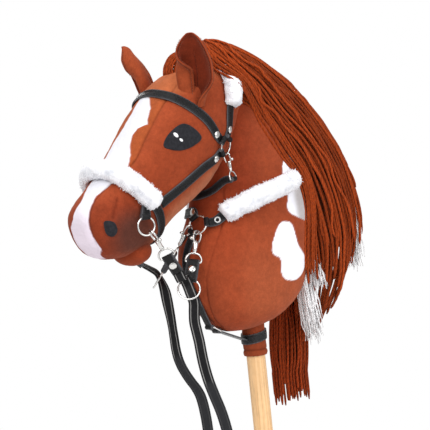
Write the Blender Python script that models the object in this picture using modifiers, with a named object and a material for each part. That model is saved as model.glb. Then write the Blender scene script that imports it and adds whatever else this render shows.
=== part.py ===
"""Hobby horse: stuffed head and neck on a wooden stick, with halter, breastplate and reins.

Units are metres. +Z runs up along the stick, whose axis is x = y = 0. The horse faces -X and
its left side is -Y. Height zero is where a rider's hand grips the stick.
"""

import math

import bmesh
import bpy
import numpy as np
from mathutils import Matrix, Vector
from mathutils.bvhtree import BVHTree

# Clearances
GAP = 0.00035
PILE_GAP = 0.0013

# Stick and sleeve
STICK_DIAMETER = 0.025
STICK_BOTTOM = -0.500
STICK_TOP = 0.2990
STICK_EDGE = 0.0015
SLEEVE_WALL = 0.0021
SLEEVE_BOTTOM = 0.060
SLEEVE_TOP = 0.125

# Stuffed skins: each section joins a front point and a back point on the middle plane
# (x, z of each) and reaches half its width to either side.
CAGE_SIDES = 12
SECTION_FULLNESS = 0.86
HEAD_FULLNESS = 0.80
HEAD_SECTIONS = (
    ((-0.2655, 0.267), (-0.256, 0.232), 0.017),
    ((-0.263, 0.279), (-0.240, 0.216), 0.034),
    ((-0.247, 0.295), (-0.212, 0.213), 0.041),
    ((-0.230, 0.309), (-0.174, 0.219), 0.041),
    ((-0.211, 0.328), (-0.150, 0.236), 0.043),
    ((-0.191, 0.348), (-0.133, 0.253), 0.048),
    ((-0.167, 0.379), (-0.105, 0.267), 0.053),
    ((-0.142, 0.406), (-0.068, 0.289), 0.057),
    ((-0.116, 0.429), (-0.038, 0.324), 0.056),
    ((-0.084, 0.443), (-0.016, 0.364), 0.052),
    ((-0.052, 0.447), (-0.002, 0.393), 0.045),
    ((-0.022, 0.443), (0.010, 0.412), 0.030),
)
NECK_SECTIONS = (
    ((-0.045, 0.0985), (-0.004, 0.0985), 0.014),
    ((-0.060, 0.106), (0.028, 0.106), 0.034),
    ((-0.077, 0.122), (0.061, 0.122), 0.046),
    ((-0.089, 0.145), (0.083, 0.145), 0.053),
    ((-0.103, 0.180), (0.098, 0.180), 0.058),
    ((-0.101, 0.212), (0.102, 0.212), 0.058),
    ((-0.081, 0.247), (0.104, 0.247), 0.053),
    ((-0.075, 0.272), (0.104, 0.272), 0.051),
    ((-0.063, 0.310), (0.098, 0.310), 0.050),
    ((-0.054, 0.350), (0.084, 0.350), 0.049),
    ((-0.046, 0.388), (0.060, 0.388), 0.046),
    ((-0.038, 0.412), (0.036, 0.412), 0.036),
    ((-0.024, 0.428), (0.010, 0.428), 0.018),
)
MANE_SECTIONS = (
    ((0.094, 0.062), (0.110, 0.062), 0.010),
    ((0.091, 0.080), (0.118, 0.080), 0.022),
    ((0.094, 0.110), (0.141, 0.110), 0.032),
    ((0.099, 0.150), (0.173, 0.150), 0.042),
    ((0.095, 0.205), (0.195, 0.205), 0.049),
    ((0.070, 0.270), (0.194, 0.270), 0.052),
    ((0.028, 0.333), (0.163, 0.333), 0.054),
    ((-0.020, 0.378), (0.127, 0.378), 0.054),
    ((-0.050, 0.410), (0.096, 0.410), 0.053),
    ((-0.068, 0.436), (0.060, 0.436), 0.050),
    ((-0.072, 0.461), (0.016, 0.461), 0.038),
    ((-0.058, 0.474), (-0.016, 0.474), 0.018),
)
MANE_SIDE = -0.0013
MANE_NECK_GAP = 0.0043
HANK_SIDE = 0.044
HANK_SECTIONS = (
    ((0.083, -0.006), (0.108, -0.006), 0.010),
    ((0.073, 0.008), (0.122, 0.008), 0.018),
    ((0.072, 0.045), (0.128, 0.045), 0.022),
    ((0.076, 0.085), (0.130, 0.085), 0.022),
    ((0.086, 0.125), (0.132, 0.125), 0.018),
)
FORELOCK_CENTRE = (-0.080, 0.0, 0.4530)
FORELOCK_REACH = (0.022, 0.016, 0.012)
JAW_CENTRE = (-0.196, 0.0, 0.2215)
JAW_REACH = (0.0285, 0.034, 0.0185)

# Ears: base, tip and the way the cup opens, for the left ear
EAR_BASE = (-0.092, -0.044, 0.394)
EAR_TIP = (-0.1110, -0.067, 0.482)
EAR_OPENS = (-0.76, -0.64, 0.08)
EAR_WALL = 0.0055
EAR_OUTLINE = (
    (0.0, 0.0185),
    (0.2, 0.027),
    (0.4, 0.031),
    (0.62, 0.0295),
    (0.82, 0.021),
    (0.93, 0.012),
    (1.0, 0.004),
)
EAR_FOLD_AT_BASE = 1.75
EAR_FOLD_AT_TIP = 0.75

# Felt patches: outlines on the left side, as x and z
FELT = 0.0016
FELT_GAP = 0.0005
EYE_OUTLINE = (
    (-0.1565, 0.3457),
    (-0.146, 0.3600),
    (-0.127, 0.3705),
    (-0.112, 0.3640),
    (-0.1025, 0.3510),
    (-0.116, 0.3420),
    (-0.133, 0.3380),
    (-0.148, 0.3400),
)
NOSTRIL_OUTLINE = (
    (-0.2500, 0.2620),
    (-0.2360, 0.2600),
    (-0.2310, 0.2500),
    (-0.2380, 0.2440),
    (-0.2480, 0.2480),
)
PATCH_OUTLINE_POINTS = 16

# Straps
STRAP_WIDTH = 0.0128
STRAP = 0.0020
STRAP_STEP = 0.0120
END_SHARE = 0.86
FOLD_WIDTH = 0.0116
RIVET_DIAMETER = 0.0096
RIVET_HEIGHT = 0.0013
FLEECE_REACH = 0.0125
FLEECE_HEIGHT = 0.0130
FLEECE_PRESSED_FROM = 0.412
FLEECE_PRESSED_SHARE = 0.35
BROWBAND_GUIDES = ((-0.091, -0.055, 0.373), (-0.1185, -0.044, 0.397), (-0.134, -0.024, 0.411))
BROWBAND_MIDDLE = (-0.136, 0.0, 0.415)
HEADPIECE_GUIDES = (
    (-0.048, -0.055, 0.377),
    (-0.044, -0.050, 0.398),
    (-0.041, -0.037, 0.420),
    (-0.040, -0.018, 0.438),
)
HEADPIECE_MIDDLE = (-0.040, 0.0, 0.447)
HEADPIECE_FLEECE_FROM = 0.383
CHEEK_STRAP_GUIDES = ((-0.100, -0.058, 0.3125), (-0.135, -0.052, 0.2930), (-0.1672, -0.046, 0.2752))
NOSEBAND_TOP = (-0.219, 0.0, 0.320)
NOSEBAND_GUIDES = (
    (-0.214, -0.022, 0.315),
    (-0.202, -0.037, 0.302),
    (-0.188, -0.044, 0.287),
    (-0.173, -0.046, 0.269),
    (-0.164, -0.040, 0.249),
    (-0.159, -0.022, 0.232),
)
NOSEBAND_BOTTOM = (-0.157, 0.0, 0.227)
NOSEBAND_FLEECE_TO = 0.272
BIT_TAB_FROM = (-0.1840, -0.0445, 0.2820)
BIT_TAB_GAP = 0.0008
BIT_TAB_RINGS = 5
THROAT_STRAP_WIDTH = 0.010
THROAT_STRAP_GUIDES = ((-0.061, -0.044, 0.295), (-0.071, -0.028, 0.285))
THROAT_STRAP_MIDDLE = (-0.076, 0.0, 0.278)
NECK_STRAP_GUIDES = (
    (-0.066, -0.049, 0.2555),
    (-0.040, -0.054, 0.2630),
    (0.000, -0.055, 0.2740),
    (0.052, -0.052, 0.2870),
    (0.088, -0.030, 0.2970),
)
NECK_STRAP_BACK = (0.104, 0.0, 0.3010)
NECK_STRAP_FRONT_RIGHT = ((-0.068, 0.046, 0.2580), (-0.084, 0.020, 0.2590))
NECK_FLEECE_FROM = -0.062
NECK_FLEECE_TO = 0.056
CHEST_STRAP_GUIDES = (
    (-0.098, -0.004, 0.212),
    (-0.104, 0.0, 0.192),
    (-0.099, 0.0, 0.167),
    (-0.087, 0.0, 0.140),
)
CHEST_STRAP_WIDTH = 0.012
LINK_CENTRE = (-0.0680, 0.0, 0.1048)
LINK_ALONG = (0.80, 0.0, -0.46)
LINK_WIDTH = 0.0185
LINK_LENGTH = 0.0130
LINK_WIRE = 0.0022
STICK_LOOP_HEIGHT = 0.0855
STICK_LOOP_SLOPE = 0.20

# Rings
RING_WIRE = 0.0024
CHEEK_RING_DIAMETER = 0.0250
BIT_RING_DIAMETER = 0.0250
CHEST_RING_DIAMETER = 0.0270
RUNNING_RING_DIAMETER = 0.0300
RING_SEGMENTS = 16
RING_SIDES = 6
FOLD_WALL = 0.0019
CHEEK_RING_SPOT = (-0.0600, -0.056, 0.3375)
CHEST_RING_SPOT = (-0.0867, -0.0165, 0.2405)
CHEST_RING_LIFT = 0.0045
BIT_RING_CENTRE = (-0.1975, -0.0505, 0.2510)
BIT_RING_YAW = 0.18

# Angles on the cheek ring, from the forward direction over the top, in degrees
BROWBAND_ANGLE = 46.0
HEADPIECE_ANGLE = 124.0
THROAT_HOOK_ANGLE = 258.0
CHEEK_STRAP_ANGLE = 320.0

# Angles on the chest ring, from the left side over the top, in degrees
NECK_LEFT_ANGLE = 22.0
NECK_RIGHT_ANGLE = 135.0
CHEST_STRAP_ANGLE = 245.0
LEFT_FORK_ANGLE = 283.0
RIGHT_FORK_ANGLE = 208.0

# Snap hooks, at full size
HOOK_LOOP_RADIUS = 0.0056
HOOK_WIRE_RADIUS = 0.0014
HOOK_BODY = (
    (-0.0120, 0.0034, 0.0022),
    (-0.0145, 0.0043, 0.0027),
    (-0.0200, 0.0034, 0.0027),
    (-0.0250, 0.0027, 0.0027),
)
HOOK_BODY_SIDES = 8
HOOK_LOOP_TOP = 0.00295
LEVER_PIVOT = (-0.0024, -0.0144)
LEVER_ROOT_RADIUS = 0.0022
LEVER_THICKNESS = 0.0024
LEVER_PIN_RADIUS = 0.00055
LEVER_ROD_RADIUS = 0.0009
LEVER_ROUTE = ((-0.0024, -0.0144), (-0.0044, -0.0112), (-0.0054, -0.0080), (-0.0056, -0.0044))
LEVER_KNOB = (-0.0084, -0.0102)
LEVER_KNOB_RADIUS = 0.0023
SWIVEL_SHANK_RADIUS = 0.0011
SWIVEL_SHANK_TOP = -0.0220
SWIVEL_COLLAR_RADIUS = 0.0026
SWIVEL_COLLAR_TOP = -0.0254
SWIVEL_COLLAR_HEIGHT = 0.0014
SWIVEL_EYE_TOP = -0.0284
SWIVEL_BAR = -0.0410
SWIVEL_BAR_HALF = 0.0099
SWIVEL_WIRE_RADIUS = 0.0012
HOOK_SEAT = 0.00035
FORK_SLACK = 0.0010
THROAT_HOOK_SCALE = 0.8

# Leather keepers between a swivel eye and what it carries
KEEPER_WIDTH = 0.0160
KEEPER_LENGTH = 0.0235
REIN_END_LENGTH = 0.0250
REIN_START_GAP = 0.0010
BAR_SLACK = 0.0004

# Running rings, where the reins pass
LEFT_RUNNING_RING = (-0.1325, -0.0385, 0.1640)
RIGHT_RUNNING_RING = (-0.1225, 0.0300, 0.1800)
SWING_ROOM = 0.0005

# Reins: one soft strap from end to end, as hand-placed points of its route
REIN_WIDTH = 0.0140
REIN_THICKNESS = 0.0024
REIN_POINTS = 78
REIN_FROM_LEFT = ((-0.1440, -0.0420, 0.1775),)
REIN_ROUTE = (
    (-0.1285, -0.0385, 0.1250),
    (-0.1265, -0.0410, 0.1000),
    (-0.1245, -0.0420, 0.0750),
    (-0.1190, -0.0420, 0.0490),
    (-0.1110, -0.0420, 0.0260),
    (-0.1020, -0.0415, 0.0020),
    (-0.0935, -0.0400, -0.0300),
    (-0.0860, -0.0380, -0.0700),
    (-0.0810, -0.0360, -0.1150),
    (-0.0780, -0.0350, -0.1600),
    (-0.0760, -0.0330, -0.2000),
    (-0.0745, -0.0240, -0.2350),
    (-0.0735, -0.0040, -0.2540),
    (-0.0720, 0.0160, -0.2500),
    (-0.0700, 0.0310, -0.2290),
    (-0.0670, 0.0370, -0.1950),
    (-0.0640, 0.0390, -0.1500),
    (-0.0625, 0.0395, -0.1000),
    (-0.0630, 0.0380, -0.0500),
    (-0.0670, 0.0350, -0.0120),
    (-0.0760, 0.0315, 0.0190),
    (-0.0905, 0.0300, 0.0400),
    (-0.1015, 0.0300, 0.0580),
    (-0.1080, 0.0300, 0.0770),
    (-0.1100, 0.0300, 0.0990),
    (-0.1120, 0.0300, 0.1250),
)
REIN_THROUGH_LEFT = (0.016, 0.0055)
REIN_THROUGH_RIGHT = (0.008, 0.0120)

# Colours: red, green, blue; roughness; metallic
PLUSH = ((0.36, 0.075, 0.022), 0.95, 0.0)
YARN = ((0.33, 0.075, 0.018), 0.95, 0.0)
FLEECE = ((0.88, 0.88, 0.86), 1.0, 0.0)
LEATHER = ((0.018, 0.018, 0.020), 0.38, 0.0)
FELT_BLACK = ((0.020, 0.020, 0.026), 0.95, 0.0)
NICKEL = ((0.72, 0.70, 0.67), 0.22, 1.0)
WOOD = ((0.80, 0.52, 0.28), 0.55, 0.0)

VIEW_RIGHT = Vector((0.766, -0.643, 0.0))
VIEW_TOWARDS = Vector((-0.643, -0.766, 0.0))


def start_scene():
    """Empties the scene and makes the horse's collection."""
    for old in list(bpy.data.objects):
        bpy.data.objects.remove(old, do_unlink=True)
    horse = bpy.data.collections.new("hobby_horse")
    bpy.context.scene.collection.children.link(horse)
    return horse


def material(name, finish):
    colour, roughness, metallic = finish
    made = bpy.data.materials.new(name)
    made.use_nodes = True
    shader = made.node_tree.nodes["Principled BSDF"]
    shader.inputs["Base Color"].default_value = (*colour, 1.0)
    shader.inputs["Roughness"].default_value = roughness
    shader.inputs["Metallic"].default_value = metallic
    return made


def mesh_object(name, vertices, faces):
    """A linked mesh object with its faces turned outwards."""
    mesh = bpy.data.meshes.new(name)
    mesh.from_pydata([tuple(v) for v in vertices], [], faces)
    shape = bmesh.new()
    shape.from_mesh(mesh)
    bmesh.ops.recalc_face_normals(shape, faces=shape.faces)
    shape.to_mesh(mesh)
    shape.free()
    made = bpy.data.objects.new(name, mesh)
    bpy.context.scene.collection.objects.link(made)
    return made


def loft(name, rings, closed=False):
    """Skins a row of equal rings of points; an open row gets two flat ends."""
    rings = np.asarray(rings)
    count, sides = rings.shape[:2]
    faces = []
    for i in range(count if closed else count - 1):
        after = (i + 1) % count
        for j in range(sides):
            k = (j + 1) % sides
            faces.append((i * sides + j, i * sides + k, after * sides + k, after * sides + j))
    if not closed:
        faces.append(tuple(range(sides)))
        faces.append(tuple(range((count - 1) * sides, count * sides)))
    return mesh_object(name, rings.reshape(-1, 3), faces)


def baked(obj):
    """Replaces the object's mesh by what its modifiers and its curve settings make."""
    bpy.context.view_layer.update()
    graph = bpy.context.evaluated_depsgraph_get()
    mesh = bpy.data.meshes.new_from_object(obj.evaluated_get(graph))
    if obj.type == "MESH":
        obj.modifiers.clear()
        obj.data = mesh
        return obj
    shape = bmesh.new()
    shape.from_mesh(mesh)
    bmesh.ops.remove_doubles(shape, verts=shape.verts, dist=1e-6)
    bmesh.ops.recalc_face_normals(shape, faces=shape.faces)
    shape.to_mesh(mesh)
    shape.free()
    name = obj.name
    place = obj.matrix_world.copy()
    bpy.data.objects.remove(obj, do_unlink=True)
    made = bpy.data.objects.new(name, mesh)
    bpy.context.scene.collection.objects.link(made)
    made.matrix_world = place
    return made


def combined(target, tool, operation, keep_tool=False, soft=False):
    """Carries out one exact Boolean and removes the tool; soft suits two stuffed forms."""
    change = target.modifiers.new(operation, "BOOLEAN")
    change.operation = operation
    change.solver = "EXACT"
    change.use_self = soft
    change.use_hole_tolerant = soft
    change.object = tool
    baked(target)
    if not keep_tool:
        bpy.data.objects.remove(tool, do_unlink=True)
    return target


def section_ring(front, back, half_width, grow, side, fullness):
    """Points of one full, rounded section between two middle-plane points."""
    front = np.array((front[0], side, front[1]))
    back = np.array((back[0], side, back[1]))
    middle = (front + back) / 2
    reach = (front - back) / 2
    length = np.linalg.norm(reach)
    reach = reach * (length + grow) / length
    turn = 2 * np.pi * np.arange(CAGE_SIDES) / CAGE_SIDES
    along = np.sign(np.cos(turn)) * np.abs(np.cos(turn)) ** fullness
    across = np.sign(np.sin(turn)) * np.abs(np.sin(turn)) ** fullness
    spread = 4 / (3 + math.cos(2 * math.pi / CAGE_SIDES))
    wide = np.array((0.0, half_width + grow, 0.0))
    return middle + spread * (along[:, None] * reach + across[:, None] * wide)


def stuffed(name, sections, grow=0.0, side=0.0, levels=1):
    """A stuffed form: a coarse cage through the sections, subdivided."""
    fullness = HEAD_FULLNESS if sections is HEAD_SECTIONS else SECTION_FULLNESS
    rings = [section_ring(*s, grow, side, fullness) for s in sections]
    rings[0] = rings[0] + unit(rings[0].mean(0) - rings[1].mean(0)) * grow
    rings[-1] = rings[-1] + unit(rings[-1].mean(0) - rings[-2].mean(0)) * grow
    made = loft(name, rings)
    smooth = made.modifiers.new("soft", "SUBSURF")
    smooth.levels = levels
    smooth.render_levels = levels
    return baked(made)


def ball(name, centre, reach, rings=8, segments=14):
    """An egg of the given half sizes."""
    mesh = bpy.data.meshes.new(name)
    shape = bmesh.new()
    bmesh.ops.create_uvsphere(shape, u_segments=segments, v_segments=rings, radius=1.0)
    bmesh.ops.scale(shape, vec=reach, verts=shape.verts)
    bmesh.ops.translate(shape, vec=centre, verts=shape.verts)
    shape.to_mesh(mesh)
    shape.free()
    made = bpy.data.objects.new(name, mesh)
    bpy.context.scene.collection.objects.link(made)
    return made


def rod(name, start, end, radius, sides=12, end_radius=None):
    """A round bar or cone between two points."""
    start, end = Vector(start), Vector(end)
    turn = (end - start).to_track_quat("Z", "Y").to_matrix().to_4x4()
    place = Matrix.Translation((start + end) / 2) @ turn
    mesh = bpy.data.meshes.new(name)
    shape = bmesh.new()
    bmesh.ops.create_cone(
        shape,
        cap_ends=True,
        segments=sides,
        radius1=radius,
        radius2=radius if end_radius is None else end_radius,
        depth=(end - start).length,
        matrix=place,
    )
    shape.to_mesh(mesh)
    shape.free()
    made = bpy.data.objects.new(name, mesh)
    bpy.context.scene.collection.objects.link(made)
    return made


def box(name, lowest, highest):
    low, high = Vector(lowest), Vector(highest)
    mesh = bpy.data.meshes.new(name)
    shape = bmesh.new()
    bmesh.ops.create_cube(shape, size=1.0)
    bmesh.ops.scale(shape, vec=high - low, verts=shape.verts)
    bmesh.ops.translate(shape, vec=(low + high) / 2, verts=shape.verts)
    shape.to_mesh(mesh)
    shape.free()
    made = bpy.data.objects.new(name, mesh)
    bpy.context.scene.collection.objects.link(made)
    return made


def wire(name, points, radius, closed=False, detail=1):
    """A round wire along points, made a mesh."""
    line = bpy.data.curves.new(name, "CURVE")
    line.dimensions = "3D"
    line.bevel_depth = radius
    line.bevel_resolution = detail
    line.use_fill_caps = True
    spline = line.splines.new("POLY")
    spline.points.add(len(points) - 1)
    for spot, point in zip(spline.points, points):
        spot.co = (*point, 1.0)
    spline.use_cyclic_u = closed
    made = bpy.data.objects.new(name, line)
    bpy.context.scene.collection.objects.link(made)
    return baked(made)


def frame_matrix(origin, x_axis, z_axis):
    """A place whose Z is z_axis and whose X is x_axis made square to it."""
    up = Vector(z_axis).normalized()
    right = Vector(x_axis)
    right = (right - up * right.dot(up)).normalized()
    place = Matrix((right, up.cross(right), up)).transposed().to_4x4()
    place.translation = Vector(origin)
    return place


def torus(name, centre, normal, radius, wire_radius, segments=RING_SEGMENTS, sides=RING_SIDES):
    """A wire ring in world places."""
    normal = Vector(normal).normalized()
    right = Vector((0, 0, 1)).cross(normal)
    place = frame_matrix(centre, right, normal)
    turn = 2 * np.pi * np.arange(segments) / segments
    around = 2 * np.pi * np.arange(sides) / sides
    out = radius + wire_radius * np.cos(around)[None, :]
    x = np.cos(turn)[:, None] * out
    y = np.sin(turn)[:, None] * out
    z = np.broadcast_to(wire_radius * np.sin(around), x.shape)
    points = np.stack((x, y, z), axis=-1) @ np.array(place.to_3x3()).T + np.array(centre)
    return loft(name, points, closed=True)


def smooth_path(points, step, closed=False):
    """Evenly spaced points on a Catmull-Rom curve through the given ones."""
    points = np.asarray(points, float)
    if closed:
        padded = np.vstack((points[-1], points, points[0], points[1]))
    else:
        padded = np.vstack((2 * points[0] - points[1], points, 2 * points[-1] - points[-2]))
    t = np.linspace(0, 1, 16, endpoint=False)[:, None]
    fine = []
    for i in range(len(padded) - 3):
        a, b, c, d = padded[i : i + 4]
        cubic = (2 * b + (c - a) * t + (2 * a - 5 * b + 4 * c - d) * t**2 + (3 * b - a - 3 * c + d) * t**3) / 2
        fine.append(cubic)
    fine = np.vstack([*fine, padded[-2][None, :]])
    length = np.concatenate(([0.0], np.cumsum(np.linalg.norm(np.diff(fine, axis=0), axis=1))))
    count = max(3, int(round(length[-1] / step)) + 1)
    spots = np.linspace(0, length[-1], count)
    even = np.stack([np.interp(spots, length, fine[:, k]) for k in range(3)], axis=1)
    return even[:-1] if closed else even


def unit(rows):
    return rows / np.linalg.norm(rows, axis=-1, keepdims=True)


class Surface:
    """A smooth skin to which straps and patches are fitted."""

    def __init__(self, *objects):
        vertices, polygons = [], []
        for obj in objects:
            first = len(vertices)
            vertices += [obj.matrix_world @ v.co for v in obj.data.vertices]
            polygons += [[first + i for i in p.vertices] for p in obj.data.polygons]
        self.tree = BVHTree.FromPolygons(vertices, polygons)

    def nearest(self, point):
        place, normal, _, _ = self.tree.find_nearest(Vector(point))
        return np.array(place), np.array(normal)

    def seen_from_side(self, x, z, side):
        """The skin's point and normal met by a line along Y from the given side."""
        start = Vector((x, side * 0.3, z))
        place, normal, _, _ = self.tree.ray_cast(start, Vector((0, -side, 0)))
        return np.array(place), np.array(normal)

    def lay(self, guides, step=STRAP_STEP, closed=False):
        """Stations of a band along the guides: foot on the skin, normal and way across."""
        path = smooth_path(guides, step, closed)
        found = [self.nearest(p) for p in path]
        feet = np.array([f[0] for f in found])
        normals = np.array([f[1] for f in found])
        for _ in range(2):
            if closed:
                normals = (np.roll(normals, 1, 0) + 2 * normals + np.roll(normals, -1, 0)) / 4
            else:
                eased = np.vstack((normals[:1], normals, normals[-1:]))
                normals = (eased[:-2] + 2 * normals + eased[2:]) / 4
        normals = unit(normals)
        if closed:
            ahead = np.roll(feet, -1, 0) - np.roll(feet, 1, 0)
        else:
            ahead = np.gradient(feet, axis=0)
        across = unit(np.cross(ahead, normals))
        return list(zip(feet, normals, across))

    def band(self, stations, section, lifts=(0.0, 0.0), narrow=(1.0, 1.0)):
        """Rings of a band at the stations: section holds (across, height) pairs, or a list of such.

        lifts raises the two end rings, and half as much the rings beside them; narrow
        scales the width of the two end rings.
        """
        last = len(stations) - 1
        rings = []
        for i, (foot, normal, wide) in enumerate(stations):
            near = min(i, last - i)
            end = 0 if i < last - i else 1
            lift = lifts[end] * (1.0, 0.45, 0.1)[near] if near < 3 else 0.0
            share = narrow[end] if near == 0 else 1.0
            shape = section[i] if isinstance(section, list) else section
            ring = [self.nearest(foot + wide * s * share)[0] + normal * (h + lift) for s, h in shape]
            rings.append(ring)
        return np.array(rings)


def strap_section(width=STRAP_WIDTH, grow=0.0, rounded=False):
    half = width / 2 + grow
    low = PILE_GAP - grow
    high = PILE_GAP + STRAP + grow
    if rounded:
        return ((-half, low), (0, low), (half, low), (half, high), (0, high), (-half, high))
    return ((-half, low), (half, low), (half, high), (-half, high))


def fleece_section(grow=0.0, share=1.0):
    """The flat-bottomed, rounded section of a fleece tube that lies over a strap."""
    base = PILE_GAP + STRAP + GAP
    low = 0.0 if grow else base
    reach = FLEECE_REACH + grow
    bulge = FLEECE_HEIGHT * share + grow
    edge = STRAP_WIDTH / 2 + GAP
    shape = [(-0.85 * reach, low), (-edge, low), (0.0, low), (edge, low), (0.85 * reach, low)]
    for turn in np.radians((8, 40, 68, 90, 112, 140, 172)):
        shape.append((reach * math.cos(turn), base + 0.0012 + bulge * math.sin(turn)))
    return tuple(shape)


def mirrored(points):
    """The same points on the other side, in reverse order."""
    return [(x, -y, z) for x, y, z in reversed(points)]


class Ring:
    """A wire ring: its centre, its normal, and where things hang on it."""

    def __init__(self, centre, normal, forward, diameter):
        self.centre = Vector(centre)
        self.normal = Vector(normal).normalized()
        forward = Vector(forward)
        self.first = (forward - self.normal * forward.dot(self.normal)).normalized()
        self.second = self.first.cross(self.normal)
        if self.second.z < 0:
            self.second.negate()
        self.radius = (diameter - RING_WIRE) / 2

    def outward(self, degrees):
        turn = math.radians(degrees)
        return self.first * math.cos(turn) + self.second * math.sin(turn)

    def spot(self, degrees):
        return self.centre + self.outward(degrees) * self.radius

    def tangent(self, degrees):
        turn = math.radians(degrees)
        return self.second * math.cos(turn) - self.first * math.sin(turn)

    def make(self, name):
        return torus(name, self.centre, self.normal, self.radius, RING_WIRE / 2)

    def bore(self, slack):
        return torus("bore", self.centre, self.normal, self.radius, RING_WIRE / 2 + slack)


def folded_end(strap, ring, degrees, width=FOLD_WIDTH, slack=GAP):
    """Rolls a strap's end round a ring: a fold with the ring's bore through it."""
    spot, along = ring.spot(degrees), ring.tangent(degrees)
    outer = RING_WIRE / 2 + slack + FOLD_WALL
    fold = rod("fold", spot - along * width / 2, spot + along * width / 2, outer)
    combined(strap, fold, "UNION")
    return combined(strap, ring.bore(slack), "DIFFERENCE")


def rivet(strap, foot, normal, height=PILE_GAP + STRAP):
    """Sets a dome rivet on a strap's outer face."""
    foot, normal = Vector(foot), Vector(normal).normalized()
    face = foot + normal * height
    wide = RIVET_DIAMETER / 2
    dome = rod("dome", face - normal * STRAP / 2, face + normal * RIVET_HEIGHT, wide, 12, 0.62 * wide)
    return combined(strap, dome, "UNION")


def finished(obj, name, horse, finish, smooth=True):
    """Names an object, dresses it and puts it in the horse's collection."""
    obj.name = name
    obj.data.name = name
    for collection in list(obj.users_collection):
        collection.objects.unlink(obj)
    horse.objects.link(obj)
    obj.data.materials.clear()
    obj.data.materials.append(material(name, finish))
    if smooth:
        obj.data.shade_smooth()
        obj.data.set_sharp_from_angle(angle=math.radians(40))
    return obj


def say_joint(name, origin, axis):
    """Prints a joint's line, which the record repeats."""
    spot = [round(c, 5) for c in origin]
    print("joint", name, spot, [round(c, 5) for c in Vector(axis).normalized()])


def moved_origin(obj, origin):
    """Puts an object's origin on its joint axis without moving its shape."""
    place = Matrix.Translation(Vector(origin))
    obj.data.transform(place.inverted() @ obj.matrix_world)
    obj.matrix_world = place
    return obj


def make_stick(horse):
    stick = rod("stick", (0, 0, STICK_BOTTOM), (0, 0, STICK_TOP), STICK_DIAMETER / 2, sides=28)
    edge = stick.modifiers.new("edge", "BEVEL")
    edge.width = STICK_EDGE
    edge.segments = 1
    finished(baked(stick), "stick", horse, WOOD)
    inner = STICK_DIAMETER / 2 + GAP
    sleeve = rod("sleeve", (0, 0, SLEEVE_BOTTOM), (0, 0, SLEEVE_TOP), inner + SLEEVE_WALL, sides=24)
    hole = rod("hole", (0, 0, SLEEVE_BOTTOM - 0.01), (0, 0, SLEEVE_TOP + 0.01), inner, sides=24)
    finished(combined(sleeve, hole, "DIFFERENCE"), "sleeve", horse, PLUSH)


def make_neck(horse):
    neck = stuffed("neck", NECK_SECTIONS)
    inner = STICK_DIAMETER / 2 + GAP
    tunnel = rod("tunnel", (0, 0, 0.05), (0, 0, STICK_TOP + GAP), inner, sides=24)
    combined(neck, tunnel, "DIFFERENCE")
    mouth = rod("mouth", (0, 0, 0.05), (0, 0, SLEEVE_TOP + GAP), inner + SLEEVE_WALL + GAP, sides=24)
    combined(neck, mouth, "DIFFERENCE")
    return finished(neck, "neck", horse, PLUSH)


def make_head(horse):
    head = stuffed("head", HEAD_SECTIONS)
    combined(head, stuffed("neck_space", NECK_SECTIONS, grow=GAP), "DIFFERENCE")
    jaw = ball("lower_jaw", JAW_CENTRE, JAW_REACH)
    combined(jaw, stuffed("head_space", HEAD_SECTIONS, grow=GAP), "DIFFERENCE")
    finished(jaw, "lower_jaw", horse, PLUSH)
    return finished(head, "head", horse, PLUSH)


def ear_mesh(name, side):
    """A leaf folded to a cup: each height is an arc whose fold opens towards the tip."""
    base, tip = np.array(EAR_BASE), np.array(EAR_TIP)
    opens = np.array(EAR_OPENS)
    up = unit(tip - base)
    opens = unit(opens - up * opens.dot(up))
    wide = np.cross(up, opens)
    heights = np.linspace(0, 1, 8)
    leaf = np.interp(heights, *np.array(EAR_OUTLINE).T)
    fold = np.interp(heights, (0, 1), (EAR_FOLD_AT_BASE, EAR_FOLD_AT_TIP))
    across = np.linspace(-1, 1, 7)
    rows = []
    for v, half, bend in zip(heights, leaf, fold):
        round_radius = half / bend
        arc = across * bend
        middle = base + (tip - base) * v
        row = (
            middle
            + np.outer(round_radius * np.sin(arc), wide)
            + np.outer(round_radius * (1 - np.cos(arc)) - 0.5 * half, opens)
        )
        rows.append(row)
    points = np.array(rows)
    points[..., 1] *= side
    count = len(across)
    faces = [
        (i * count + j, i * count + j + 1, (i + 1) * count + j + 1, (i + 1) * count + j)
        for i in range(len(heights) - 1)
        for j in range(count - 1)
    ]
    ear = mesh_object(name, points.reshape(-1, 3), faces)
    wall = ear.modifiers.new("wall", "SOLIDIFY")
    wall.thickness = EAR_WALL
    wall.offset = 0.0
    return baked(ear)


def make_ears(horse, browband_space):
    for name, side in (("ear_left", 1), ("ear_right", -1)):
        ear = ear_mesh(name, side)
        combined(ear, stuffed("head_space", HEAD_SECTIONS, grow=GAP), "DIFFERENCE")
        combined(ear, browband_space, "DIFFERENCE", keep_tool=True)
        finished(ear, name, horse, PLUSH)


def patch(name, skin, outline, side):
    """A felt patch that lies on the skin: a rim, a row half way in and a middle point."""
    loop = smooth_path([(x, 0, z) for x, z in outline], 0.001, closed=True)
    rim = loop[:: max(1, len(loop) // PATCH_OUTLINE_POINTS)][:PATCH_OUTLINE_POINTS]
    middle = rim.mean(axis=0)
    rows = []
    for height in (FELT_GAP, FELT_GAP + FELT):
        for share in (1.0, 0.5, 0.0):
            spots = middle + (rim - middle) * share if share else middle[None, :]
            for x, _, z in spots:
                place, normal = skin.seen_from_side(x, z, side)
                rows.append(place + normal * height)
    n = len(rim)
    half = 2 * n + 1
    faces = []
    for j in range(n):
        k = (j + 1) % n
        for first in (0, half):
            faces.append((first + j, first + k, first + n + k, first + n + j))
            faces.append((first + n + j, first + n + k, first + 2 * n))
        faces.append((j, k, half + k, half + j))
    return mesh_object(name, rows, faces)


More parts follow.
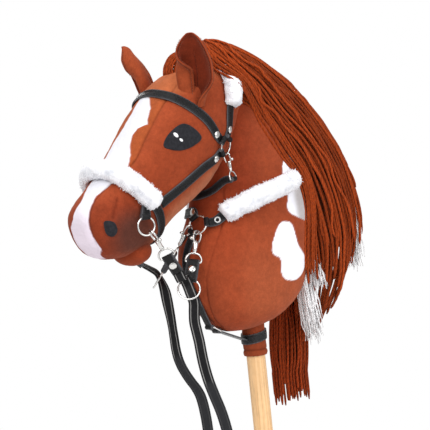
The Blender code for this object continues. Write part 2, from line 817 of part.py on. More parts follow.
def make_face(horse, skin):
    for side, word in ((-1, "left"), (1, "right")):
        finished(patch(f"eye_{word}", skin, EYE_OUTLINE, side), f"eye_{word}", horse, FELT_BLACK)
        nostril = patch(f"nostril_{word}", skin, NOSTRIL_OUTLINE, side)
        finished(nostril, f"nostril_{word}", horse, FELT_BLACK)


def sided(point, side):
    """A left-side point, or the same on the right."""
    return (point[0], -point[1] * side, point[2])


def cheek_ring(skin, side):
    foot, normal = skin.nearest(sided(CHEEK_RING_SPOT, side))
    height = PILE_GAP + FOLD_WALL + GAP + RING_WIRE / 2
    return Ring(foot + normal * height, normal, (-1, 0, 0), CHEEK_RING_DIAMETER)


def bit_ring(side):
    normal = Vector((-math.sin(BIT_RING_YAW), side * math.cos(BIT_RING_YAW), 0))
    return Ring(sided(BIT_RING_CENTRE, side), normal, (-1, 0, 0), BIT_RING_DIAMETER)


def chest_ring(skin):
    foot, normal = skin.nearest(CHEST_RING_SPOT)
    height = PILE_GAP + FOLD_WALL + GAP + RING_WIRE / 2 + CHEST_RING_LIFT
    return Ring(foot + normal * height, normal, (0, -1, 0), CHEST_RING_DIAMETER)


def leaving(ring, degrees, reach=0.011):
    """Guide points of a strap that leaves a ring squarely: the wire, then just outside it."""
    spot, out = ring.spot(degrees), ring.outward(degrees)
    return [tuple(spot), tuple(spot + out * reach)]


def rivet_outside(strap, skin, ring, degrees, reach):
    foot, normal = skin.nearest(ring.spot(degrees) + ring.outward(degrees) * reach)
    rivet(strap, foot, normal)


def across_strap(name, skin, rings, degrees, guides, middle):
    """A strap from the left ring over the middle to the right one, alike on both sides."""
    left = leaving(rings[0], degrees) + list(guides)
    stations = skin.lay(left + [middle] + mirrored(left))
    strap = loft(name, skin.band(stations, strap_section(rounded=True), narrow=(END_SHARE, END_SHARE)))
    for ring in rings:
        folded_end(strap, ring, degrees)
        rivet_outside(strap, skin, ring, degrees, 0.0120)
    return strap, stations


def make_halter(horse, skin):
    """Straps, rings and fleeces of the halter; returns what other pieces need."""
    made = {}
    rings = [cheek_ring(skin, -1), cheek_ring(skin, 1)]
    browband, stations = across_strap(
        "browband", skin, rings, BROWBAND_ANGLE, BROWBAND_GUIDES, BROWBAND_MIDDLE
    )
    finished(browband, "browband", horse, LEATHER)
    made["browband_space"] = loft("browband_space", skin.band(stations, strap_section(grow=GAP)))
    headpiece, stations = across_strap(
        "headpiece_strap", skin, rings, HEADPIECE_ANGLE, HEADPIECE_GUIDES, HEADPIECE_MIDDLE
    )
    finished(headpiece, "headpiece_strap", horse, LEATHER)
    covered = [s for s in stations if s[0][2] > HEADPIECE_FLEECE_FROM]
    shares = [FLEECE_PRESSED_SHARE if s[0][2] > FLEECE_PRESSED_FROM else 1.0 for s in covered]
    spread = [FLEECE_PRESSED_SHARE if s[0][2] > FLEECE_PRESSED_FROM else 1.0 for s in stations]
    fleece = loft("headpiece_fleece", skin.band(covered, [fleece_section(0.0, f) for f in shares]))
    finished(fleece, "headpiece_fleece", horse, FLEECE)
    grown = [fleece_section(PILE_GAP, f) for f in spread]
    made["fleece_space"] = loft("fleece_space", skin.band(stations, grown))

    nose_left = [NOSEBAND_TOP, *NOSEBAND_GUIDES, NOSEBAND_BOTTOM]
    stations = skin.lay(nose_left + mirrored(NOSEBAND_GUIDES), closed=True)
    noseband = loft("noseband", skin.band(stations, strap_section()), closed=True)
    first = next(i for i, s in enumerate(stations) if s[0][2] < NOSEBAND_FLEECE_TO)
    covered = stations[1 - first :] + stations[:first]
    fleece = loft("noseband_fleece", skin.band(covered, fleece_section()))

    for side, word, ring in ((-1, "left", rings[0]), (1, "right", rings[1])):
        finished(ring.make("cheek_ring"), f"cheek_ring_{word}", horse, NICKEL)
        route = leaving(ring, CHEEK_STRAP_ANGLE) + [sided(p, side) for p in CHEEK_STRAP_GUIDES]
        strap = loft("cheek_strap", skin.band(skin.lay(route), strap_section(), narrow=(END_SHARE, 1.0)))
        folded_end(strap, ring, CHEEK_STRAP_ANGLE)
        rivet_outside(strap, skin, ring, CHEEK_STRAP_ANGLE, 0.0115)
        finished(strap, f"cheek_strap_{word}", horse, LEATHER)
        bit = bit_ring(side)
        combined(fleece, bit_tab(skin, side, bit, grow=GAP), "DIFFERENCE")
        tab = combined(bit_tab(skin, side, bit), bit.bore(GAP + SWING_ROOM), "DIFFERENCE")
        finished(tab, f"bit_tab_{word}", horse, LEATHER)
        hung = moved_origin(bit.make("bit_ring"), bit.spot(90.0))
        finished(hung, f"bit_ring_{word}", horse, NICKEL)
        say_joint(f"bit_ring_{word}", bit.spot(90.0), bit.tangent(90.0))
        made[f"bit_{word}"] = bit
    finished(fleece, "noseband_fleece", horse, FLEECE)
    finished(noseband, "noseband_strap", horse, LEATHER)
    made["cheek"] = rings
    return made


def bit_tab(skin, side, ring, grow=0.0):
    """A short leather loop from beside the noseband's lower edge to the top of the bit ring."""
    spot, along = ring.spot(90.0), ring.tangent(90.0)
    foot, normal = skin.nearest(sided(BIT_TAB_FROM, side))
    run = Vector(sided(NOSEBAND_GUIDES[3], side)) - Vector(sided(NOSEBAND_GUIDES[2], side))
    normal = Vector(normal)
    run = (run - normal * run.dot(normal)).normalized()
    down = normal.cross(run)
    if down.dot(spot - Vector(foot)) < 0:
        down.negate()
    if run.dot(along) < 0:
        run.negate()
    start, normal = skin.nearest(Vector(foot) + down * (STRAP_WIDTH / 2 + BIT_TAB_GAP))
    normal = Vector(normal)
    start = Vector(start) + normal * (PILE_GAP + STRAP / 2)
    start = start - down * grow
    thin = normal * (STRAP / 2 + grow)
    outer = RING_WIRE / 2 + GAP + SWING_ROOM + FOLD_WALL + grow
    out = ring.normal * outer * 0.92
    if out.dot(thin) < 0:
        out.negate()
    half = run * (FOLD_WIDTH / 2 + grow)
    begin = [start + half + thin, start - half + thin, start - half - thin, start + half - thin]
    half = along * (FOLD_WIDTH / 2 + grow)
    end = [spot + half + out, spot - half + out, spot - half - out, spot + half - out]
    shares = np.linspace(0, 1, BIT_TAB_RINGS)
    tab = loft("tab", [[a.lerp(b, share) for a, b in zip(begin, end)] for share in shares])
    half = half * 1.02
    fold = rod("fold", spot - half, spot + half, outer)
    return combined(tab, fold, "UNION")


def hook_point(x, z, scale, seat):
    """A point of the full-size hook, scaled about the top of its loop."""
    top = RING_WIRE / 2 + seat + HOOK_WIRE_RADIUS * scale
    return (x * scale, 0.0, top + (z - HOOK_LOOP_TOP) * scale)


def hook_frame(scale, seat):
    """The cast frame: an open loop, a tapered body with the lever's slot, the swivel's socket."""
    centre = HOOK_LOOP_TOP - HOOK_LOOP_RADIUS
    route = [(0.0027, -0.0146), (0.0044, -0.0105), (0.0054, -0.0065)]
    route += [
        (HOOK_LOOP_RADIUS * math.cos(a), centre + HOOK_LOOP_RADIUS * math.sin(a))
        for a in np.radians(np.arange(0, 181, 36))
    ]
    route.append((-HOOK_LOOP_RADIUS, centre - 0.0010))
    loop = wire("loop", [hook_point(x, z, scale, seat) for x, z in route], HOOK_WIRE_RADIUS * scale)
    turn = 2 * np.pi * np.arange(HOOK_BODY_SIDES) / HOOK_BODY_SIDES
    rings = []
    for z, wide, deep in HOOK_BODY:
        middle = np.array(hook_point(0, z, scale, seat))
        flat = np.stack((wide * np.cos(turn), deep * np.sin(turn), 0 * turn), axis=1)
        rings.append(middle + flat * scale)
    frame = loft("frame", rings)
    combined(frame, loop, "UNION")
    slot_low = hook_point(-0.0070, -0.0168, scale, seat)
    slot_high = hook_point(0.0010, -0.0080, scale, seat)
    half = LEVER_THICKNESS / 2 * scale + GAP
    slot = box("slot", (slot_low[0], -half, slot_low[2]), (slot_high[0], half, slot_high[2]))
    combined(frame, slot, "DIFFERENCE")
    pivot = Vector(hook_point(*LEVER_PIVOT, scale, seat))
    across = Vector((0, 0.006, 0))
    hole = rod("hole", pivot - across, pivot + across, LEVER_PIN_RADIUS * scale + GAP, sides=6)
    combined(frame, hole, "DIFFERENCE")
    bottom = Vector(hook_point(0, HOOK_BODY[-1][0], scale, seat))
    deep = Vector(hook_point(0, SWIVEL_SHANK_TOP, scale, seat)) + Vector((0, 0, GAP))
    socket = rod("socket", bottom - Vector((0, 0, 0.001)), deep, SWIVEL_SHANK_RADIUS * scale + GAP, sides=6)
    return combined(frame, socket, "DIFFERENCE")


def hook_lever(scale, seat):
    """The sprung gate: a root on its pin, a rod that closes the loop, and a thumb knob."""
    pivot = Vector(hook_point(*LEVER_PIVOT, scale, seat))
    thick = Vector((0, LEVER_THICKNESS / 2 * scale, 0))
    root = rod("root", pivot - thick, pivot + thick, LEVER_ROOT_RADIUS * scale, sides=10)
    gate = wire("gate", [hook_point(x, z, scale, seat) for x, z in LEVER_ROUTE], LEVER_ROD_RADIUS * scale)
    combined(root, gate, "UNION")
    knob_place = hook_point(*LEVER_KNOB, scale, seat)
    arm = wire("arm", [hook_point(*LEVER_ROUTE[1], scale, seat), knob_place], LEVER_ROD_RADIUS * scale)
    combined(root, arm, "UNION")
    size = LEVER_KNOB_RADIUS * scale
    combined(root, ball("knob", knob_place, (size, size, size), rings=4, segments=7), "UNION")
    pin_reach = Vector((0, HOOK_BODY[1][2] * scale, 0))
    pin = rod("pin", pivot - pin_reach, pivot + pin_reach, LEVER_PIN_RADIUS * scale, sides=6)
    return combined(root, pin, "UNION")


def hook_swivel(scale, seat):
    """The swivel eye: a D of wire, a collar and the shank that turns in the frame's socket."""
    bar, top, wide = SWIVEL_BAR, SWIVEL_EYE_TOP, SWIVEL_BAR_HALF
    half = [(0.86 * wide, bar), (wide, bar + 0.0016), (0.98 * wide, bar + 0.0055)]
    half.append((0.62 * wide, top - 0.0018))
    route = half + [(0.0, top)] + [(-x, z) for x, z in reversed(half)]
    points = [hook_point(x, z, scale, seat) for x, z in route]
    eye = wire("eye", points, SWIVEL_WIRE_RADIUS * scale, closed=True)
    up = Vector(hook_point(0, SWIVEL_SHANK_TOP, scale, seat))
    low = Vector(hook_point(0, top, scale, seat))
    collar_top = Vector(hook_point(0, SWIVEL_COLLAR_TOP, scale, seat))
    collar_low = Vector(hook_point(0, SWIVEL_COLLAR_TOP - SWIVEL_COLLAR_HEIGHT, scale, seat))
    combined(eye, rod("shank", low, up, SWIVEL_SHANK_RADIUS * scale, sides=6), "UNION")
    collar = rod("collar", collar_low, collar_top, SWIVEL_COLLAR_RADIUS * scale, sides=8)
    return combined(eye, collar, "UNION")


class SnapHook:
    """A snap hook on a ring: where it hangs, which way it pulls and how its eye is turned."""

    def __init__(self, name, spot, pull, normal, eye_bar, scale=1.0, slack=0.0):
        self.name = name
        self.scale = scale
        self.seat = HOOK_SEAT + slack
        self.up = -Vector(pull).normalized()
        side = Vector(normal).cross(self.up)
        self.place = frame_matrix(spot, side, self.up)
        self.eye_place = frame_matrix(spot, eye_bar, self.up)

    def make(self, horse):
        frame = hook_frame(self.scale, self.seat)
        frame.matrix_world = self.place
        say_joint(f"{self.name}_swivel", self.place.translation, self.up)
        finished(frame, f"{self.name}_hook", horse, NICKEL)
        lever = hook_lever(self.scale, self.seat)
        pivot = Vector(hook_point(*LEVER_PIVOT, self.scale, self.seat))
        moved_origin(lever, pivot)
        lever.matrix_world = self.place @ Matrix.Translation(pivot)
        say_joint(f"{self.name}_lever", self.place @ pivot, self.place.to_3x3() @ Vector((0, 1, 0)))
        finished(lever, f"{self.name}_lever", horse, NICKEL)
        eye = hook_swivel(self.scale, self.seat)
        eye.matrix_world = self.eye_place
        finished(eye, f"{self.name}_swivel", horse, NICKEL)

    def bar_centre(self):
        return self.eye_place @ Vector(hook_point(0, SWIVEL_BAR, self.scale, self.seat))

    def bar_direction(self):
        return self.eye_place.to_3x3() @ Vector((1, 0, 0))


def bar_bore(hook):
    """A cutter that leaves room round the straight bar of a swivel eye."""
    along = hook.bar_direction() * SWIVEL_BAR_HALF
    centre = hook.bar_centre()
    radius = SWIVEL_WIRE_RADIUS * hook.scale + BAR_SLACK
    return rod("bar_bore", centre - along, centre + along, radius)


def leather_bar(name, hook, length, width, thick, rounded=False):
    """Doubled leather from a swivel eye's bar, along the hook's pull, as one prism."""
    centre, bar = hook.bar_centre(), hook.bar_direction()
    radius = thick / 2
    outline = [(radius * math.cos(a), radius * math.sin(a)) for a in np.radians(np.arange(0, 181, 30))]
    if rounded:
        outline += [(x, -length - y) for x, y in outline]
        outline = outline[:7] + [(-x, z) for x, z in outline[7:]]
    else:
        outline += [(-radius, -length), (radius, -length)]
    flat = hook.up.cross(bar)
    half = bar * width / 2
    rings = [[centre + flat * x + hook.up * z + half * side for x, z in outline] for side in (-1, 1)]
    return combined(loft(name, rings), bar_bore(hook), "DIFFERENCE")


def outer_side(hook):
    """The face of a hook's leather that is turned to the viewer."""
    face = hook.up.cross(hook.bar_direction())
    return face if face.dot(VIEW_TOWARDS) > 0 else -face


def make_fork(horse, word, hook):
    """Hook, keeper and running ring of one fork."""
    hook.make(horse)
    thick = RING_WIRE + 2 * (GAP + SWING_ROOM + FOLD_WALL)
    keeper = leather_bar(f"fork_keeper_{word}", hook, KEEPER_LENGTH, KEEPER_WIDTH, thick, rounded=True)
    bar = hook.bar_direction()
    centre = hook.bar_centre()
    low = centre - hook.up * KEEPER_LENGTH
    radius = (RUNNING_RING_DIAMETER - RING_WIRE) / 2
    ring = Ring(low - hook.up * radius, hook.up.cross(bar), -hook.up, RUNNING_RING_DIAMETER)
    combined(keeper, ring.bore(GAP + SWING_ROOM), "DIFFERENCE")
    middle = centre - hook.up * KEEPER_LENGTH * 0.48
    rivet(keeper, middle, outer_side(hook), height=thick / 2)
    finished(keeper, f"fork_keeper_{word}", horse, LEATHER)
    finished(moved_origin(ring.make("running_ring"), low), f"running_ring_{word}", horse, NICKEL)
    say_joint(f"running_ring_{word}", low, bar)
    return ring


def make_forks(horse, ring):
    """Both forks; returns their running rings."""
    pulls = {
        "left": (LEFT_FORK_ANGLE, Vector(LEFT_RUNNING_RING)),
        "right": (RIGHT_FORK_ANGLE, Vector(RIGHT_RUNNING_RING)),
    }
    made = []
    for word, (degrees, goal) in pulls.items():
        spot = ring.spot(degrees)
        pull = goal - spot
        tangent = ring.tangent(degrees)
        if word == "left":
            normal = tangent if tangent.dot(VIEW_TOWARDS) < 0 else -tangent
            normal = normal - VIEW_TOWARDS * 0.8
            bar = VIEW_RIGHT
        else:
            normal = -tangent
            bar = VIEW_TOWARDS
        hook = SnapHook(f"fork_{word}", spot, pull, normal, bar, slack=FORK_SLACK)
        made.append(make_fork(horse, word, hook))
    return made


def make_rein_ends(horse, halter):
    """Hooks on the bit rings and the leather they hold; returns where each rein starts."""
    starts = []
    for side, word, goal in ((-1, "left", LEFT_RUNNING_RING), (1, "right", RIGHT_RUNNING_RING)):
        ring = halter[f"bit_{word}"]
        aim = Vector(goal) - ring.centre
        flat = (aim - ring.normal * aim.dot(ring.normal)).normalized()
        spot = ring.centre + flat * ring.radius
        tangent = flat.cross(ring.normal)
        bar = Vector((0.80, 0.60 * side, 0.0))
        hook = SnapHook(f"rein_{word}", spot, aim, tangent, bar, slack=GAP)
        hook.make(horse)
        thick = 2 * (SWIVEL_WIRE_RADIUS + BAR_SLACK + FOLD_WALL * 0.85)
        strap = leather_bar(f"rein_end_{word}", hook, REIN_END_LENGTH, REIN_WIDTH, thick)
        middle = hook.bar_centre() - hook.up * REIN_END_LENGTH * 0.5
        rivet(strap, middle, outer_side(hook), height=thick / 2)
        finished(strap, f"rein_end_{word}", horse, LEATHER)
        end = hook.bar_centre() - hook.up * (REIN_END_LENGTH + REIN_START_GAP)
        starts.append((end, -hook.up, hook.bar_direction()))
    return starts


def make_throat(horse, neck_skin, rings):
    """The strap under the throat and its two hooks on the cheek rings."""
    hooks = []
    for side, word, ring in ((-1, "left", rings[0]), (1, "right", rings[1])):
        spot = ring.spot(THROAT_HOOK_ANGLE)
        goal = Vector(sided(THROAT_STRAP_GUIDES[0], side)) + Vector((0.006, 0.010 * side, 0.004))
        tangent = ring.tangent(THROAT_HOOK_ANGLE)
        bar = (goal - spot).cross(ring.normal)
        hook = SnapHook(f"throat_{word}", spot, goal - spot, tangent, bar, scale=THROAT_HOOK_SCALE)
        hook.make(horse)
        hooks.append(hook)
    left = [tuple(hooks[0].bar_centre()), *THROAT_STRAP_GUIDES]
    stations = neck_skin.lay(left + [THROAT_STRAP_MIDDLE] + mirrored(left))
    lifts = []
    for hook, (foot, normal, _) in zip(hooks, (stations[0], stations[-1])):
        height = (hook.bar_centre() - Vector(foot)).dot(Vector(normal))
        lifts.append(height - PILE_GAP - STRAP / 2)
    strap = loft("throat_strap", neck_skin.band(stations, strap_section(THROAT_STRAP_WIDTH), lifts))
    for hook in hooks:
        half = hook.bar_direction() * THROAT_STRAP_WIDTH * 0.52
        centre = hook.bar_centre()
        outer = SWIVEL_WIRE_RADIUS * hook.scale + BAR_SLACK + FOLD_WALL
        fold = rod("fold", centre - half, centre + half, outer)
        combined(strap, fold, "UNION")
        combined(strap, bar_bore(hook), "DIFFERENCE")
    finished(strap, "throat_strap", horse, LEATHER)


def make_breastplate(horse, skin):
    ring = chest_ring(skin)
    finished(ring.make("chest_ring"), "chest_ring", horse, NICKEL)
    left = leaving(ring, NECK_LEFT_ANGLE) + list(NECK_STRAP_GUIDES)
    right = mirrored(NECK_STRAP_GUIDES[1:]) + list(NECK_STRAP_FRONT_RIGHT)
    route = left + [NECK_STRAP_BACK] + right + leaving(ring, NECK_RIGHT_ANGLE)[::-1]
    stations = skin.lay(route)
    lifts = (CHEST_RING_LIFT, CHEST_RING_LIFT)
    strap = loft("neck_strap", skin.band(stations, strap_section(), lifts, (END_SHARE, END_SHARE)))
    for degrees in (NECK_LEFT_ANGLE, NECK_RIGHT_ANGLE):
        folded_end(strap, ring, degrees)
    finished(strap, "neck_strap", horse, LEATHER)
    for side, word in ((-1, "left"), (1, "right")):
        covered = [s for s in stations if NECK_FLEECE_FROM < s[0][0] < NECK_FLEECE_TO and s[0][1] * side > 0]
        fleece = loft("neck_fleece", skin.band(covered, fleece_section()))
        finished(fleece, f"neck_fleece_{word}", horse, FLEECE)

    link = chest_link()
    route = leaving(ring, CHEST_STRAP_ANGLE) + list(CHEST_STRAP_GUIDES)
    along = Vector(LINK_ALONG).normalized()
    upper_bar = Vector(LINK_CENTRE) - along * LINK_LENGTH / 2
    lower_bar = Vector(LINK_CENTRE) + along * LINK_LENGTH / 2
    route.append(tuple(upper_bar))
    stations = skin.lay(route)
    foot, normal, _ = stations[-1]
    lifts = (CHEST_RING_LIFT, (upper_bar - Vector(foot)).dot(Vector(normal)) - PILE_GAP - STRAP / 2)
    section = strap_section(CHEST_STRAP_WIDTH)
    strap = loft("chest_strap", skin.band(stations, section, lifts, (END_SHARE, 1.0)))
    folded_end(strap, ring, CHEST_STRAP_ANGLE)
    link_fold(strap, upper_bar)
    finished(strap, "chest_strap", horse, LEATHER)
    finished(link, "chest_link", horse, NICKEL)
    make_stick_strap(horse, lower_bar)
    return ring


def link_fold(strap, centre):
    """Rolls a strap's end round a bar of the chest link."""
    half = Vector((0, CHEST_STRAP_WIDTH * 0.52, 0))
    wide = Vector((0, LINK_WIDTH, 0))
    bore = LINK_WIRE / 2 + BAR_SLACK
    combined(strap, rod("fold", centre - half, centre + half, bore + FOLD_WALL), "UNION")
    combined(strap, rod("bore", centre - wide, centre + wide, bore), "DIFFERENCE")


def chest_link():
    """A rectangular wire link between the chest strap and the strap round the sleeve."""
    along = Vector(LINK_ALONG).normalized()
    wide = Vector((0, 1, 0))
    centre = Vector(LINK_CENTRE)
    a, b, cut = LINK_LENGTH / 2, LINK_WIDTH / 2, 0.0018
    outline = [(a, b - cut), (a - cut, b), (cut - a, b), (-a, b - cut)]
    outline += [(x, -y) for x, y in reversed(outline)]
    points = [centre + along * x + wide * y for x, y in outline]
    return wire("chest_link", points, LINK_WIRE / 2, closed=True)


def make_stick_strap(horse, bar):
    """A loop round the sleeve, with a tail that is folded over the link's lower bar."""
    outer = STICK_DIAMETER / 2 + GAP + SLEEVE_WALL
    near = outer + GAP
    turn = 2 * np.pi * np.arange(24) / 24
    section = ((near, -1), (near + STRAP, -1), (near + STRAP, 1), (near, 1))
    rings = []
    for a in turn:
        out = np.array((math.cos(a), math.sin(a), 0.0))
        middle = np.array((0.0, 0.0, STICK_LOOP_HEIGHT + STICK_LOOP_SLOPE * near * math.cos(a)))
        up = np.array((0.0, 0.0, STRAP_WIDTH / 2))
        rings.append([middle + out * r + up * s for r, s in section])
    strap = loft("stick_strap", rings, closed=True)
    half = Vector((0, CHEST_STRAP_WIDTH / 2, 0))
    sleeve_side = Vector((-near - STRAP / 2, 0, STICK_LOOP_HEIGHT - STICK_LOOP_SLOPE * near))
    away = (sleeve_side - bar).normalized()
    thin = away.cross(Vector((0, 1, 0))) * STRAP / 2
    corners = [half + thin, -half + thin, -half - thin, half - thin]
    tail = loft("tail", [[bar + c for c in corners], [sleeve_side + c for c in corners]])
    combined(strap, tail, "UNION")
    link_fold(strap, bar)
    finished(strap, "stick_strap", horse, LEATHER)


def make_hair(horse, fleece_space):
    mane = stuffed("mane", MANE_SECTIONS, side=MANE_SIDE)
    combined(mane, stuffed("head_space", HEAD_SECTIONS, grow=PILE_GAP), "DIFFERENCE", soft=True)
    combined(mane, stuffed("neck_space", NECK_SECTIONS, grow=MANE_NECK_GAP), "DIFFERENCE", soft=True)
    combined(mane, fleece_space, "DIFFERENCE", soft=True)
    finished(mane, "mane", horse, YARN)
    hank = stuffed("mane_hank", HANK_SECTIONS, side=HANK_SIDE)
    combined(hank, stuffed("neck_space", NECK_SECTIONS, grow=PILE_GAP), "DIFFERENCE")
    combined(hank, stuffed("mane_space", MANE_SECTIONS, grow=GAP, side=MANE_SIDE), "DIFFERENCE")
    finished(hank, "mane_hank", horse, YARN)
    forelock = ball("forelock", FORELOCK_CENTRE, FORELOCK_REACH, rings=7, segments=12)
    combined(forelock, stuffed("head_space", HEAD_SECTIONS, grow=GAP), "DIFFERENCE")
    combined(forelock, stuffed("mane_space", MANE_SECTIONS, grow=GAP, side=MANE_SIDE), "DIFFERENCE")
    finished(forelock, "forelock", horse, YARN)


def through_ring(ring, towards, ahead, reach, off):
    """Three route points that carry a rein through a ring, from one side to the other."""
    normal = ring.normal if ring.normal.dot(towards) > 0 else -ring.normal
    flat = Vector(ahead)
    flat = (flat - normal * flat.dot(normal)).normalized() * reach
    slant = normal * off
    return [tuple(ring.centre + slant - flat), tuple(ring.centre), tuple(ring.centre - slant + flat)]


def make_reins(horse, starts, rings):
    """One flat soft strap along the route, its width turned smoothly from end to end."""
    (left, left_pull, left_bar), (right, right_pull, right_bar) = starts
    down_left = Vector(REIN_ROUTE[0]) - left
    down_right = Vector(REIN_ROUTE[-1]) - right
    route = [tuple(left), tuple(left + left_pull * 0.005), tuple(left + left_pull * 0.010), *REIN_FROM_LEFT]
    route += through_ring(rings[0], VIEW_TOWARDS, down_left, *REIN_THROUGH_LEFT)
    route += REIN_ROUTE
    route += through_ring(rings[1], -VIEW_RIGHT, down_right, *REIN_THROUGH_RIGHT)[::-1]
    route += [tuple(right + right_pull * 0.010), tuple(right + right_pull * 0.005), tuple(right)]
    length = np.linalg.norm(np.diff(smooth_path(route, 0.002), axis=0), axis=1).sum()
    path = smooth_path(route, length / (REIN_POINTS - 1))
    ahead = unit(np.gradient(path, axis=0))
    share = np.linspace(0, 1, len(path))
    keys = [left_bar, VIEW_RIGHT, VIEW_RIGHT]
    keys += [VIEW_RIGHT + VIEW_TOWARDS, VIEW_RIGHT + VIEW_TOWARDS]
    keys += [VIEW_RIGHT, VIEW_RIGHT + 0.8 * VIEW_TOWARDS, right_bar]
    keys = np.array([k.normalized() for k in keys])
    places = (0.0, 0.06, 0.22, 0.34, 0.66, 0.76, 0.90, 1.0)
    rings = []
    for point, forward, spot in zip(path, ahead, share):
        wide = np.array([np.interp(spot, places, keys[:, k]) for k in range(3)])
        wide = unit(wide - forward * wide.dot(forward))
        thin = np.cross(forward, wide) * REIN_THICKNESS / 2
        wide = wide * REIN_WIDTH / 2
        rings.append([point + wide + thin, point - wide + thin, point - wide - thin, point + wide - thin])
    print("rein length", round(float(length), 4), "points", len(path))
    finished(loft("reins", rings), "reins", horse, LEATHER)


def main():
    horse = start_scene()
    make_stick(horse)
    make_neck(horse)
    make_head(horse)
    smooth_head = stuffed("smooth_head", HEAD_SECTIONS, levels=3)
    smooth_neck = stuffed("smooth_neck", NECK_SECTIONS, levels=3)
    head_skin = Surface(smooth_head)
    neck_skin = Surface(smooth_neck)
    make_face(horse, head_skin)
    halter = make_halter(horse, head_skin)
    make_ears(horse, halter["browband_space"])
    make_throat(horse, neck_skin, halter["cheek"])
    ring = make_breastplate(horse, neck_skin)
    running_rings = make_forks(horse, ring)
    rein_starts = make_rein_ends(horse, halter)
    make_reins(horse, rein_starts, running_rings)
    make_hair(horse, halter["fleece_space"])
    for helper in (smooth_head, smooth_neck, halter["browband_space"]):
        bpy.data.objects.remove(helper, do_unlink=True)


main()
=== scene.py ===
"""Looks of the hobby horse: plush head and neck on a stick, with halter, breastplate and reins.

Units are metres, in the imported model's own frame: +Z up the stick, the horse faces -X and its
left side is -Y. The route, the rings' places and the sections repeat the CAD source's numbers.
"""

import itertools
import logging
import math
from dataclasses import dataclass
from enum import Enum

import bpy
import numpy as np
from mathutils import Matrix, Vector

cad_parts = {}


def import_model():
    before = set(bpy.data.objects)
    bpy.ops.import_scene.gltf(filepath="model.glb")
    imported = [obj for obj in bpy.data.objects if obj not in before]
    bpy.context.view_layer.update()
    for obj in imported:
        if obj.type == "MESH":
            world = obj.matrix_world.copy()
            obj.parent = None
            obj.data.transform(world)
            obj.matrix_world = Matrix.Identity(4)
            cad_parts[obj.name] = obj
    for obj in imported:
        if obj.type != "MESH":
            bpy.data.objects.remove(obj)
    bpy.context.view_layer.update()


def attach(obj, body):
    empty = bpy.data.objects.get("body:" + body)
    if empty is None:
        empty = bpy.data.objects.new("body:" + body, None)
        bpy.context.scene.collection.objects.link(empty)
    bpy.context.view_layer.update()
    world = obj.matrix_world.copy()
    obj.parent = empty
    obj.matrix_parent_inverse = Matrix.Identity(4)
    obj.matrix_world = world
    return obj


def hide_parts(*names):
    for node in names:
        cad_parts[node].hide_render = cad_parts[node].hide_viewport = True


LOG = logging.getLogger("hobby_horse")
Triple = tuple[float, float, float]
Pair = tuple[float, float]

ROOT = "horse"
GAP = 0.00035  # clearance of a fold round a wire that stays
SWING_GAP = 0.0005  # added to it where the wire swings
BAR_GAP = 0.0004  # clearance of a fold round a hook's or the link's bar
PILE_GAP = 0.0013  # from the skin to a strap's underside
STRAP = 0.002
RING_WIRE = 0.0024
EYE_WIRE = 0.0012  # half the wire of a full-size swivel eye
FOLD_WALL = 0.0019  # leather round a wire
RING_ROLL = RING_WIRE / 2 + GAP + FOLD_WALL
STICK_RADIUS = 0.0125
SLEEVE_WALL = 0.0021
MIRROR = np.array((1, -1, 1))
SIDEWAYS = np.array((0.0, 1.0, 0.0))
UP = np.array((0.0, 0.0, 1.0))
VIEW_RIGHT = np.array((0.766, -0.643, 0.0))
VIEW_TOWARDS = np.array((-0.643, -0.766, 0.0))


class Slot(Enum):
    """Material slots of the record."""

    PLUSH = "plush"
    YARN = "yarn"
    FLEECE = "fleece"
    FELT = "felt"
    STRAP = "strap"
    METAL = "metal"
    WOOD = "wood"


class Side(Enum):
    """The horse's own left and right, with the sign of Y on each."""

    LEFT = -1
    RIGHT = 1

    @property
    def word(self) -> str:
        """The side's name as the nodes have it."""
        return self.name.lower()


# ---------------------------------------------------------------- shape kit


def unit(rows: np.ndarray) -> np.ndarray:
    """Vectors divided by their lengths."""
    return rows / np.maximum(np.linalg.norm(rows, axis=-1, keepdims=True), 1e-12)


def smoothstep(value: np.ndarray, low: float, high: float) -> np.ndarray:
    """The cubic 3t^2 - 2t^3 of a value's share between low and high."""
    t = np.clip((value - low) / (high - low), 0.0, 1.0)
    return t * t * (3.0 - 2.0 * t)


def keyed(spots: np.ndarray, places: np.ndarray, keys: np.ndarray) -> np.ndarray:
    """Rows of keys interpolated at the spots, column by column."""
    keys = np.asarray(keys, float)
    return np.stack([np.interp(spots, places, keys[:, k]) for k in range(keys.shape[1])], axis=-1)


def run_of(path: np.ndarray) -> np.ndarray:
    """Length along a path up to each of its points."""
    steps = np.linalg.norm(np.diff(path, axis=0), axis=1)
    return np.concatenate(([0.0], np.cumsum(steps)))


def slopes(path: np.ndarray, closed: bool = False) -> np.ndarray:
    """Direction of travel at each point of a path, not of unit length."""
    return np.roll(path, -1, 0) - np.roll(path, 1, 0) if closed else np.gradient(path, axis=0)


def eased(rows: np.ndarray, closed: bool) -> np.ndarray:
    """Each row added up with its neighbours as 1-2-1; an open end is its own neighbour."""
    if closed:
        return np.roll(rows, 1, 0) + 2 * rows + np.roll(rows, -1, 0)
    wider = np.vstack((rows[:1], rows, rows[-1:]))
    return wider[:-2] + 2 * rows + wider[2:]


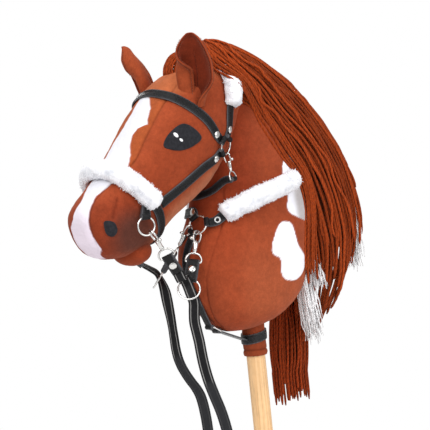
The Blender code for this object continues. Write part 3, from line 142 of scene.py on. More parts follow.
def evenly(points: np.ndarray, step: float, closed: bool = False) -> np.ndarray:
    """Evenly spaced points on the Catmull-Rom curve through the given ones.

    Each stretch is the cubic (2b + (c-a)t + (2a-5b+4c-d)t^2 + (3b-a-3c+d)t^3) / 2 of its four
    nearest points, sampled 16 times and then measured out by length.

    Args:
        points: Guide points, (n, 3).
        step: Wanted distance between points.
        closed: Whether the curve comes back to its first point.

    Returns:
        The points, (m, 3); a closed curve doesn't repeat its first.
    """
    points = np.asarray(points, float)
    if closed:
        padded = np.vstack((points[-1], points, points[0], points[1]))
    else:
        padded = np.vstack((2 * points[0] - points[1], points, 2 * points[-1] - points[-2]))
    a, b, c, d = (padded[k : len(padded) - 3 + k][:, None, :] for k in range(4))
    t = np.linspace(0, 1, 16, endpoint=False)[None, :, None]
    cubic = (2 * b + (c - a) * t + (2 * a - 5 * b + 4 * c - d) * t**2 + (3 * b - a - 3 * c + d) * t**3) / 2
    fine = np.vstack([cubic.reshape(-1, 3), padded[-2][None, :]])
    length = run_of(fine)
    count = max(3, int(round(length[-1] / step)) + 1)
    even = keyed(np.linspace(0, length[-1], count), length, fine)
    return even[:-1] if closed else even


def value_noise(points: np.ndarray, size: float, seed: int = 0) -> np.ndarray:
    """Smooth noise from -1 to 1: hashed values of a cubic lattice, blended by 3t^2 - 2t^3.

    Args:
        points: Places, (..., 3).
        size: Edge of a lattice cell.
        seed: Chooses the field.

    Returns:
        The values, (...).
    """
    spots = np.asarray(points) / size + 100.0
    cell = np.floor(spots).astype(np.int64)
    share = spots - cell
    share = share * share * (3 - 2 * share)
    total = np.zeros(spots.shape[:-1])
    for corner in itertools.product((0, 1), repeat=3):
        at = cell + np.array(corner)
        key = (at[..., 0] * 73856093) ^ (at[..., 1] * 19349663) ^ (at[..., 2] * 83492791)
        key = (key + seed * 2654435761) & 0x7FFFFFFF
        key = ((key ^ (key >> 13)) * 1274126177) & 0x7FFFFFFF
        value = ((key ^ (key >> 16)) & 0xFFFF) / 32767.5 - 1.0
        weight = np.prod(np.where(np.array(corner) == 1, share, 1 - share), axis=-1)
        total += value * weight
    return total


def vector_noise(points: np.ndarray, size: float, seed: int) -> np.ndarray:
    """Three fields of value noise, of seeds in a row, as one vector at each point."""
    return np.stack([value_noise(points, size, seed + k) for k in range(3)], -1)


def mixed_noise(a: np.ndarray, b: np.ndarray, c: np.ndarray, seed: int) -> np.ndarray:
    """Value noise of unit cells over three arrays that broadcast together."""
    return value_noise(np.stack(np.broadcast_arrays(a, b, c), -1), 1.0, seed)


def hashed(count: int, seed: int) -> np.ndarray:
    """Fixed pseudo-random numbers from 0 to 1, the same in each run."""
    return np.random.default_rng(seed).random(count)


def surface(
    name: str,
    grids: np.ndarray,
    around: bool = True,
    along: bool = False,
    capped: bool = True,
    uv: np.ndarray | None = None,
    **attributes: np.ndarray,
) -> bpy.types.Object:
    """Makes one mesh object of grids of points.

    Point (i, j) of a grid joins (i + 1, j) and (i, j + 1). The second way may close on itself,
    and so may the first; open ends of a closed-around grid get a fan to their middle point.

    Args:
        name: The object's name.
        grids: Points, (n, m, 3) or (k, n, m, 3).
        around: Whether the last column joins the first.
        along: Whether the last row joins the first.
        capped: Whether open ends are closed with fans.
        uv: Texture places in metres, (n, m, 2) or (k, n, m, 2).
        attributes: Values per point by name, (..., n, m) or (..., n, m, 3) for colours.

    Returns:
        The object, linked to the scene, faces turned outwards.
    """
    grids = np.asarray(grids, float)
    grids = grids[None] if grids.ndim == 3 else grids
    count, rows, columns = grids.shape[:3]
    i, j = np.meshgrid(
        np.arange(rows if along else rows - 1), np.arange(columns if around else columns - 1), indexing="ij"
    )
    i, j = i.ravel(), j.ravel()
    after, beside = (i + 1) % rows, (j + 1) % columns
    quads = np.stack(
        (i * columns + j, i * columns + beside, after * columns + beside, after * columns + j), 1
    )
    corner_uv = np.stack((i, j, i, j + 1, i + 1, j + 1, i + 1, j), 1).reshape(-1, 4, 2)
    caps = np.zeros((0, 3), int)
    extra = 0
    with_caps = capped and around and not along
    if with_caps:
        j = np.arange(columns)
        first = np.stack((np.full(columns, rows * columns), (j + 1) % columns, j), 1)
        base = (rows - 1) * columns
        last = np.stack((np.full(columns, rows * columns + 1), base + j, base + (j + 1) % columns), 1)
        caps, extra = np.vstack((first, last)), 2
    body = grids.reshape(count, -1, 3)
    if extra:
        body = np.concatenate((body, grids[:, :1].mean(2), grids[:, -1:].mean(2)), axis=1)
    per = rows * columns + extra
    shift = (np.arange(count) * per)[:, None, None]
    all_quads = (quads[None] + shift).reshape(-1, 4)
    all_caps = (caps[None] + shift).reshape(-1, 3)
    vertices = body.reshape(-1, 3)
    a, b, c, d = (vertices[all_quads[:, k]] for k in range(4))
    volume = np.einsum("ij,ij->", a, np.cross(b, c)) + np.einsum("ij,ij->", a, np.cross(c, d))
    if len(all_caps):
        a, b, c = (vertices[all_caps[:, k]] for k in range(3))
        volume += np.einsum("ij,ij->", a, np.cross(b, c))
    turned = volume < 0
    if turned:
        all_quads, all_caps = all_quads[:, ::-1], all_caps[:, ::-1]
    loops = np.concatenate((all_quads.ravel(), all_caps.ravel()))
    starts = np.concatenate(
        (np.arange(len(all_quads)) * 4, len(all_quads) * 4 + np.arange(len(all_caps)) * 3)
    )
    mesh = bpy.data.meshes.new(name)
    mesh.vertices.add(len(vertices))
    mesh.vertices.foreach_set("co", vertices.astype(np.float32).ravel())
    mesh.loops.add(len(loops))
    mesh.loops.foreach_set("vertex_index", loops.astype(np.int32))
    mesh.polygons.add(len(starts))
    mesh.polygons.foreach_set("loop_start", starts.astype(np.int32))
    mesh.update(calc_edges=True)
    if uv is not None:
        spots = np.broadcast_to(
            np.asarray(uv, float).reshape(-1, rows, columns, 2), (count, rows, columns, 2)
        )
        if around:
            wrap = spots[:, :, :1] + 0.0
            wrap[..., 1] = spots[:, :, -1:, 1] + (spots[:, :, -1:, 1] - spots[:, :, -2:-1, 1])
            spots = np.concatenate((spots, wrap), axis=2)
        if along:
            wrap = spots[:, :1] + 0.0
            wrap[..., 0] = spots[:, -1:, :, 0] + (spots[:, -1:, :, 0] - spots[:, -2:-1, :, 0])
            spots = np.concatenate((spots, wrap), axis=1)
        quad_uv = spots[:, corner_uv[..., 0], corner_uv[..., 1]].reshape(-1, 4, 2)
        quad_uv = quad_uv[:, ::-1] if turned else quad_uv
        cap_uv = np.zeros((len(all_caps) * 3, 2))
        layer = mesh.uv_layers.new(name="UVMap")
        layer.data.foreach_set(
            "uv", np.concatenate((quad_uv.reshape(-1, 2), cap_uv)).astype(np.float32).ravel()
        )
    for key, values in attributes.items():
        values = np.asarray(values, float)
        colour = values.ndim > 2 and values.shape[-1] == 3
        wanted = (count, rows, columns, 3) if colour else (count, rows, columns)
        flat = np.broadcast_to(values, wanted).reshape(count, rows * columns, -1)
        if extra:
            first = flat[:, :columns].mean(1, keepdims=True)
            last = flat[:, -columns:].mean(1, keepdims=True)
            flat = np.concatenate((flat, first, last), axis=1)
        flat = flat.reshape(len(vertices), -1)
        if colour:
            made = mesh.color_attributes.new(key, "FLOAT_COLOR", "POINT")
            rgba = np.concatenate((flat, np.ones((len(flat), 1))), axis=1)
            made.data.foreach_set("color", rgba.astype(np.float32).ravel())
        else:
            made = mesh.attributes.new(key, "FLOAT", "POINT")
            made.data.foreach_set("value", flat.astype(np.float32).ravel())
    mesh.shade_smooth()
    made_object = bpy.data.objects.new(name, mesh)
    bpy.context.scene.collection.objects.link(made_object)
    return made_object


def joined(name: str, parts: list[bpy.types.Object]) -> bpy.types.Object:
    """Joins mesh objects that sit at the origin into the first and names it."""
    with bpy.context.temp_override(
        active_object=parts[0], object=parts[0], selected_objects=parts, selected_editable_objects=parts
    ):
        if len(parts) > 1:
            bpy.ops.object.join()
    parts[0].name = parts[0].data.name = name
    return parts[0]


def sweep(path: np.ndarray, wide: np.ndarray, thin: np.ndarray, section: np.ndarray) -> np.ndarray:
    """A profile carried along a path: path + wide * s + thin * h for each (s, h) of the section.

    Args:
        path: Points, (n, 3).
        wide: Unit direction of s at each point, (n, 3) or (3,).
        thin: Unit direction of h at each point, (n, 3) or (3,).
        section: Profile, (m, 2), or one per point, (n, m, 2).

    Returns:
        Grid of points, (n, m, 3).
    """
    wide = np.broadcast_to(wide, path.shape)
    thin = np.broadcast_to(thin, path.shape)
    section = np.broadcast_to(section, (len(path), *np.shape(section)[-2:]))
    return (
        path[:, None]
        + wide[:, None] * section[..., 0, None]
        + thin[:, None] * section[..., 1, None]
    )


def full_turn(count: int) -> np.ndarray:
    """Angles evenly spaced round a full turn."""
    return 2 * np.pi * np.arange(count) / count


def circle(radius: float, points: int) -> np.ndarray:
    """Closed round profile."""
    turn = full_turn(points)
    return np.stack((np.cos(turn), np.sin(turn)), 1) * radius


def tube(
    path: np.ndarray, radius: float | np.ndarray, hint: Triple, sides: int = 12, closed: bool = False
) -> np.ndarray:
    """Grid of a round bar: a circle square to the path at each point, its sideways from a hint."""
    ahead = unit(slopes(path, closed))
    wide = unit(np.cross(ahead, np.asarray(hint, float)))
    thin = np.cross(wide, ahead)
    section = circle(1.0, sides) * np.broadcast_to(np.asarray(radius, float), (len(path),))[:, None, None]
    return sweep(path, wide, thin, section)


def turned_form(profile: np.ndarray, place: np.ndarray, sides: int = 28) -> np.ndarray:
    """A lathe form: (radius, height) of the profile turned about the Z of a 4x4 place."""
    turn = full_turn(sides)
    radius, height = profile[:, 0][:, None], profile[:, 1][:, None]
    local = np.stack((radius * np.cos(turn), radius * np.sin(turn), height + 0 * turn), axis=-1)
    return moved(local, place)


def placing(origin: np.ndarray, x_axis: np.ndarray, z_axis: np.ndarray) -> np.ndarray:
    """4x4 place whose Z is z_axis and whose X is x_axis made square to it."""
    up = unit(np.asarray(z_axis, float))
    right = np.asarray(x_axis, float)
    right = unit(right - up * right.dot(up))
    place = np.eye(4)
    place[:3, :3] = np.stack((right, np.cross(up, right), up), 1)
    place[:3, 3] = origin
    return place


def moved(points: np.ndarray, place: np.ndarray) -> np.ndarray:
    """Points carried by a 4x4 place."""
    return points @ place[:3, :3].T + place[:3, 3]


# ---------------------------------------------------------------- stuffed skins


@dataclass
class Skin:
    """A smooth stuffed skin: a uniform bicubic B-spline over rings of cage points.

    Attributes:
        cage: Control points, (rows, sides, 3); three rows at each end are its middle point.
    """

    cage: np.ndarray

    SIDES = 12
    END_RING = 0.62  # size of the ring that rounds an end off

    @classmethod
    def through(cls, sections: tuple, fullness: float, side: float = 0.0, grow: float = 0.0) -> "Skin":
        """Skin through sections of the middle plane.

        A section's ring is middle + spread * (|cos|^f * reach + |sin|^f * (half width + grow) * Y).

        Args:
            sections: ((front x, z), (back x, z), half width) rows.
            fullness: The power f; below 1 is fuller than an ellipse.
            side: The middle plane's Y.
            grow: Added to every half size.

        Returns:
            The skin; a smaller ring and three rows of the middle point close each end.
        """
        front = np.array([(s[0][0], side, s[0][1]) for s in sections])
        back = np.array([(s[1][0], side, s[1][1]) for s in sections])
        half = np.array([s[2] for s in sections]) + grow
        middle, reach = (front + back) / 2, (front - back) / 2
        length = np.linalg.norm(reach, axis=1, keepdims=True)
        reach = reach * (length + grow) / length
        turn = full_turn(cls.SIDES)
        along = np.sign(np.cos(turn)) * np.abs(np.cos(turn)) ** fullness
        across = np.sign(np.sin(turn)) * np.abs(np.sin(turn)) ** fullness
        spread = 4 / (3 + math.cos(2 * math.pi / cls.SIDES))
        rings = middle[:, None] + spread * along[:, None] * reach[:, None]
        rings[..., 1] += spread * across[None] * half[:, None]
        first, last = rings[0].mean(0), rings[-1].mean(0)
        start = np.stack(
            [np.broadcast_to(first, rings[0].shape)] * 3 + [first + cls.END_RING * (rings[0] - first)]
        )
        end = np.stack(
            [last + cls.END_RING * (rings[-1] - last)] + [np.broadcast_to(last, rings[0].shape)] * 3
        )
        return cls(np.concatenate((start, rings, end)))

    def at(self, u: np.ndarray, v: np.ndarray) -> tuple[np.ndarray, np.ndarray, np.ndarray]:
        """The spline's point and its two slopes at (u, v).

        Args:
            u: Place from the first end, 0 to rows - 3.
            v: Place around, one per cage side; v = 0 is the front.

        Returns:
            Points and slopes by u and by v, each (..., 3).
        """
        rows, sides = self.cage.shape[:2]
        u = np.clip(u, 0.0, rows - 3 - 1e-9)
        i = np.floor(u).astype(int)
        j = np.floor(v).astype(int)
        wu, su = self.weights(u - i)
        wv, sv = self.weights(v - j)
        steps = np.arange(4)
        patch = self.cage[
            (i[..., None] + steps)[..., :, None], ((j[..., None] + steps - 1) % sides)[..., None, :]
        ]
        point = np.einsum("...a,...b,...abc->...c", wu, wv, patch)
        by_u = np.einsum("...a,...b,...abc->...c", su, wv, patch)
        by_v = np.einsum("...a,...b,...abc->...c", wu, sv, patch)
        return point, by_u, by_v

    @staticmethod
    def weights(t: np.ndarray) -> tuple[np.ndarray, np.ndarray]:
        """Uniform cubic B-spline weights and their slopes at t from 0 to 1."""
        value = (
            np.stack(((1 - t) ** 3, 3 * t**3 - 6 * t**2 + 4, -3 * t**3 + 3 * t**2 + 3 * t + 1, t**3), -1) / 6
        )
        slope = np.stack((-((1 - t) ** 2), 3 * t**2 - 4 * t, -3 * t**2 + 2 * t + 1, t**2), -1) / 2
        return value, slope

    def evened(self, start: float, end: float, step: float) -> np.ndarray:
        """Values of u from start to end whose rings are about a step apart."""
        fine = np.linspace(start, end, 300)
        v = np.arange(0, self.SIDES, 1.5)
        rings = self.at(*np.meshgrid(fine, v, indexing="ij"))[0]
        gaps = np.linalg.norm(np.diff(rings, axis=0), axis=-1).mean(1)
        length = np.concatenate(([0.0], np.cumsum(gaps)))
        count = max(8, int(length[-1] / step))
        return np.interp(np.linspace(0, length[-1], count), length, fine)

    def mesh_grid(self, step: float, around: int) -> tuple[np.ndarray, np.ndarray, np.ndarray]:
        """Points, outward normals and v of the whole skin on an even grid."""
        rows = self.cage.shape[0]
        u, v = np.meshgrid(
            self.evened(0.35, rows - 3.35, step), np.arange(around) * self.SIDES / around, indexing="ij"
        )
        point, by_u, by_v = self.at(u, v)
        return point, self.outward(by_u, by_v), v

    def outward(self, by_u: np.ndarray, by_v: np.ndarray) -> np.ndarray:
        """Unit normals of two slopes, turned to point away from the skin's inside."""
        normal = unit(np.cross(by_u, by_v))
        return -normal if self._flipped() else normal

    def _flipped(self) -> bool:
        """Whether the two slopes' cross product points inwards."""
        middle = self.cage.shape[0] / 2 - 1.5
        point, by_u, by_v = self.at(np.array([middle]), np.array([3.0]))
        other = self.at(np.array([middle]), np.array([9.0]))[0]
        return bool(((point - other) * np.cross(by_u, by_v)).sum() < 0)

    def nearest(self, points: np.ndarray) -> tuple[np.ndarray, np.ndarray]:
        """Feet of points on the skin: the closest of a coarse grid, then six Newton steps.

        Args:
            points: Places near the skin, (..., 3).

        Returns:
            Feet and outward normals.
        """
        points = np.asarray(points, float)
        flat = points.reshape(-1, 3)
        rows = self.cage.shape[0]
        gu, gv = np.meshgrid(np.linspace(0.6, rows - 3.6, 90), np.arange(48) * self.SIDES / 48, indexing="ij")
        coarse = self.at(gu, gv)[0].reshape(-1, 3)
        square = (coarse**2).sum(1)
        best = np.concatenate([
            np.argmin(square[None] - 2 * part @ coarse.T, axis=1)
            for part in np.array_split(flat, len(flat) // 4000 + 1)
        ])
        u, v = gu.ravel()[best], gv.ravel()[best]
        for _ in range(6):
            foot, by_u, by_v = self.at(u, v)
            away = flat - foot
            a, b, c = (by_u**2).sum(-1), (by_u * by_v).sum(-1), (by_v**2).sum(-1)
            p, q = (away * by_u).sum(-1), (away * by_v).sum(-1)
            det = np.maximum(a * c - b * b, 1e-18)
            u = np.clip(u + np.clip((p * c - q * b) / det, -0.4, 0.4), 0.3, rows - 3.3)
            v = v + np.clip((q * a - p * b) / det, -0.4, 0.4)
        foot, by_u, by_v = self.at(u, v)
        return foot.reshape(points.shape), self.outward(by_u, by_v).reshape(points.shape)

    def seen_from_side(self, x: np.ndarray, z: np.ndarray, side: Side) -> tuple[np.ndarray, np.ndarray]:
        """Point and normal of the skin over each (x, z), by repeated nearest feet from one side."""
        aim = np.stack((x, np.full(np.shape(x), side.value * 0.05), z), -1)
        for _ in range(14):
            foot, normal = self.nearest(aim)
            miss = np.stack((x - foot[..., 0], np.zeros(np.shape(x)), z - foot[..., 2]), -1)
            aim = foot + normal * 0.002 + miss
        return foot, normal

    def height_of(self, points: np.ndarray) -> np.ndarray:
        """Height of points over the skin, below zero inside it."""
        foot, normal = self.nearest(points)
        return ((points - foot) * normal).sum(-1)


def fall_of(distance: float | np.ndarray) -> float | np.ndarray:
    """Share of an end's lift that is left at a distance from that end."""
    return np.interp(distance, (0.0, 0.012, 0.024, 0.036), (1.0, 0.45, 0.1, 0.0))


@dataclass
class Stations:
    """Places of a band on a skin.

    Attributes:
        feet: Points on the skin, (n, 3).
        normals: Outward normals, (n, 3).
        across: Unit directions of the band's width, (n, 3).
        closed: Whether the band is a loop.
    """

    feet: np.ndarray
    normals: np.ndarray
    across: np.ndarray
    closed: bool = False

    COARSE = 0.012

    @classmethod
    def laid(cls, skin: Skin, guides: list, step: float = 0.0022, closed: bool = False) -> "Stations":
        """Lays a band along guide points, as the CAD does, and then samples it finely.

        Coarse feet every 12 mm have their normals evened twice by 1-2-1; a Catmull-Rom curve
        through them gives the fine stations.

        Args:
            skin: What the band lies on.
            guides: Points near the band's middle line.
            step: Distance of the fine stations.
            closed: Whether the band is a loop.

        Returns:
            The fine stations.
        """
        feet, normals = skin.nearest(evenly(guides, cls.COARSE, closed))
        for _ in range(2):
            normals = eased(normals, closed) / 4
        fine = evenly(feet, step, closed)
        run, length = run_of(feet), run_of(fine)
        if closed:
            lap = run[-1] + np.linalg.norm(feet[0] - feet[-1])
            whole = length[-1] + np.linalg.norm(fine[0] - fine[-1])
            spots = length / whole * lap
            normals = keyed(spots, np.append(run, lap), np.vstack((normals, normals[:1])))
        else:
            normals = keyed(length / length[-1] * run[-1], run, normals)
        normals = unit(normals)
        for _ in range(6):
            normals = unit(eased(normals, closed))
        across = unit(np.cross(slopes(fine, closed), normals))
        return cls(skin.nearest(fine)[0], normals, across, closed)

    def part(self, keep: np.ndarray) -> "Stations":
        """The kept stations as an open band; a loop is first turned so that they're in a row."""
        index = np.flatnonzero(keep)
        if self.closed and keep[0] and keep[-1]:
            breaks = np.flatnonzero(np.diff(index) > 1)
            index = np.roll(index, -(breaks[0] + 1)) if len(breaks) else index
        return Stations(self.feet[index], self.normals[index], self.across[index])

    def run(self) -> np.ndarray:
        """Length along the band at each station."""
        return run_of(self.feet)

    def on(
        self, skin: Skin, section: np.ndarray, lifts: Pair = (0.0, 0.0), narrow: Pair = (1.0, 1.0)
    ) -> np.ndarray:
        """Grid of a band: nearest skin point of foot + across * s, raised by h along the normal.

        The ends are raised by lifts, of which 0.45 and 0.1 are left 12 and 24 mm further on, and
        narrow scales the width at the very ends.

        Args:
            skin: What the band lies on.
            section: Profile of (s, h), (m, 2), or one per station, (n, m, 2).
            lifts: Extra height at the first and the last end.
            narrow: Share of the width at the two ends.

        Returns:
            Grid of points, (n, m, 3).
        """
        count = len(self.feet)
        section = np.broadcast_to(section, (count, *np.shape(section)[-2:])).copy()
        if not self.closed:
            run = self.run()
            back = run[-1] - run
            section[..., 1] += (lifts[0] * fall_of(run) + lifts[1] * fall_of(back))[:, None]
            share = (
                np.interp(run, (0, self.COARSE), (narrow[0], 1.0))
                * np.interp(back, (0, self.COARSE), (narrow[1], 1.0))
            )
            section[..., 0] *= share[:, None]
        low = skin.nearest(self.feet[:, None] + self.across[:, None] * section[..., 0, None])[0]
        return low + self.normals[:, None] * section[..., 1, None]


HEAD_SECTIONS = (
    ((-0.2655, 0.267), (-0.256, 0.232), 0.017),
    ((-0.263, 0.279), (-0.24, 0.216), 0.034),
    ((-0.247, 0.295), (-0.212, 0.213), 0.041),
    ((-0.23, 0.309), (-0.174, 0.219), 0.041),
    ((-0.211, 0.328), (-0.15, 0.236), 0.043),
    ((-0.191, 0.348), (-0.133, 0.253), 0.048),
    ((-0.167, 0.379), (-0.105, 0.267), 0.053),
    ((-0.142, 0.406), (-0.068, 0.289), 0.057),
    ((-0.116, 0.429), (-0.038, 0.324), 0.056),
    ((-0.084, 0.443), (-0.016, 0.364), 0.052),
    ((-0.052, 0.447), (-0.002, 0.393), 0.045),
    ((-0.022, 0.443), (0.01, 0.412), 0.03),
)
NECK_SECTIONS = (
    ((-0.045, 0.0985), (-0.004, 0.0985), 0.014),
    ((-0.06, 0.106), (0.028, 0.106), 0.034),
    ((-0.077, 0.122), (0.061, 0.122), 0.046),
    ((-0.089, 0.145), (0.083, 0.145), 0.053),
    ((-0.103, 0.18), (0.098, 0.18), 0.058),
    ((-0.101, 0.212), (0.102, 0.212), 0.058),
    ((-0.081, 0.247), (0.104, 0.247), 0.053),
    ((-0.075, 0.272), (0.104, 0.272), 0.051),
    ((-0.063, 0.31), (0.098, 0.31), 0.05),
    ((-0.054, 0.35), (0.084, 0.35), 0.049),
    ((-0.046, 0.388), (0.06, 0.388), 0.046),
    ((-0.038, 0.412), (0.036, 0.412), 0.036),
    ((-0.024, 0.428), (0.01, 0.428), 0.018),
)
MANE_SECTIONS = (
    ((0.094, 0.062), (0.11, 0.062), 0.01),
    ((0.091, 0.08), (0.118, 0.08), 0.022),
    ((0.094, 0.11), (0.141, 0.11), 0.032),
    ((0.099, 0.15), (0.173, 0.15), 0.042),
    ((0.095, 0.205), (0.195, 0.205), 0.049),
    ((0.07, 0.27), (0.194, 0.27), 0.052),
    ((0.028, 0.333), (0.163, 0.333), 0.054),
    ((-0.02, 0.378), (0.127, 0.378), 0.054),
    ((-0.05, 0.41), (0.096, 0.41), 0.053),
    ((-0.068, 0.436), (0.06, 0.436), 0.05),
    ((-0.072, 0.461), (0.016, 0.461), 0.038),
    ((-0.058, 0.474), (-0.016, 0.474), 0.018),
)
HANK_SECTIONS = (
    ((0.083, -0.006), (0.108, -0.006), 0.01),
    ((0.073, 0.008), (0.122, 0.008), 0.018),
    ((0.072, 0.045), (0.128, 0.045), 0.022),
    ((0.076, 0.085), (0.13, 0.085), 0.022),
    ((0.086, 0.125), (0.132, 0.125), 0.018),
)


# ---------------------------------------------------------------- shader kit


class Recipe:
    """Short writing of shader nodes in one tree."""

    def __init__(self, tree: bpy.types.NodeTree) -> None:
        """Starts writing in a tree."""
        self.tree = tree

    def node(self, kind: str, inputs: dict | None = None, **settings: object) -> bpy.types.Node:
        """Adds a node.

        Args:
            kind: Its type without the ShaderNode prefix.
            inputs: Socket names or numbers, with a value or an output socket to link.
            settings: The node's own properties.

        Returns:
            The node.
        """
        made = self.tree.nodes.new(kind if kind.startswith("Node") else "ShaderNode" + kind)
        for key, value in settings.items():
            setattr(made, key, value)
        return self.fill(made, inputs or {})

    def fill(self, node: bpy.types.Node, inputs: dict) -> bpy.types.Node:
        """Sets or links a node's inputs, named or numbered, and returns the node."""
        for key, value in inputs.items():
            if isinstance(value, bpy.types.NodeSocket):
                self.tree.links.new(value, node.inputs[key])
            else:
                node.inputs[key].default_value = value
        return node

    def use(self, name: str, **inputs: object) -> bpy.types.Node:
        """Places a shared group, made when it is first wanted, with values or sockets."""
        if name not in GROUPS:
            makers = (mottle_group, nap_group, grain_group, twist_group)
            GROUPS[name] = {m.__name__: m for m in makers}[f"{name}_group"]()
        return self.fill(self.node("Group", node_tree=GROUPS[name]), inputs)

    def link(self, value: bpy.types.NodeSocket, node: bpy.types.Node, key: str) -> None:
        """Links a socket to a node's named input."""
        self.tree.links.new(value, node.inputs[key])

    def attribute(self, name: str, output: str = "Fac") -> bpy.types.NodeSocket:
        """A mesh attribute's value."""
        return self.node("Attribute", attribute_name=name).outputs[output]

    def where(self, output: str = "Object") -> bpy.types.NodeSocket:
        """Texture coordinates."""
        return self.node("TexCoord").outputs[output]

    def noise(self, where: object, scale: object, detail: float) -> bpy.types.NodeSocket:
        """The value of a Noise node."""
        made = self.node("TexNoise", {"Vector": where, "Scale": scale, "Detail": detail})
        return made.outputs["Fac"]

    def grey(self, value: object) -> bpy.types.NodeSocket:
        """A colour of three equal values."""
        return self.node("CombineColor", {0: value, 1: value, 2: value}).outputs[0]

    def math(self, operation: str, a: object, b: object = 0.0) -> bpy.types.NodeSocket:
        """The result of a Math node."""
        return self.node("Math", {0: a, 1: b}, operation=operation).outputs[0]

    def times(self, a: object, b: object) -> bpy.types.NodeSocket:
        """a * b."""
        return self.math("MULTIPLY", a, b)

    def plus(self, a: object, b: object) -> bpy.types.NodeSocket:
        """a + b."""
        return self.math("ADD", a, b)

    def minus(self, a: object, b: object) -> bpy.types.NodeSocket:
        """a - b."""
        return self.math("SUBTRACT", a, b)

    def mix(self, share: object, a: object, b: object, blend: str = "MIX") -> bpy.types.NodeSocket:
        """The colour result of a Mix node."""
        made = self.node("Mix", {0: share, 6: a, 7: b}, data_type="RGBA", blend_type=blend)
        return made.outputs[2]

    def ramp(self, value: object, low: float, high: float) -> bpy.types.NodeSocket:
        """A value's share between low and high, smooth and clamped."""
        made = self.node("MapRange", {0: value, 1: low, 2: high}, interpolation_type="SMOOTHSTEP")
        return made.outputs[0]


def new_group(name: str, inputs: dict, outputs: dict) -> tuple[Recipe, bpy.types.Node, bpy.types.Node]:
    """An empty shader node group with named sockets.

    Args:
        name: The group's name.
        inputs: Socket names, with (socket type, default value).
        outputs: Socket names, with their socket type.

    Returns:
        A recipe that writes in the group, its input node and its output node.
    """
    group = bpy.data.node_groups.new(name, "ShaderNodeTree")
    for key, (kind, value) in inputs.items():
        made = group.interface.new_socket(name=key, in_out="INPUT", socket_type=kind)
        made.default_value = value
    for key, kind in outputs.items():
        group.interface.new_socket(name=key, in_out="OUTPUT", socket_type=kind)
    recipe = Recipe(group)
    return recipe, recipe.node("NodeGroupInput"), recipe.node("NodeGroupOutput")


FLOAT, COLOUR = "NodeSocketFloat", "NodeSocketColor"


def mottle_group() -> bpy.types.NodeTree:
    """Uneven dye and wear: a base colour darkened and lightened by noise of two sizes."""
    recipe, given, out = new_group(
        "mottle",
        {"Base": (COLOUR, (1, 1, 1, 1)), "Scale": (FLOAT, 60.0), "Amount": (FLOAT, 0.25)},
        {"Color": COLOUR, "Mask": FLOAT},
    )
    where = recipe.where()
    large = recipe.noise(where, given.outputs["Scale"], 3.0)
    fine_scale = recipe.times(given.outputs["Scale"], 9.0)
    fine = recipe.noise(where, fine_scale, 2.0)
    both = recipe.plus(recipe.times(large, 0.55), recipe.times(fine, 0.45))
    spread = recipe.ramp(both, 0.33, 0.67)
    signed = recipe.minus(recipe.times(spread, 2.0), 1.0)
    gain = recipe.plus(recipe.times(signed, given.outputs["Amount"]), 1.0)
    grey = recipe.grey(gain)
    recipe.link(recipe.mix(1.0, given.outputs["Base"], grey, "MULTIPLY"), out, "Color")
    recipe.link(spread, out, "Mask")
    return recipe.tree


def nap_group() -> bpy.types.NodeTree:
    """Short pile: the height of matted fibre tips, as stretched noise over finer noise."""
    recipe, given, out = new_group("nap", {"Scale": (FLOAT, 700.0)}, {"Height": FLOAT})
    where = recipe.where()
    slant = recipe.node(
        "Mapping", {"Vector": where, "Rotation": (0.5, 0.3, 0.2), "Scale": (1.0, 1.0, 0.45)}
    ).outputs[0]
    tips = recipe.noise(slant, given.outputs["Scale"], 3.0)
    clumps = recipe.noise(slant, recipe.times(given.outputs["Scale"], 0.22), 2.0)
    height = recipe.plus(recipe.times(tips, 0.6), recipe.times(clumps, 0.8))
    recipe.link(height, out, "Height")
    return recipe.tree


def grain_group() -> bpy.types.NodeTree:
    """Leather grain: pebbles between fine creases, from cell distances."""
    recipe, given, out = new_group("grain", {"Scale": (FLOAT, 900.0)}, {"Height": FLOAT})
    where = recipe.where()
    cells = recipe.node(
        "TexVoronoi", {"Vector": where, "Scale": given.outputs["Scale"]}, feature="DISTANCE_TO_EDGE"
    )
    creases = recipe.ramp(cells.outputs["Distance"], 0.0, 0.22)
    folds = recipe.noise(where, 130.0, 3.0)
    height = recipe.plus(recipe.times(creases, 0.5), folds)
    recipe.link(height, out, "Height")
    return recipe.tree


def twist_group() -> bpy.types.NodeTree:
    """Plied yarn: diagonal ridges from the strand's own UV, u along in metres and v around."""
    recipe, given, out = new_group(
        "twist", {"Pitch": (FLOAT, 0.0052), "Plies": (FLOAT, 2.0)}, {"Height": FLOAT, "Groove": FLOAT}
    )
    uv = recipe.node("SeparateXYZ", {0: recipe.where("UV")})
    turns = recipe.math("DIVIDE", uv.outputs[0], given.outputs["Pitch"])
    slant = recipe.plus(turns, recipe.times(uv.outputs[1], given.outputs["Plies"]))
    wave = recipe.math("ABSOLUTE", recipe.math("SINE", recipe.times(slant, math.pi)))
    recipe.link(wave, out, "Height")
    # Where the grooves between the plies lie, for painted shade.
    recipe.link(recipe.minus(1.0, recipe.ramp(wave, 0.0, 0.45)), out, "Groove")
    return recipe.tree


GROUPS: dict[str, bpy.types.NodeTree] = {}


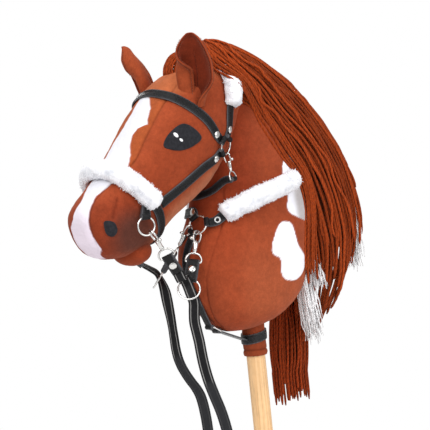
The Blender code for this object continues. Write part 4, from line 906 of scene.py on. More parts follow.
@dataclass(frozen=True)
class Finish:
    """A finish: its name, the record's slot, a base colour and the constants of its shader.

    Attributes:
        name: The material's name.
        slot: The record's slot.
        colour: Linear base colour.
        roughness: Base roughness.
        sheen: Sheen weight.
        specular: Specular level.
    """

    name: str
    slot: Slot
    colour: Triple
    roughness: float = 0.9
    sheen: float = 0.0
    specular: float = 0.3

    def material(self) -> bpy.types.Material:
        """A material with the constants set, and then the nodes that this kind of finish writes."""
        made = bpy.data.materials.new(self.name)
        made.use_nodes = True
        shader = made.node_tree.nodes["Principled BSDF"]
        shader.inputs["Base Color"].default_value = (*self.colour, 1.0)
        shader.inputs["Roughness"].default_value = self.roughness
        shader.inputs["Specular IOR Level"].default_value = self.specular
        shader.inputs["Sheen Weight"].default_value = self.sheen
        shader.inputs["Sheen Roughness"].default_value = 0.45
        self.write(Recipe(made.node_tree), shader)
        return made

    def write(self, recipe: Recipe, shader: bpy.types.Node) -> None:
        """Adds the nodes of this kind of finish to the shader."""
        raise NotImplementedError

    def mottled(self, recipe: Recipe, scale: float, amount: float) -> bpy.types.Node:
        """The base colour made uneven."""
        return recipe.use("mottle", Base=(*self.colour, 1.0), Scale=scale, Amount=amount)

    def bump(
        self, recipe: Recipe, shader: bpy.types.Node, height: object, distance: float, strength: float = 1.0
    ) -> None:
        """Feeds a height to the shader's normal through a Bump node."""
        made = recipe.node("Bump", {"Height": height, "Distance": distance, "Strength": strength})
        recipe.link(made.outputs[0], shader, "Normal")


@dataclass(frozen=True)
class Plush(Finish):
    """Velour pile: the painted tint, which holds painted light and shade, uneven nap, sheen at grazing
    angles.
    """

    nap: float = 700.0
    depth: float = 0.0007

    def write(self, recipe: Recipe, shader: bpy.types.Node) -> None:
        """Tint attribute with its painted light and shade, mottled; darker along the seams, with painted
        shade in the soft creases; pile bump.
        """
        shader.inputs["Sheen Tint"].default_value = (1.0, 0.72, 0.55, 1.0)
        tint = recipe.attribute("tint", "Color")
        blue = recipe.node("SeparateColor", {0: tint}).outputs["Blue"]
        amount = recipe.minus(0.11, recipe.times(blue, 0.12))
        tone = recipe.use("mottle", Base=tint, Scale=55.0, Amount=amount)
        fine = recipe.use("mottle", Base=tone.outputs["Color"], Scale=190.0, Amount=amount)
        # The seam mask darkens the seam lines and paints shade into the soft creases.
        seam = recipe.attribute("seam")
        dark = recipe.mix(1.0, fine.outputs["Color"], (0.42, 0.34, 0.32, 1.0), "MULTIPLY")
        colour = recipe.mix(recipe.times(seam, 0.75), fine.outputs["Color"], dark)
        recipe.link(colour, shader, "Base Color")
        nap = recipe.use("nap", Scale=self.nap).outputs["Height"]
        self.bump(recipe, shader, nap, self.depth, 0.85)


@dataclass(frozen=True)
class Yarn(Finish):
    """Plied yarn: fibre colour with painted shade in the grooves between the plies."""

    pitch: float = 0.0075

    def write(self, recipe: Recipe, shader: bpy.types.Node) -> None:
        """Twisted ridges by UV, strand to strand colour by the tone attribute, which also paints shade on
        lower strands and layers.
        """
        shader.inputs["Sheen Tint"].default_value = (1.0, 0.78, 0.6, 1.0)
        twist = recipe.use("twist", Pitch=self.pitch, Plies=2.0)
        tone = recipe.attribute("tone")
        grey = recipe.grey(tone)
        base = recipe.mix(1.0, (*self.colour, 1.0), grey, "MULTIPLY")
        fibre = recipe.use("mottle", Base=base, Scale=240.0, Amount=0.22)
        # Painted shade in the grooves between the plies.
        dark = recipe.mix(1.0, fibre.outputs["Color"], (0.38, 0.27, 0.22, 1.0), "MULTIPLY")
        colour = recipe.mix(recipe.times(twist.outputs["Groove"], 0.45), fibre.outputs["Color"], dark)
        recipe.link(colour, shader, "Base Color")
        fuzz = recipe.use("nap", Scale=1500.0).outputs["Height"]
        height = recipe.plus(twist.outputs["Height"], recipe.times(fuzz, 0.4))
        self.bump(recipe, shader, height, 0.0007)


@dataclass(frozen=True)
class Wool(Finish):
    """Fleece, felt and other matted fibre: soft clumps over fine nap."""

    amount: float = 0.08
    scale: float = 120.0
    nap: float = 500.0
    depth: float = 0.0009

    def write(self, recipe: Recipe, shader: bpy.types.Node) -> None:
        """Mottled base with a pile bump; the hollows painted a little darker and bluer, as shade."""
        tone = self.mottled(recipe, self.scale, self.amount)
        hollow = recipe.attribute("hollow")
        dark = recipe.mix(1.0, tone.outputs["Color"], (0.72, 0.74, 0.78, 1.0), "MULTIPLY")
        colour = recipe.mix(hollow, tone.outputs["Color"], dark)
        recipe.link(colour, shader, "Base Color")
        nap = recipe.use("nap", Scale=self.nap).outputs["Height"]
        self.bump(recipe, shader, nap, self.depth)


@dataclass(frozen=True)
class Leather(Finish):
    """Black strap leather: grain, worn paler edges and an uneven polish."""

    edge_colour: Triple = (0.1, 0.1, 0.11)
    grain: float = 1000.0

    def write(self, recipe: Recipe, shader: bpy.types.Node) -> None:
        """Grain bump; the edge attribute turns the cut edges paler and duller."""
        tone = self.mottled(recipe, 90.0, 0.3)
        edge = recipe.attribute("edge")
        worn = recipe.times(edge, recipe.plus(recipe.times(tone.outputs["Mask"], 0.5), 0.5))
        colour = recipe.mix(worn, tone.outputs["Color"], (*self.edge_colour, 1.0))
        recipe.link(colour, shader, "Base Color")
        polish = recipe.plus(recipe.times(tone.outputs["Mask"], 0.16), self.roughness - 0.08)
        recipe.link(recipe.plus(polish, recipe.times(edge, 0.2)), shader, "Roughness")
        height = recipe.use("grain", Scale=self.grain).outputs["Height"]
        self.bump(recipe, shader, height, 0.00022)


@dataclass(frozen=True)
class Thread(Finish):
    """Sewing thread: a fine ridged strand."""

    def write(self, recipe: Recipe, shader: bpy.types.Node) -> None:
        """Mottled thread colour with a fibre bump."""
        tone = self.mottled(recipe, 300.0, 0.2)
        recipe.link(tone.outputs["Color"], shader, "Base Color")
        self.bump(recipe, shader, recipe.use("nap", Scale=2200.0).outputs["Height"], 0.0002)


@dataclass(frozen=True)
class Metal(Finish):
    """Nickel plate: bright, with fine casting unevenness and duller touched spots."""

    def write(self, recipe: Recipe, shader: bpy.types.Node) -> None:
        """Metallic 1 with a cloudy polish and a slight orange-peel bump."""
        shader.inputs["Metallic"].default_value = 1.0
        tone = self.mottled(recipe, 160.0, 0.08)
        recipe.link(tone.outputs["Color"], shader, "Base Color")
        polish = recipe.plus(recipe.times(tone.outputs["Mask"], 0.14), self.roughness - 0.06)
        recipe.link(polish, shader, "Roughness")
        where = recipe.where()
        peel = recipe.noise(where, 420.0, 2.0)
        self.bump(recipe, shader, peel, 0.00008)


@dataclass(frozen=True)
class TurnedWood(Finish):
    """Pale turned dowel: long grain along the stick, pores and a soft varnish."""

    def write(self, recipe: Recipe, shader: bpy.types.Node) -> None:
        """Rings stretched along Z, thin darker pores, slight bump."""
        where = recipe.where()
        long = recipe.node("Mapping", {"Vector": where, "Scale": (1.0, 1.0, 0.035)}).outputs[0]
        bands = recipe.node(
            "TexWave", {"Vector": long, "Scale": 70.0, "Distortion": 5.0, "Detail": 3.0, "Detail Scale": 2.0}
        ).outputs["Fac"]
        pores = recipe.noise(long, 900.0, 3.0)
        darker = tuple(c * s for c, s in zip(self.colour, (0.8, 0.7, 0.58)))
        grain = recipe.mix(recipe.times(bands, 0.55), (*self.colour, 1.0), (*darker, 1.0))
        spots = recipe.minus(1.0, recipe.ramp(pores, 0.34, 0.46))
        colour = recipe.mix(recipe.times(spots, 0.45), grain, (*(c * 0.5 for c in self.colour), 1.0))
        tone = recipe.use("mottle", Base=colour, Scale=14.0, Amount=0.06)
        recipe.link(tone.outputs["Color"], shader, "Base Color")
        shader.inputs["Coat Weight"].default_value = 0.25
        shader.inputs["Coat Roughness"].default_value = 0.3
        self.bump(recipe, shader, recipe.plus(bands, pores), 0.0001)


@dataclass(frozen=True)
class ReinStrap(Finish):
    """Rein: leather ends with two pale piped lines that turn to matt woven webbing."""

    webbing: Triple = (0.045, 0.045, 0.05)
    piping: Triple = (0.34, 0.33, 0.32)

    def write(self, recipe: Recipe, shader: bpy.types.Node) -> None:
        """The cloth attribute blends leather grain to a basket weave read from the strap's UV."""
        cloth = recipe.attribute("cloth")
        line = recipe.attribute("edge")
        uv = recipe.node("SeparateXYZ", {0: recipe.where("UV")})
        warp = recipe.math("SINE", recipe.times(uv.outputs[0], 2 * math.pi / 0.0016))
        weft = recipe.math("SINE", recipe.times(uv.outputs[1], 2 * math.pi / 0.0013))
        weave = recipe.times(warp, weft)
        hide = self.mottled(recipe, 90.0, 0.3)
        woven = recipe.mix(
            recipe.ramp(weave, -0.9, 0.9), (*(c * 0.45 for c in self.webbing), 1.0), (*self.webbing, 1.0)
        )
        colour = recipe.mix(cloth, hide.outputs["Color"], woven)
        colour = recipe.mix(line, colour, (*self.piping, 1.0))
        recipe.link(colour, shader, "Base Color")
        rough = recipe.plus(recipe.times(cloth, 0.45), self.roughness)
        recipe.link(recipe.math("MINIMUM", rough, 0.95), shader, "Roughness")
        grain = recipe.use("grain", Scale=1000.0).outputs["Height"]
        height = recipe.plus(recipe.times(grain, 0.5), recipe.times(weave, cloth))
        self.bump(recipe, shader, height, 0.00035)


@dataclass(frozen=True)
class Paint(Finish):
    """A plain matt paint, very slightly uneven, for the studio's floor."""

    def write(self, recipe: Recipe, shader: bpy.types.Node) -> None:
        """The mottled colour only."""
        tone = self.mottled(recipe, 40.0, 0.02)
        recipe.link(tone.outputs["Color"], shader, "Base Color")


class Dress:
    """The horse's finishes, each material made once."""

    PLUSH = Plush("chestnut_plush", Slot.PLUSH, (0.33, 0.062, 0.02), 0.95, 0.1, 0.12)
    EAR = Plush("ear_plush", Slot.PLUSH, (0.33, 0.062, 0.02), 0.95, 0.1, 0.12, nap=900.0, depth=0.0005)
    YARN = Yarn("rust_yarn", Slot.YARN, (0.31, 0.047, 0.0085), 0.92, 0.05, 0.1)
    HANK = Yarn("brown_yarn", Slot.YARN, (0.3, 0.042, 0.0085), 0.92, 0.05, 0.1)
    WHITE_YARN = Yarn("white_yarn", Slot.YARN, (0.96, 0.96, 0.98), 0.92, 0.3, 0.1, pitch=0.003)
    # Painted shade: a dark sheet under the yarn, for the shade in the gaps between strands.
    CORE = Wool("mane_core", Slot.YARN, (0.045, 0.009, 0.003), 0.98, 0.0, 0.05, amount=0.3)
    FLEECE = Wool("white_fleece", Slot.FLEECE, (0.87, 0.87, 0.9), 0.97, 0.1, 0.1, amount=0.03)
    FELT = Wool(
        "black_felt", Slot.FELT, (0.021, 0.021, 0.025), 0.95, 0.1, 0.12, amount=0.3, scale=260.0, nap=1400.0,
        depth=0.0004,
    )
    SPARK = Wool(
        "white_felt", Slot.FELT, (0.92, 0.92, 0.94), 0.9, 0.1, 0.2, amount=0.04, scale=260.0, nap=1400.0,
        depth=0.0003,
    )
    LEATHER = Leather("black_leather", Slot.STRAP, (0.006, 0.006, 0.0068), 0.34, 0.0, 0.22)
    GLOSSY = Leather("glossy_leather", Slot.STRAP, (0.004, 0.004, 0.005), 0.18, 0.0, 0.4)
    STITCH = Thread("grey_thread", Slot.STRAP, (0.05, 0.05, 0.055), 0.8, 0.1, 0.2)
    SEAM_THREAD = Thread("brown_thread", Slot.PLUSH, (0.2, 0.05, 0.022), 0.85, 0.2, 0.3)
    REIN = ReinStrap("rein_strap", Slot.STRAP, (0.005, 0.005, 0.006), 0.4, 0.0, 0.2)
    NICKEL = Metal("nickel", Slot.METAL, (0.74, 0.73, 0.71), 0.2)
    DULL_NICKEL = Metal("dull_nickel", Slot.METAL, (0.5, 0.5, 0.5), 0.38)
    WOOD = TurnedWood("pale_wood", Slot.WOOD, (0.93, 0.6, 0.31), 0.5, 0.0, 0.35)
    FLOOR = Paint("studio_floor", Slot.WOOD, (0.86, 0.86, 0.86), 0.9)

    made: dict[str, bpy.types.Material] = {}

    @classmethod
    def put(cls, piece: bpy.types.Object, finish: Finish) -> bpy.types.Object:
        """Gives a piece one finish.

        Args:
            piece: The object.
            finish: Its finish.

        Returns:
            The same object.
        """
        if finish.name not in cls.made:
            cls.made[finish.name] = finish.material()
        piece.data.materials.clear()
        piece.data.materials.append(cls.made[finish.name])
        return piece


def place_piece(
    piece: bpy.types.Object, finish: Finish, *nodes: str, body: str = ROOT, padded: float | None = None
) -> bpy.types.Object:
    """Dresses a piece, lets it ride on a body and hides the CAD nodes that it replaces.

    Args:
        piece: The finished mesh object.
        finish: Its finish.
        nodes: CAD nodes that it replaces.
        body: The CAD body that it moves with.
        padded: How full it is stuffed, for a padded piece; not used.

    Returns:
        The piece.
    """
    Dress.put(piece, finish)
    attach(piece, body)
    if nodes:
        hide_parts(*nodes)
    LOG.info("%s on %s: %d faces", piece.name, body, len(piece.data.polygons))
    return piece


# ---------------------------------------------------------------- small parts


@dataclass(frozen=True)
class RingPlace:
    """Where a wire ring is: its middle, its normal, two directions in its plane, its radius."""

    centre: Triple
    normal: Triple
    first: Triple
    second: Triple
    radius: float

    def outward(self, degrees: float) -> np.ndarray:
        """Unit direction from the middle at an angle from first towards second."""
        turn = math.radians(degrees)
        return np.array(self.first) * math.cos(turn) + np.array(self.second) * math.sin(turn)

    def spot(self, degrees: float) -> np.ndarray:
        """Point of the wire's middle line at an angle."""
        return np.array(self.centre) + self.outward(degrees) * self.radius

    def tangent(self, degrees: float) -> np.ndarray:
        """Direction along the wire at an angle."""
        turn = math.radians(degrees)
        return np.array(self.second) * math.cos(turn) - np.array(self.first) * math.sin(turn)

    def leaving(self, degrees: float, reach: float = 0.011) -> list[np.ndarray]:
        """Guide points of a strap that leaves the ring squarely."""
        return [self.spot(degrees), self.spot(degrees) + self.outward(degrees) * reach]

    def wire(self, turn: np.ndarray, thick: np.ndarray) -> np.ndarray:
        """Grid of a circle of some radius carried along the wire's middle line."""
        first, second = np.array(self.first), np.array(self.second)
        out = np.cos(turn)[:, None] * first + np.sin(turn)[:, None] * second
        section = circle(1.0, 14) * thick[:, None, None]
        return sweep(np.array(self.centre) + out * self.radius, out, np.array(self.normal), section)

    def piece(self, name: str, body: str = ROOT) -> None:
        """The smooth ring in place of its CAD node, thicker where the wire's ends are welded."""
        made = surface(f"{name}_wire", self.wire(full_turn(64), np.full(64, RING_WIRE / 2)), along=True)
        turn = math.radians(70) + np.linspace(-0.09, 0.09, 7)
        swell = RING_WIRE / 2 + 0.00016 * np.sin(np.linspace(0.1, np.pi - 0.1, 7))
        weld = surface(f"{name}_weld", self.wire(turn, swell))
        place_piece(joined(f"{name}_wire", [made, weld]), Dress.NICKEL, name, body=body)


CHEEK = {
    Side.LEFT: RingPlace(
        (-0.06093, -0.05361, 0.33815), (0.35159, -0.90249, -0.24879), (-0.93615, -0.33895, -0.09344),
        (0.0, -0.26576, 0.96404), 0.0113,
    ),
    Side.RIGHT: RingPlace(
        (-0.06092, 0.05361, 0.33816), (0.35159, 0.90249, -0.2488), (-0.93616, 0.33894, -0.09344),
        (0.0, 0.26576, 0.96404), 0.0113,
    ),
}
BIT = {
    Side.LEFT: RingPlace(
        (-0.1975, -0.0505, 0.251), (-0.17903, -0.98384, 0.0), (-0.98384, 0.17903, 0.0), (0.0, 0.0, 1.0),
        0.0113,
    ),
    Side.RIGHT: RingPlace(
        (-0.1975, 0.0505, 0.251), (-0.17903, 0.98384, 0.0), (-0.98384, -0.17903, 0.0), (0.0, 0.0, 1.0), 0.0113
    ),
}
CHEST = RingPlace(
    (-0.09079, -0.01859, 0.24249), (-0.83866, -0.3642, 0.40498), (0.32796, -0.93132, -0.15837),
    (0.43485, 0.0, 0.9005), 0.0123,
)
RUNNING = {
    Side.LEFT: RingPlace(
        (-0.13175, -0.03815, 0.16535), (0.56216, 0.6697, -0.48526), (-0.47418, -0.21972, -0.85257),
        (-0.67759, 0.70938, 0.19404), 0.0138,
    ),
    Side.RIGHT: RingPlace(
        (-0.1233, 0.0312, 0.17816), (0.61214, -0.51385, -0.60104), (-0.342, 0.51327, -0.78714),
        (0.71296, 0.6874, 0.13846), 0.0138,
    ),
}


def flat_profile(
    width: float, low: float, high: float, corner: float = 0.0006, crown: float = 0.00025
) -> tuple[np.ndarray, np.ndarray]:
    """Closed profile of a strap: flat below, a little crowned above, with rounded cut edges.

    Args:
        width: Strap width.
        low: Height of the lower face.
        high: Height of the upper face.
        corner: Radius of the edges.
        crown: Extra height in the middle of the upper face.

    Returns:
        (s, h) points, (m, 2), and how much each is on a cut edge, (m,).
    """
    half = width / 2
    s = np.linspace(half - corner, corner - half, 11)
    top = np.stack((s, high + crown * (1 - (s / half) ** 2) - crown * 0.3), 1)
    turn = np.linspace(0, np.pi / 2, 4)[1:-1]
    c, d = np.cos(turn) * corner, np.sin(turn) * corner
    right_up = np.stack((half - corner + c, high - corner + d), 1)
    left_up = np.stack((corner - half - d, high - corner + c), 1)
    left_down = np.stack((corner - half - c, low + corner - d), 1)
    right_down = np.stack((half - corner + d, low + corner - c), 1)
    ends = np.array(
        ((half, high - corner), (-half, high - corner), (-half, low + corner), (half, low + corner))
    )
    bottom = np.stack((s[::-1], np.full(11, low)), 1)
    points = np.vstack((ends[:1], right_up, top, left_up, ends[1:3], left_down, bottom, right_down, ends[3:]))
    return points, smoothstep(np.abs(points[:, 0]), half - 1.6 * corner, half - 0.5 * corner)


def strap_surface(
    name: str,
    grid: np.ndarray,
    run: np.ndarray,
    section: np.ndarray,
    along: bool = False,
    **attributes: np.ndarray,
) -> bpy.types.Object:
    """A strap's mesh with UV in metres, by its run along and its profile's s across."""
    uv = np.stack(np.broadcast_arrays(run[:, None], section[None, :, 0]), -1)
    return surface(name, grid, along=along, uv=uv, **attributes)


def band_piece(
    name: str, skin: Skin, stations: Stations, width: float, lifts: Pair = (0.0, 0.0),
    narrow: Pair = (1.0, 1.0),
) -> bpy.types.Object:
    """A leather band on a skin, with UV in metres and its cut edges marked.

    Args:
        name: The object's name.
        skin: What the band lies on.
        stations: Its places.
        width: Its width.
        lifts: Extra height at its ends.
        narrow: Share of its width at its ends.

    Returns:
        The mesh object.
    """
    section, edge = flat_profile(width, PILE_GAP, PILE_GAP + STRAP)
    grid = stations.on(skin, section, lifts, narrow)
    return strap_surface(name, grid, stations.run(), section, stations.closed, edge=edge)


def round_strands(
    lines: np.ndarray, wide: np.ndarray, thin: np.ndarray, radius: np.ndarray, sides: int
) -> np.ndarray:
    """Grids of many round strands: line + (wide * cos + thin * sin) * radius round each point.

    Args:
        lines: Middle lines, (k, n, 3).
        wide: Unit directions square to them, (k, n, 3) or (k, 1, 3).
        thin: Unit directions square to both.
        radius: Half thickness, (k, n) or (1, n).
        sides: Points around.

    Returns:
        Grids, (k, n, sides, 3).
    """
    turn = full_turn(sides)[:, None]
    around = wide[..., None, :] * np.cos(turn) + thin[..., None, :] * np.sin(turn)
    return lines[..., None, :] + around * radius[..., None, None]


def stitch_row(
    path: np.ndarray, normals: np.ndarray, pitch: float = 0.0034, length: float = 0.0023
) -> np.ndarray:
    """Grids of a row of stitches: short rounded dashes that dip into the strap at both ends.

    Args:
        path: Points of the row on the strap's face.
        normals: The face's normals there.
        pitch: From one stitch to the next.
        length: Of one stitch.

    Returns:
        Grids, (stitches, 4, 5, 3).
    """
    run = run_of(path)
    count = max(1, int((run[-1] - length) / pitch))
    middle = (np.arange(count) + 0.5) * pitch + (run[-1] - count * pitch) / 2
    spots = keyed(middle, run, path)
    normal = unit(keyed(middle, run, normals))
    ahead = unit(keyed(middle + pitch / 3, run, path) - keyed(middle - pitch / 3, run, path))
    wide = unit(np.cross(ahead, normal))
    t = np.array((-0.5, -0.28, 0.28, 0.5))
    height = np.array((-0.00012, 0.00012, 0.00012, -0.00012))
    size = np.array((0.00018, 0.00032, 0.00032, 0.00018))
    line = (
        spots[:, None]
        + ahead[:, None] * (t * length)[None, :, None]
        + normal[:, None] * height[None, :, None]
    )
    return round_strands(line, wide[:, None], normal[:, None], size[None], 5)


def stitch_band(
    name: str, skin: Skin, stations: Stations, width: float, lifts: Pair = (0.0, 0.0), inset: float = 0.0021
) -> None:
    """Two stitch rows along a band, each an inset from its edge."""
    rows = []
    for sign in (-1, 1):
        spot = np.array(((sign * (width / 2 - inset), PILE_GAP + STRAP + 0.00012),))
        grid = stations.on(skin, spot, lifts)[:, 0]
        normals = stations.normals
        if stations.closed:
            grid, normals = np.vstack((grid, grid[:1])), np.vstack((normals, normals[:1]))
        rows.append(stitch_row(grid, normals))
    place_piece(surface(name, np.concatenate(rows)), Dress.STITCH)


def dome(
    name: str, foot: np.ndarray, normal: np.ndarray, radius: float = 0.0048, height: float = 0.0017
) -> bpy.types.Object:
    """A dome rivet: a lathe profile with a thin flange, turned about the face's normal."""
    share = np.linspace(0.04, 1, 10)
    cap = np.stack((radius * 0.92 * share, height * np.sqrt(1 - (share * 0.94) ** 2)), 1)
    rim = np.array(
        ((radius * 0.965, height * 0.3), (radius, height * 0.16), (radius, -0.0006), (radius * 0.4, -0.0006))
    )
    hint = (1.0, 0.0, 0.0) if abs(normal[0]) < 0.8 else (0.0, 1.0, 0.0)
    return surface(name, turned_form(np.vstack((cap, rim)), placing(foot, hint, normal)))


def roll(centre: np.ndarray, along: np.ndarray, width: float, radius: float) -> bpy.types.Object:
    """A strap's end rolled round a wire: a short bar with softened rims."""
    t = np.array((-0.5, -0.492, -0.465, -0.43, 0.43, 0.465, 0.492, 0.5))
    size = radius * np.array((0.86, 0.93, 0.985, 1.0, 1.0, 0.985, 0.93, 0.86))
    path = np.asarray(centre) + np.outer(t * width, unit(np.asarray(along, float)))
    edge = smoothstep(np.abs(t), 0.45, 0.492)[:, None]
    return surface("roll", tube(path, size, (0.31, 0.23, 0.92), 22), edge=edge)


def doubled_profile(rim: np.ndarray, top: np.ndarray, corner: float, steps: int) -> np.ndarray:
    """Closed profile of a thick strap: an upper half, and the same turned half round below it.

    Args:
        rim: Right edge, from the middle height up to where the corner starts, (k, 2).
        top: Upper face from right to left, (m, 2).
        corner: Radius of the corners.
        steps: Points of a corner, with the two that the rim and the top already have.

    Returns:
        (s, h) points.
    """
    turn = np.linspace(0, np.pi / 2, steps)[1:-1]
    (half, start), flip = rim[-1], (-1, 1)
    round_off = np.stack((half - corner + corner * np.cos(turn), start + corner * np.sin(turn)), 1)
    upper = np.vstack((rim, round_off, top, (round_off * flip)[::-1], (rim[1:] * flip)[::-1]))
    return np.vstack((upper, -upper))


@dataclass(frozen=True)
class HookPlace:
    """Where a snap hook hangs: its ring's wire, its axis, the way its lever faces, its eye's bar."""

    name: str
    origin: Triple
    up: Triple
    side: Triple
    bar: Triple
    scale: float
    seat: float


HOOKS = {
    place.name: place
    for place in (
        HookPlace(
            "throat_left", (-0.05873, -0.04988, 0.32771), (-0.12753, 0.14101, 0.98176),
            (-0.23527, 0.95729, -0.16806), (-0.93592, -0.34475, -0.07206), 0.8, 0.00035,
        ),
        HookPlace(
            "throat_right", (-0.05872, 0.04987, 0.32772), (-0.12719, -0.14102, 0.9818),
            (0.23529, 0.9573, 0.16799), (0.93592, -0.34484, 0.07171), 0.8, 0.00035,
        ),
        HookPlace(
            "fork_left", (-0.09509, -0.02117, 0.23126), (0.47418, 0.21972, 0.85257),
            (0.87938, -0.07107, -0.47078), (0.67759, -0.70938, -0.19404), 1.0, 0.00135,
        ),
        HookPlace(
            "fork_right", (-0.09686, -0.00848, 0.23901), (0.342, -0.51327, 0.78714),
            (0.93813, 0.13807, -0.31758), (-0.71296, -0.6874, -0.13846), 1.0, 0.00135,
        ),
        HookPlace(
            "rein_left", (-0.19106, -0.05167, 0.24179), (-0.59491, -0.10983, 0.79626),
            (0.05261, 0.98318, 0.17492), (0.60968, -0.70722, 0.35796), 1.0, 0.0007,
        ),
        HookPlace(
            "rein_right", (-0.18969, 0.05192, 0.24296), (-0.71231, 0.1947, 0.67432),
            (-0.05091, -0.97256, 0.22703), (0.5354, 0.77197, 0.34267), 1.0, 0.0007,
        ),
    )
}


@dataclass
class SnapHook:
    """A cast snap hook: open loop and tapered body, sprung lever with a thumb ball, swivel eye.

    Sizes are those of the full-size hook; a smaller one is scaled about the top of its loop.
    Places are (x, z) in the hook's plane, pin and root (radius, half width), the cast body's
    rows (z, half width, half depth) and the shank's rows (radius, z).
    """

    place: HookPlace
    loop_radius: float = 0.0056
    wire: float = 0.0014
    loop_top: float = 0.00295
    lever_pivot: Pair = (-0.0024, -0.0144)
    lever_route: tuple = ((-0.0024, -0.0144), (-0.0044, -0.0112), (-0.0054, -0.008), (-0.0056, -0.0044))
    knob: Pair = (-0.0084, -0.0102)
    knob_radius: float = 0.0023
    bar_depth: float = -0.041
    bar_half: float = 0.0099
    eye_top: float = -0.0284
    gate_wire: float = 0.0009
    arm_wire: float = 0.001
    pin: Pair = (0.0012, 0.0031)
    root: Pair = (0.0022, 0.0012)
    cast: tuple = (
        (-0.0112, 0.0026, 0.0014), (-0.0126, 0.0038, 0.0023), (-0.0145, 0.0043, 0.0027),
        (-0.0172, 0.004, 0.0028), (-0.02, 0.0034, 0.0027), (-0.0228, 0.0027, 0.0025),
        (-0.024, 0.0026, 0.0025), (-0.0244, 0.003, 0.003), (-0.025, 0.0029, 0.0029),
    )
    shank: tuple = (
        (0.0006, -0.0222), (0.0011, -0.0226), (0.0011, -0.0252), (0.0024, -0.0254), (0.0026, -0.0258),
        (0.0026, -0.0264), (0.0024, -0.0268), (0.0013, -0.027), (0.0015, -0.028), (0.0014, -0.029),
    )

    def local(self, points: object) -> np.ndarray:
        """Full-size (x, z) points scaled about the loop's top, as local 3-D points."""
        xz = np.asarray(points, float)
        top = RING_WIRE / 2 + self.place.seat + self.wire * self.place.scale
        x, z = xz[..., 0] * self.place.scale, top + (xz[..., 1] - self.loop_top) * self.place.scale
        return np.stack((x, 0 * x, z), -1)

    def frame_place(self) -> np.ndarray:
        """4x4 place of the hook's frame."""
        return placing(self.place.origin, self.place.side, self.place.up)

    def eye_place(self) -> np.ndarray:
        """4x4 place of the swivel eye."""
        return placing(self.place.origin, self.place.bar, self.place.up)

    def bar_centre(self) -> np.ndarray:
        """Middle of the eye's straight bar."""
        return moved(self.local((0.0, self.bar_depth)), self.eye_place())

    def bent(
        self, points: object, radius: float, place: np.ndarray, name: str, closed: bool = False
    ) -> bpy.types.Object:
        """A smooth round wire through (x, z) points of the hook's flat plane."""
        path = evenly(self.local(points), 0.0006 * self.place.scale, closed)
        grid = tube(path, radius * self.place.scale, (0.0, 1.0, 0.0), 14, closed)
        return surface(name, moved(grid, place), along=closed)

    def body(self, place: np.ndarray, name: str) -> bpy.types.Object:
        """The tapered body: ellipses whose half sizes are interpolated between the cast's rows."""
        stations = np.array(self.cast)
        z = np.linspace(stations[0, 0], stations[-1, 0], 30)
        wide, deep = (np.interp(-z, -stations[:, 0], stations[:, k]) for k in (1, 2))
        middle = self.local(np.stack((0 * z, z), 1))
        turn = full_turn(24)
        flat = np.stack(
            (wide[:, None] * np.cos(turn), deep[:, None] * np.sin(turn), 0 * wide[:, None] + 0 * turn), -1
        )
        return surface(name, moved(middle[:, None] + flat * self.place.scale, place))

    def disc(self, at: Pair, radius: float, half: float, place: np.ndarray, name: str) -> bpy.types.Object:
        """A flat round plate across the hook's plane."""
        path = (
            self.local(at)
            + np.outer(np.array((-1, -0.94, 0.94, 1)) * half * self.place.scale, (0.0, 1.0, 0.0))
        )
        size = radius * self.place.scale * np.array((0.92, 1.0, 1.0, 0.92))
        return surface(name, moved(tube(path, size, (1.0, 0.0, 0.0), 20), place))

    def ball(self, at: Pair, radius: float, place: np.ndarray, name: str) -> bpy.types.Object:
        """A ball: a half circle turned about the hook's axis."""
        turn = np.linspace(0.06, np.pi - 0.06, 14)
        profile = np.stack((np.sin(turn), np.cos(turn)), 1) * radius * self.place.scale
        local = placing(self.local(at), (1.0, 0.0, 0.0), (0.0, 0.0, 1.0))
        return surface(name, moved(turned_form(profile, local, 20), place))

    def build(self) -> None:
        """Makes frame, lever and swivel eye in place of their CAD nodes."""
        name, place = self.place.name, self.frame_place()
        centre = self.loop_top - self.loop_radius
        arc = np.radians(np.arange(-10, 181, 19))
        route = [(0.0022, -0.015), (0.0042, -0.0112), (0.0053, -0.0075)]
        route += [(self.loop_radius * math.cos(a), centre + self.loop_radius * math.sin(a)) for a in arc]
        route.append((-self.loop_radius, centre - 0.001))
        parts = [self.bent(route, self.wire, place, "loop"), self.body(place, "cast")]
        parts.append(self.disc(self.lever_pivot, *self.pin, place, "pin"))
        place_piece(joined(f"{name}_cast_hook", parts), Dress.NICKEL, f"{name}_hook", body=f"{name}_snap")
        parts = [
            self.disc(self.lever_pivot, *self.root, place, "root"),
            self.bent(self.lever_route, self.gate_wire, place, "gate"),
            self.bent((self.lever_route[1], (-0.0066, -0.0108), self.knob), self.arm_wire, place, "arm"),
            self.ball(self.knob, self.knob_radius, place, "thumb"),
        ]
        place_piece(joined(f"{name}_sprung_lever", parts), Dress.NICKEL, f"{name}_lever", body=f"{name}_gate")
        eye = self.eye_place()
        bar, top, wide = self.bar_depth, self.eye_top, self.bar_half
        half = [
            (0.0, bar), (0.55 * wide, bar), (0.9 * wide, bar + 0.0003), (wide, bar + 0.0018),
            (0.98 * wide, bar + 0.0055), (0.62 * wide, top - 0.0018),
        ]
        outline = half + [(0.0, top)] + [(-x, z) for x, z in reversed(half[1:])]
        parts = [self.bent(outline, EYE_WIRE, eye, "eye", closed=True)]
        shank = np.array(self.shank)
        axis = self.local(np.stack((0 * shank[:, 0], shank[:, 1]), 1))
        turn = full_turn(18)
        out = np.stack((np.cos(turn), np.sin(turn), 0 * turn), -1)
        grid = axis[:, None] + out * (shank[:, 0] * self.place.scale)[:, None, None]
        parts.append(surface("shank", moved(grid, eye)))
        place_piece(joined(f"{name}_swivel_eye", parts), Dress.NICKEL, f"{name}_swivel")


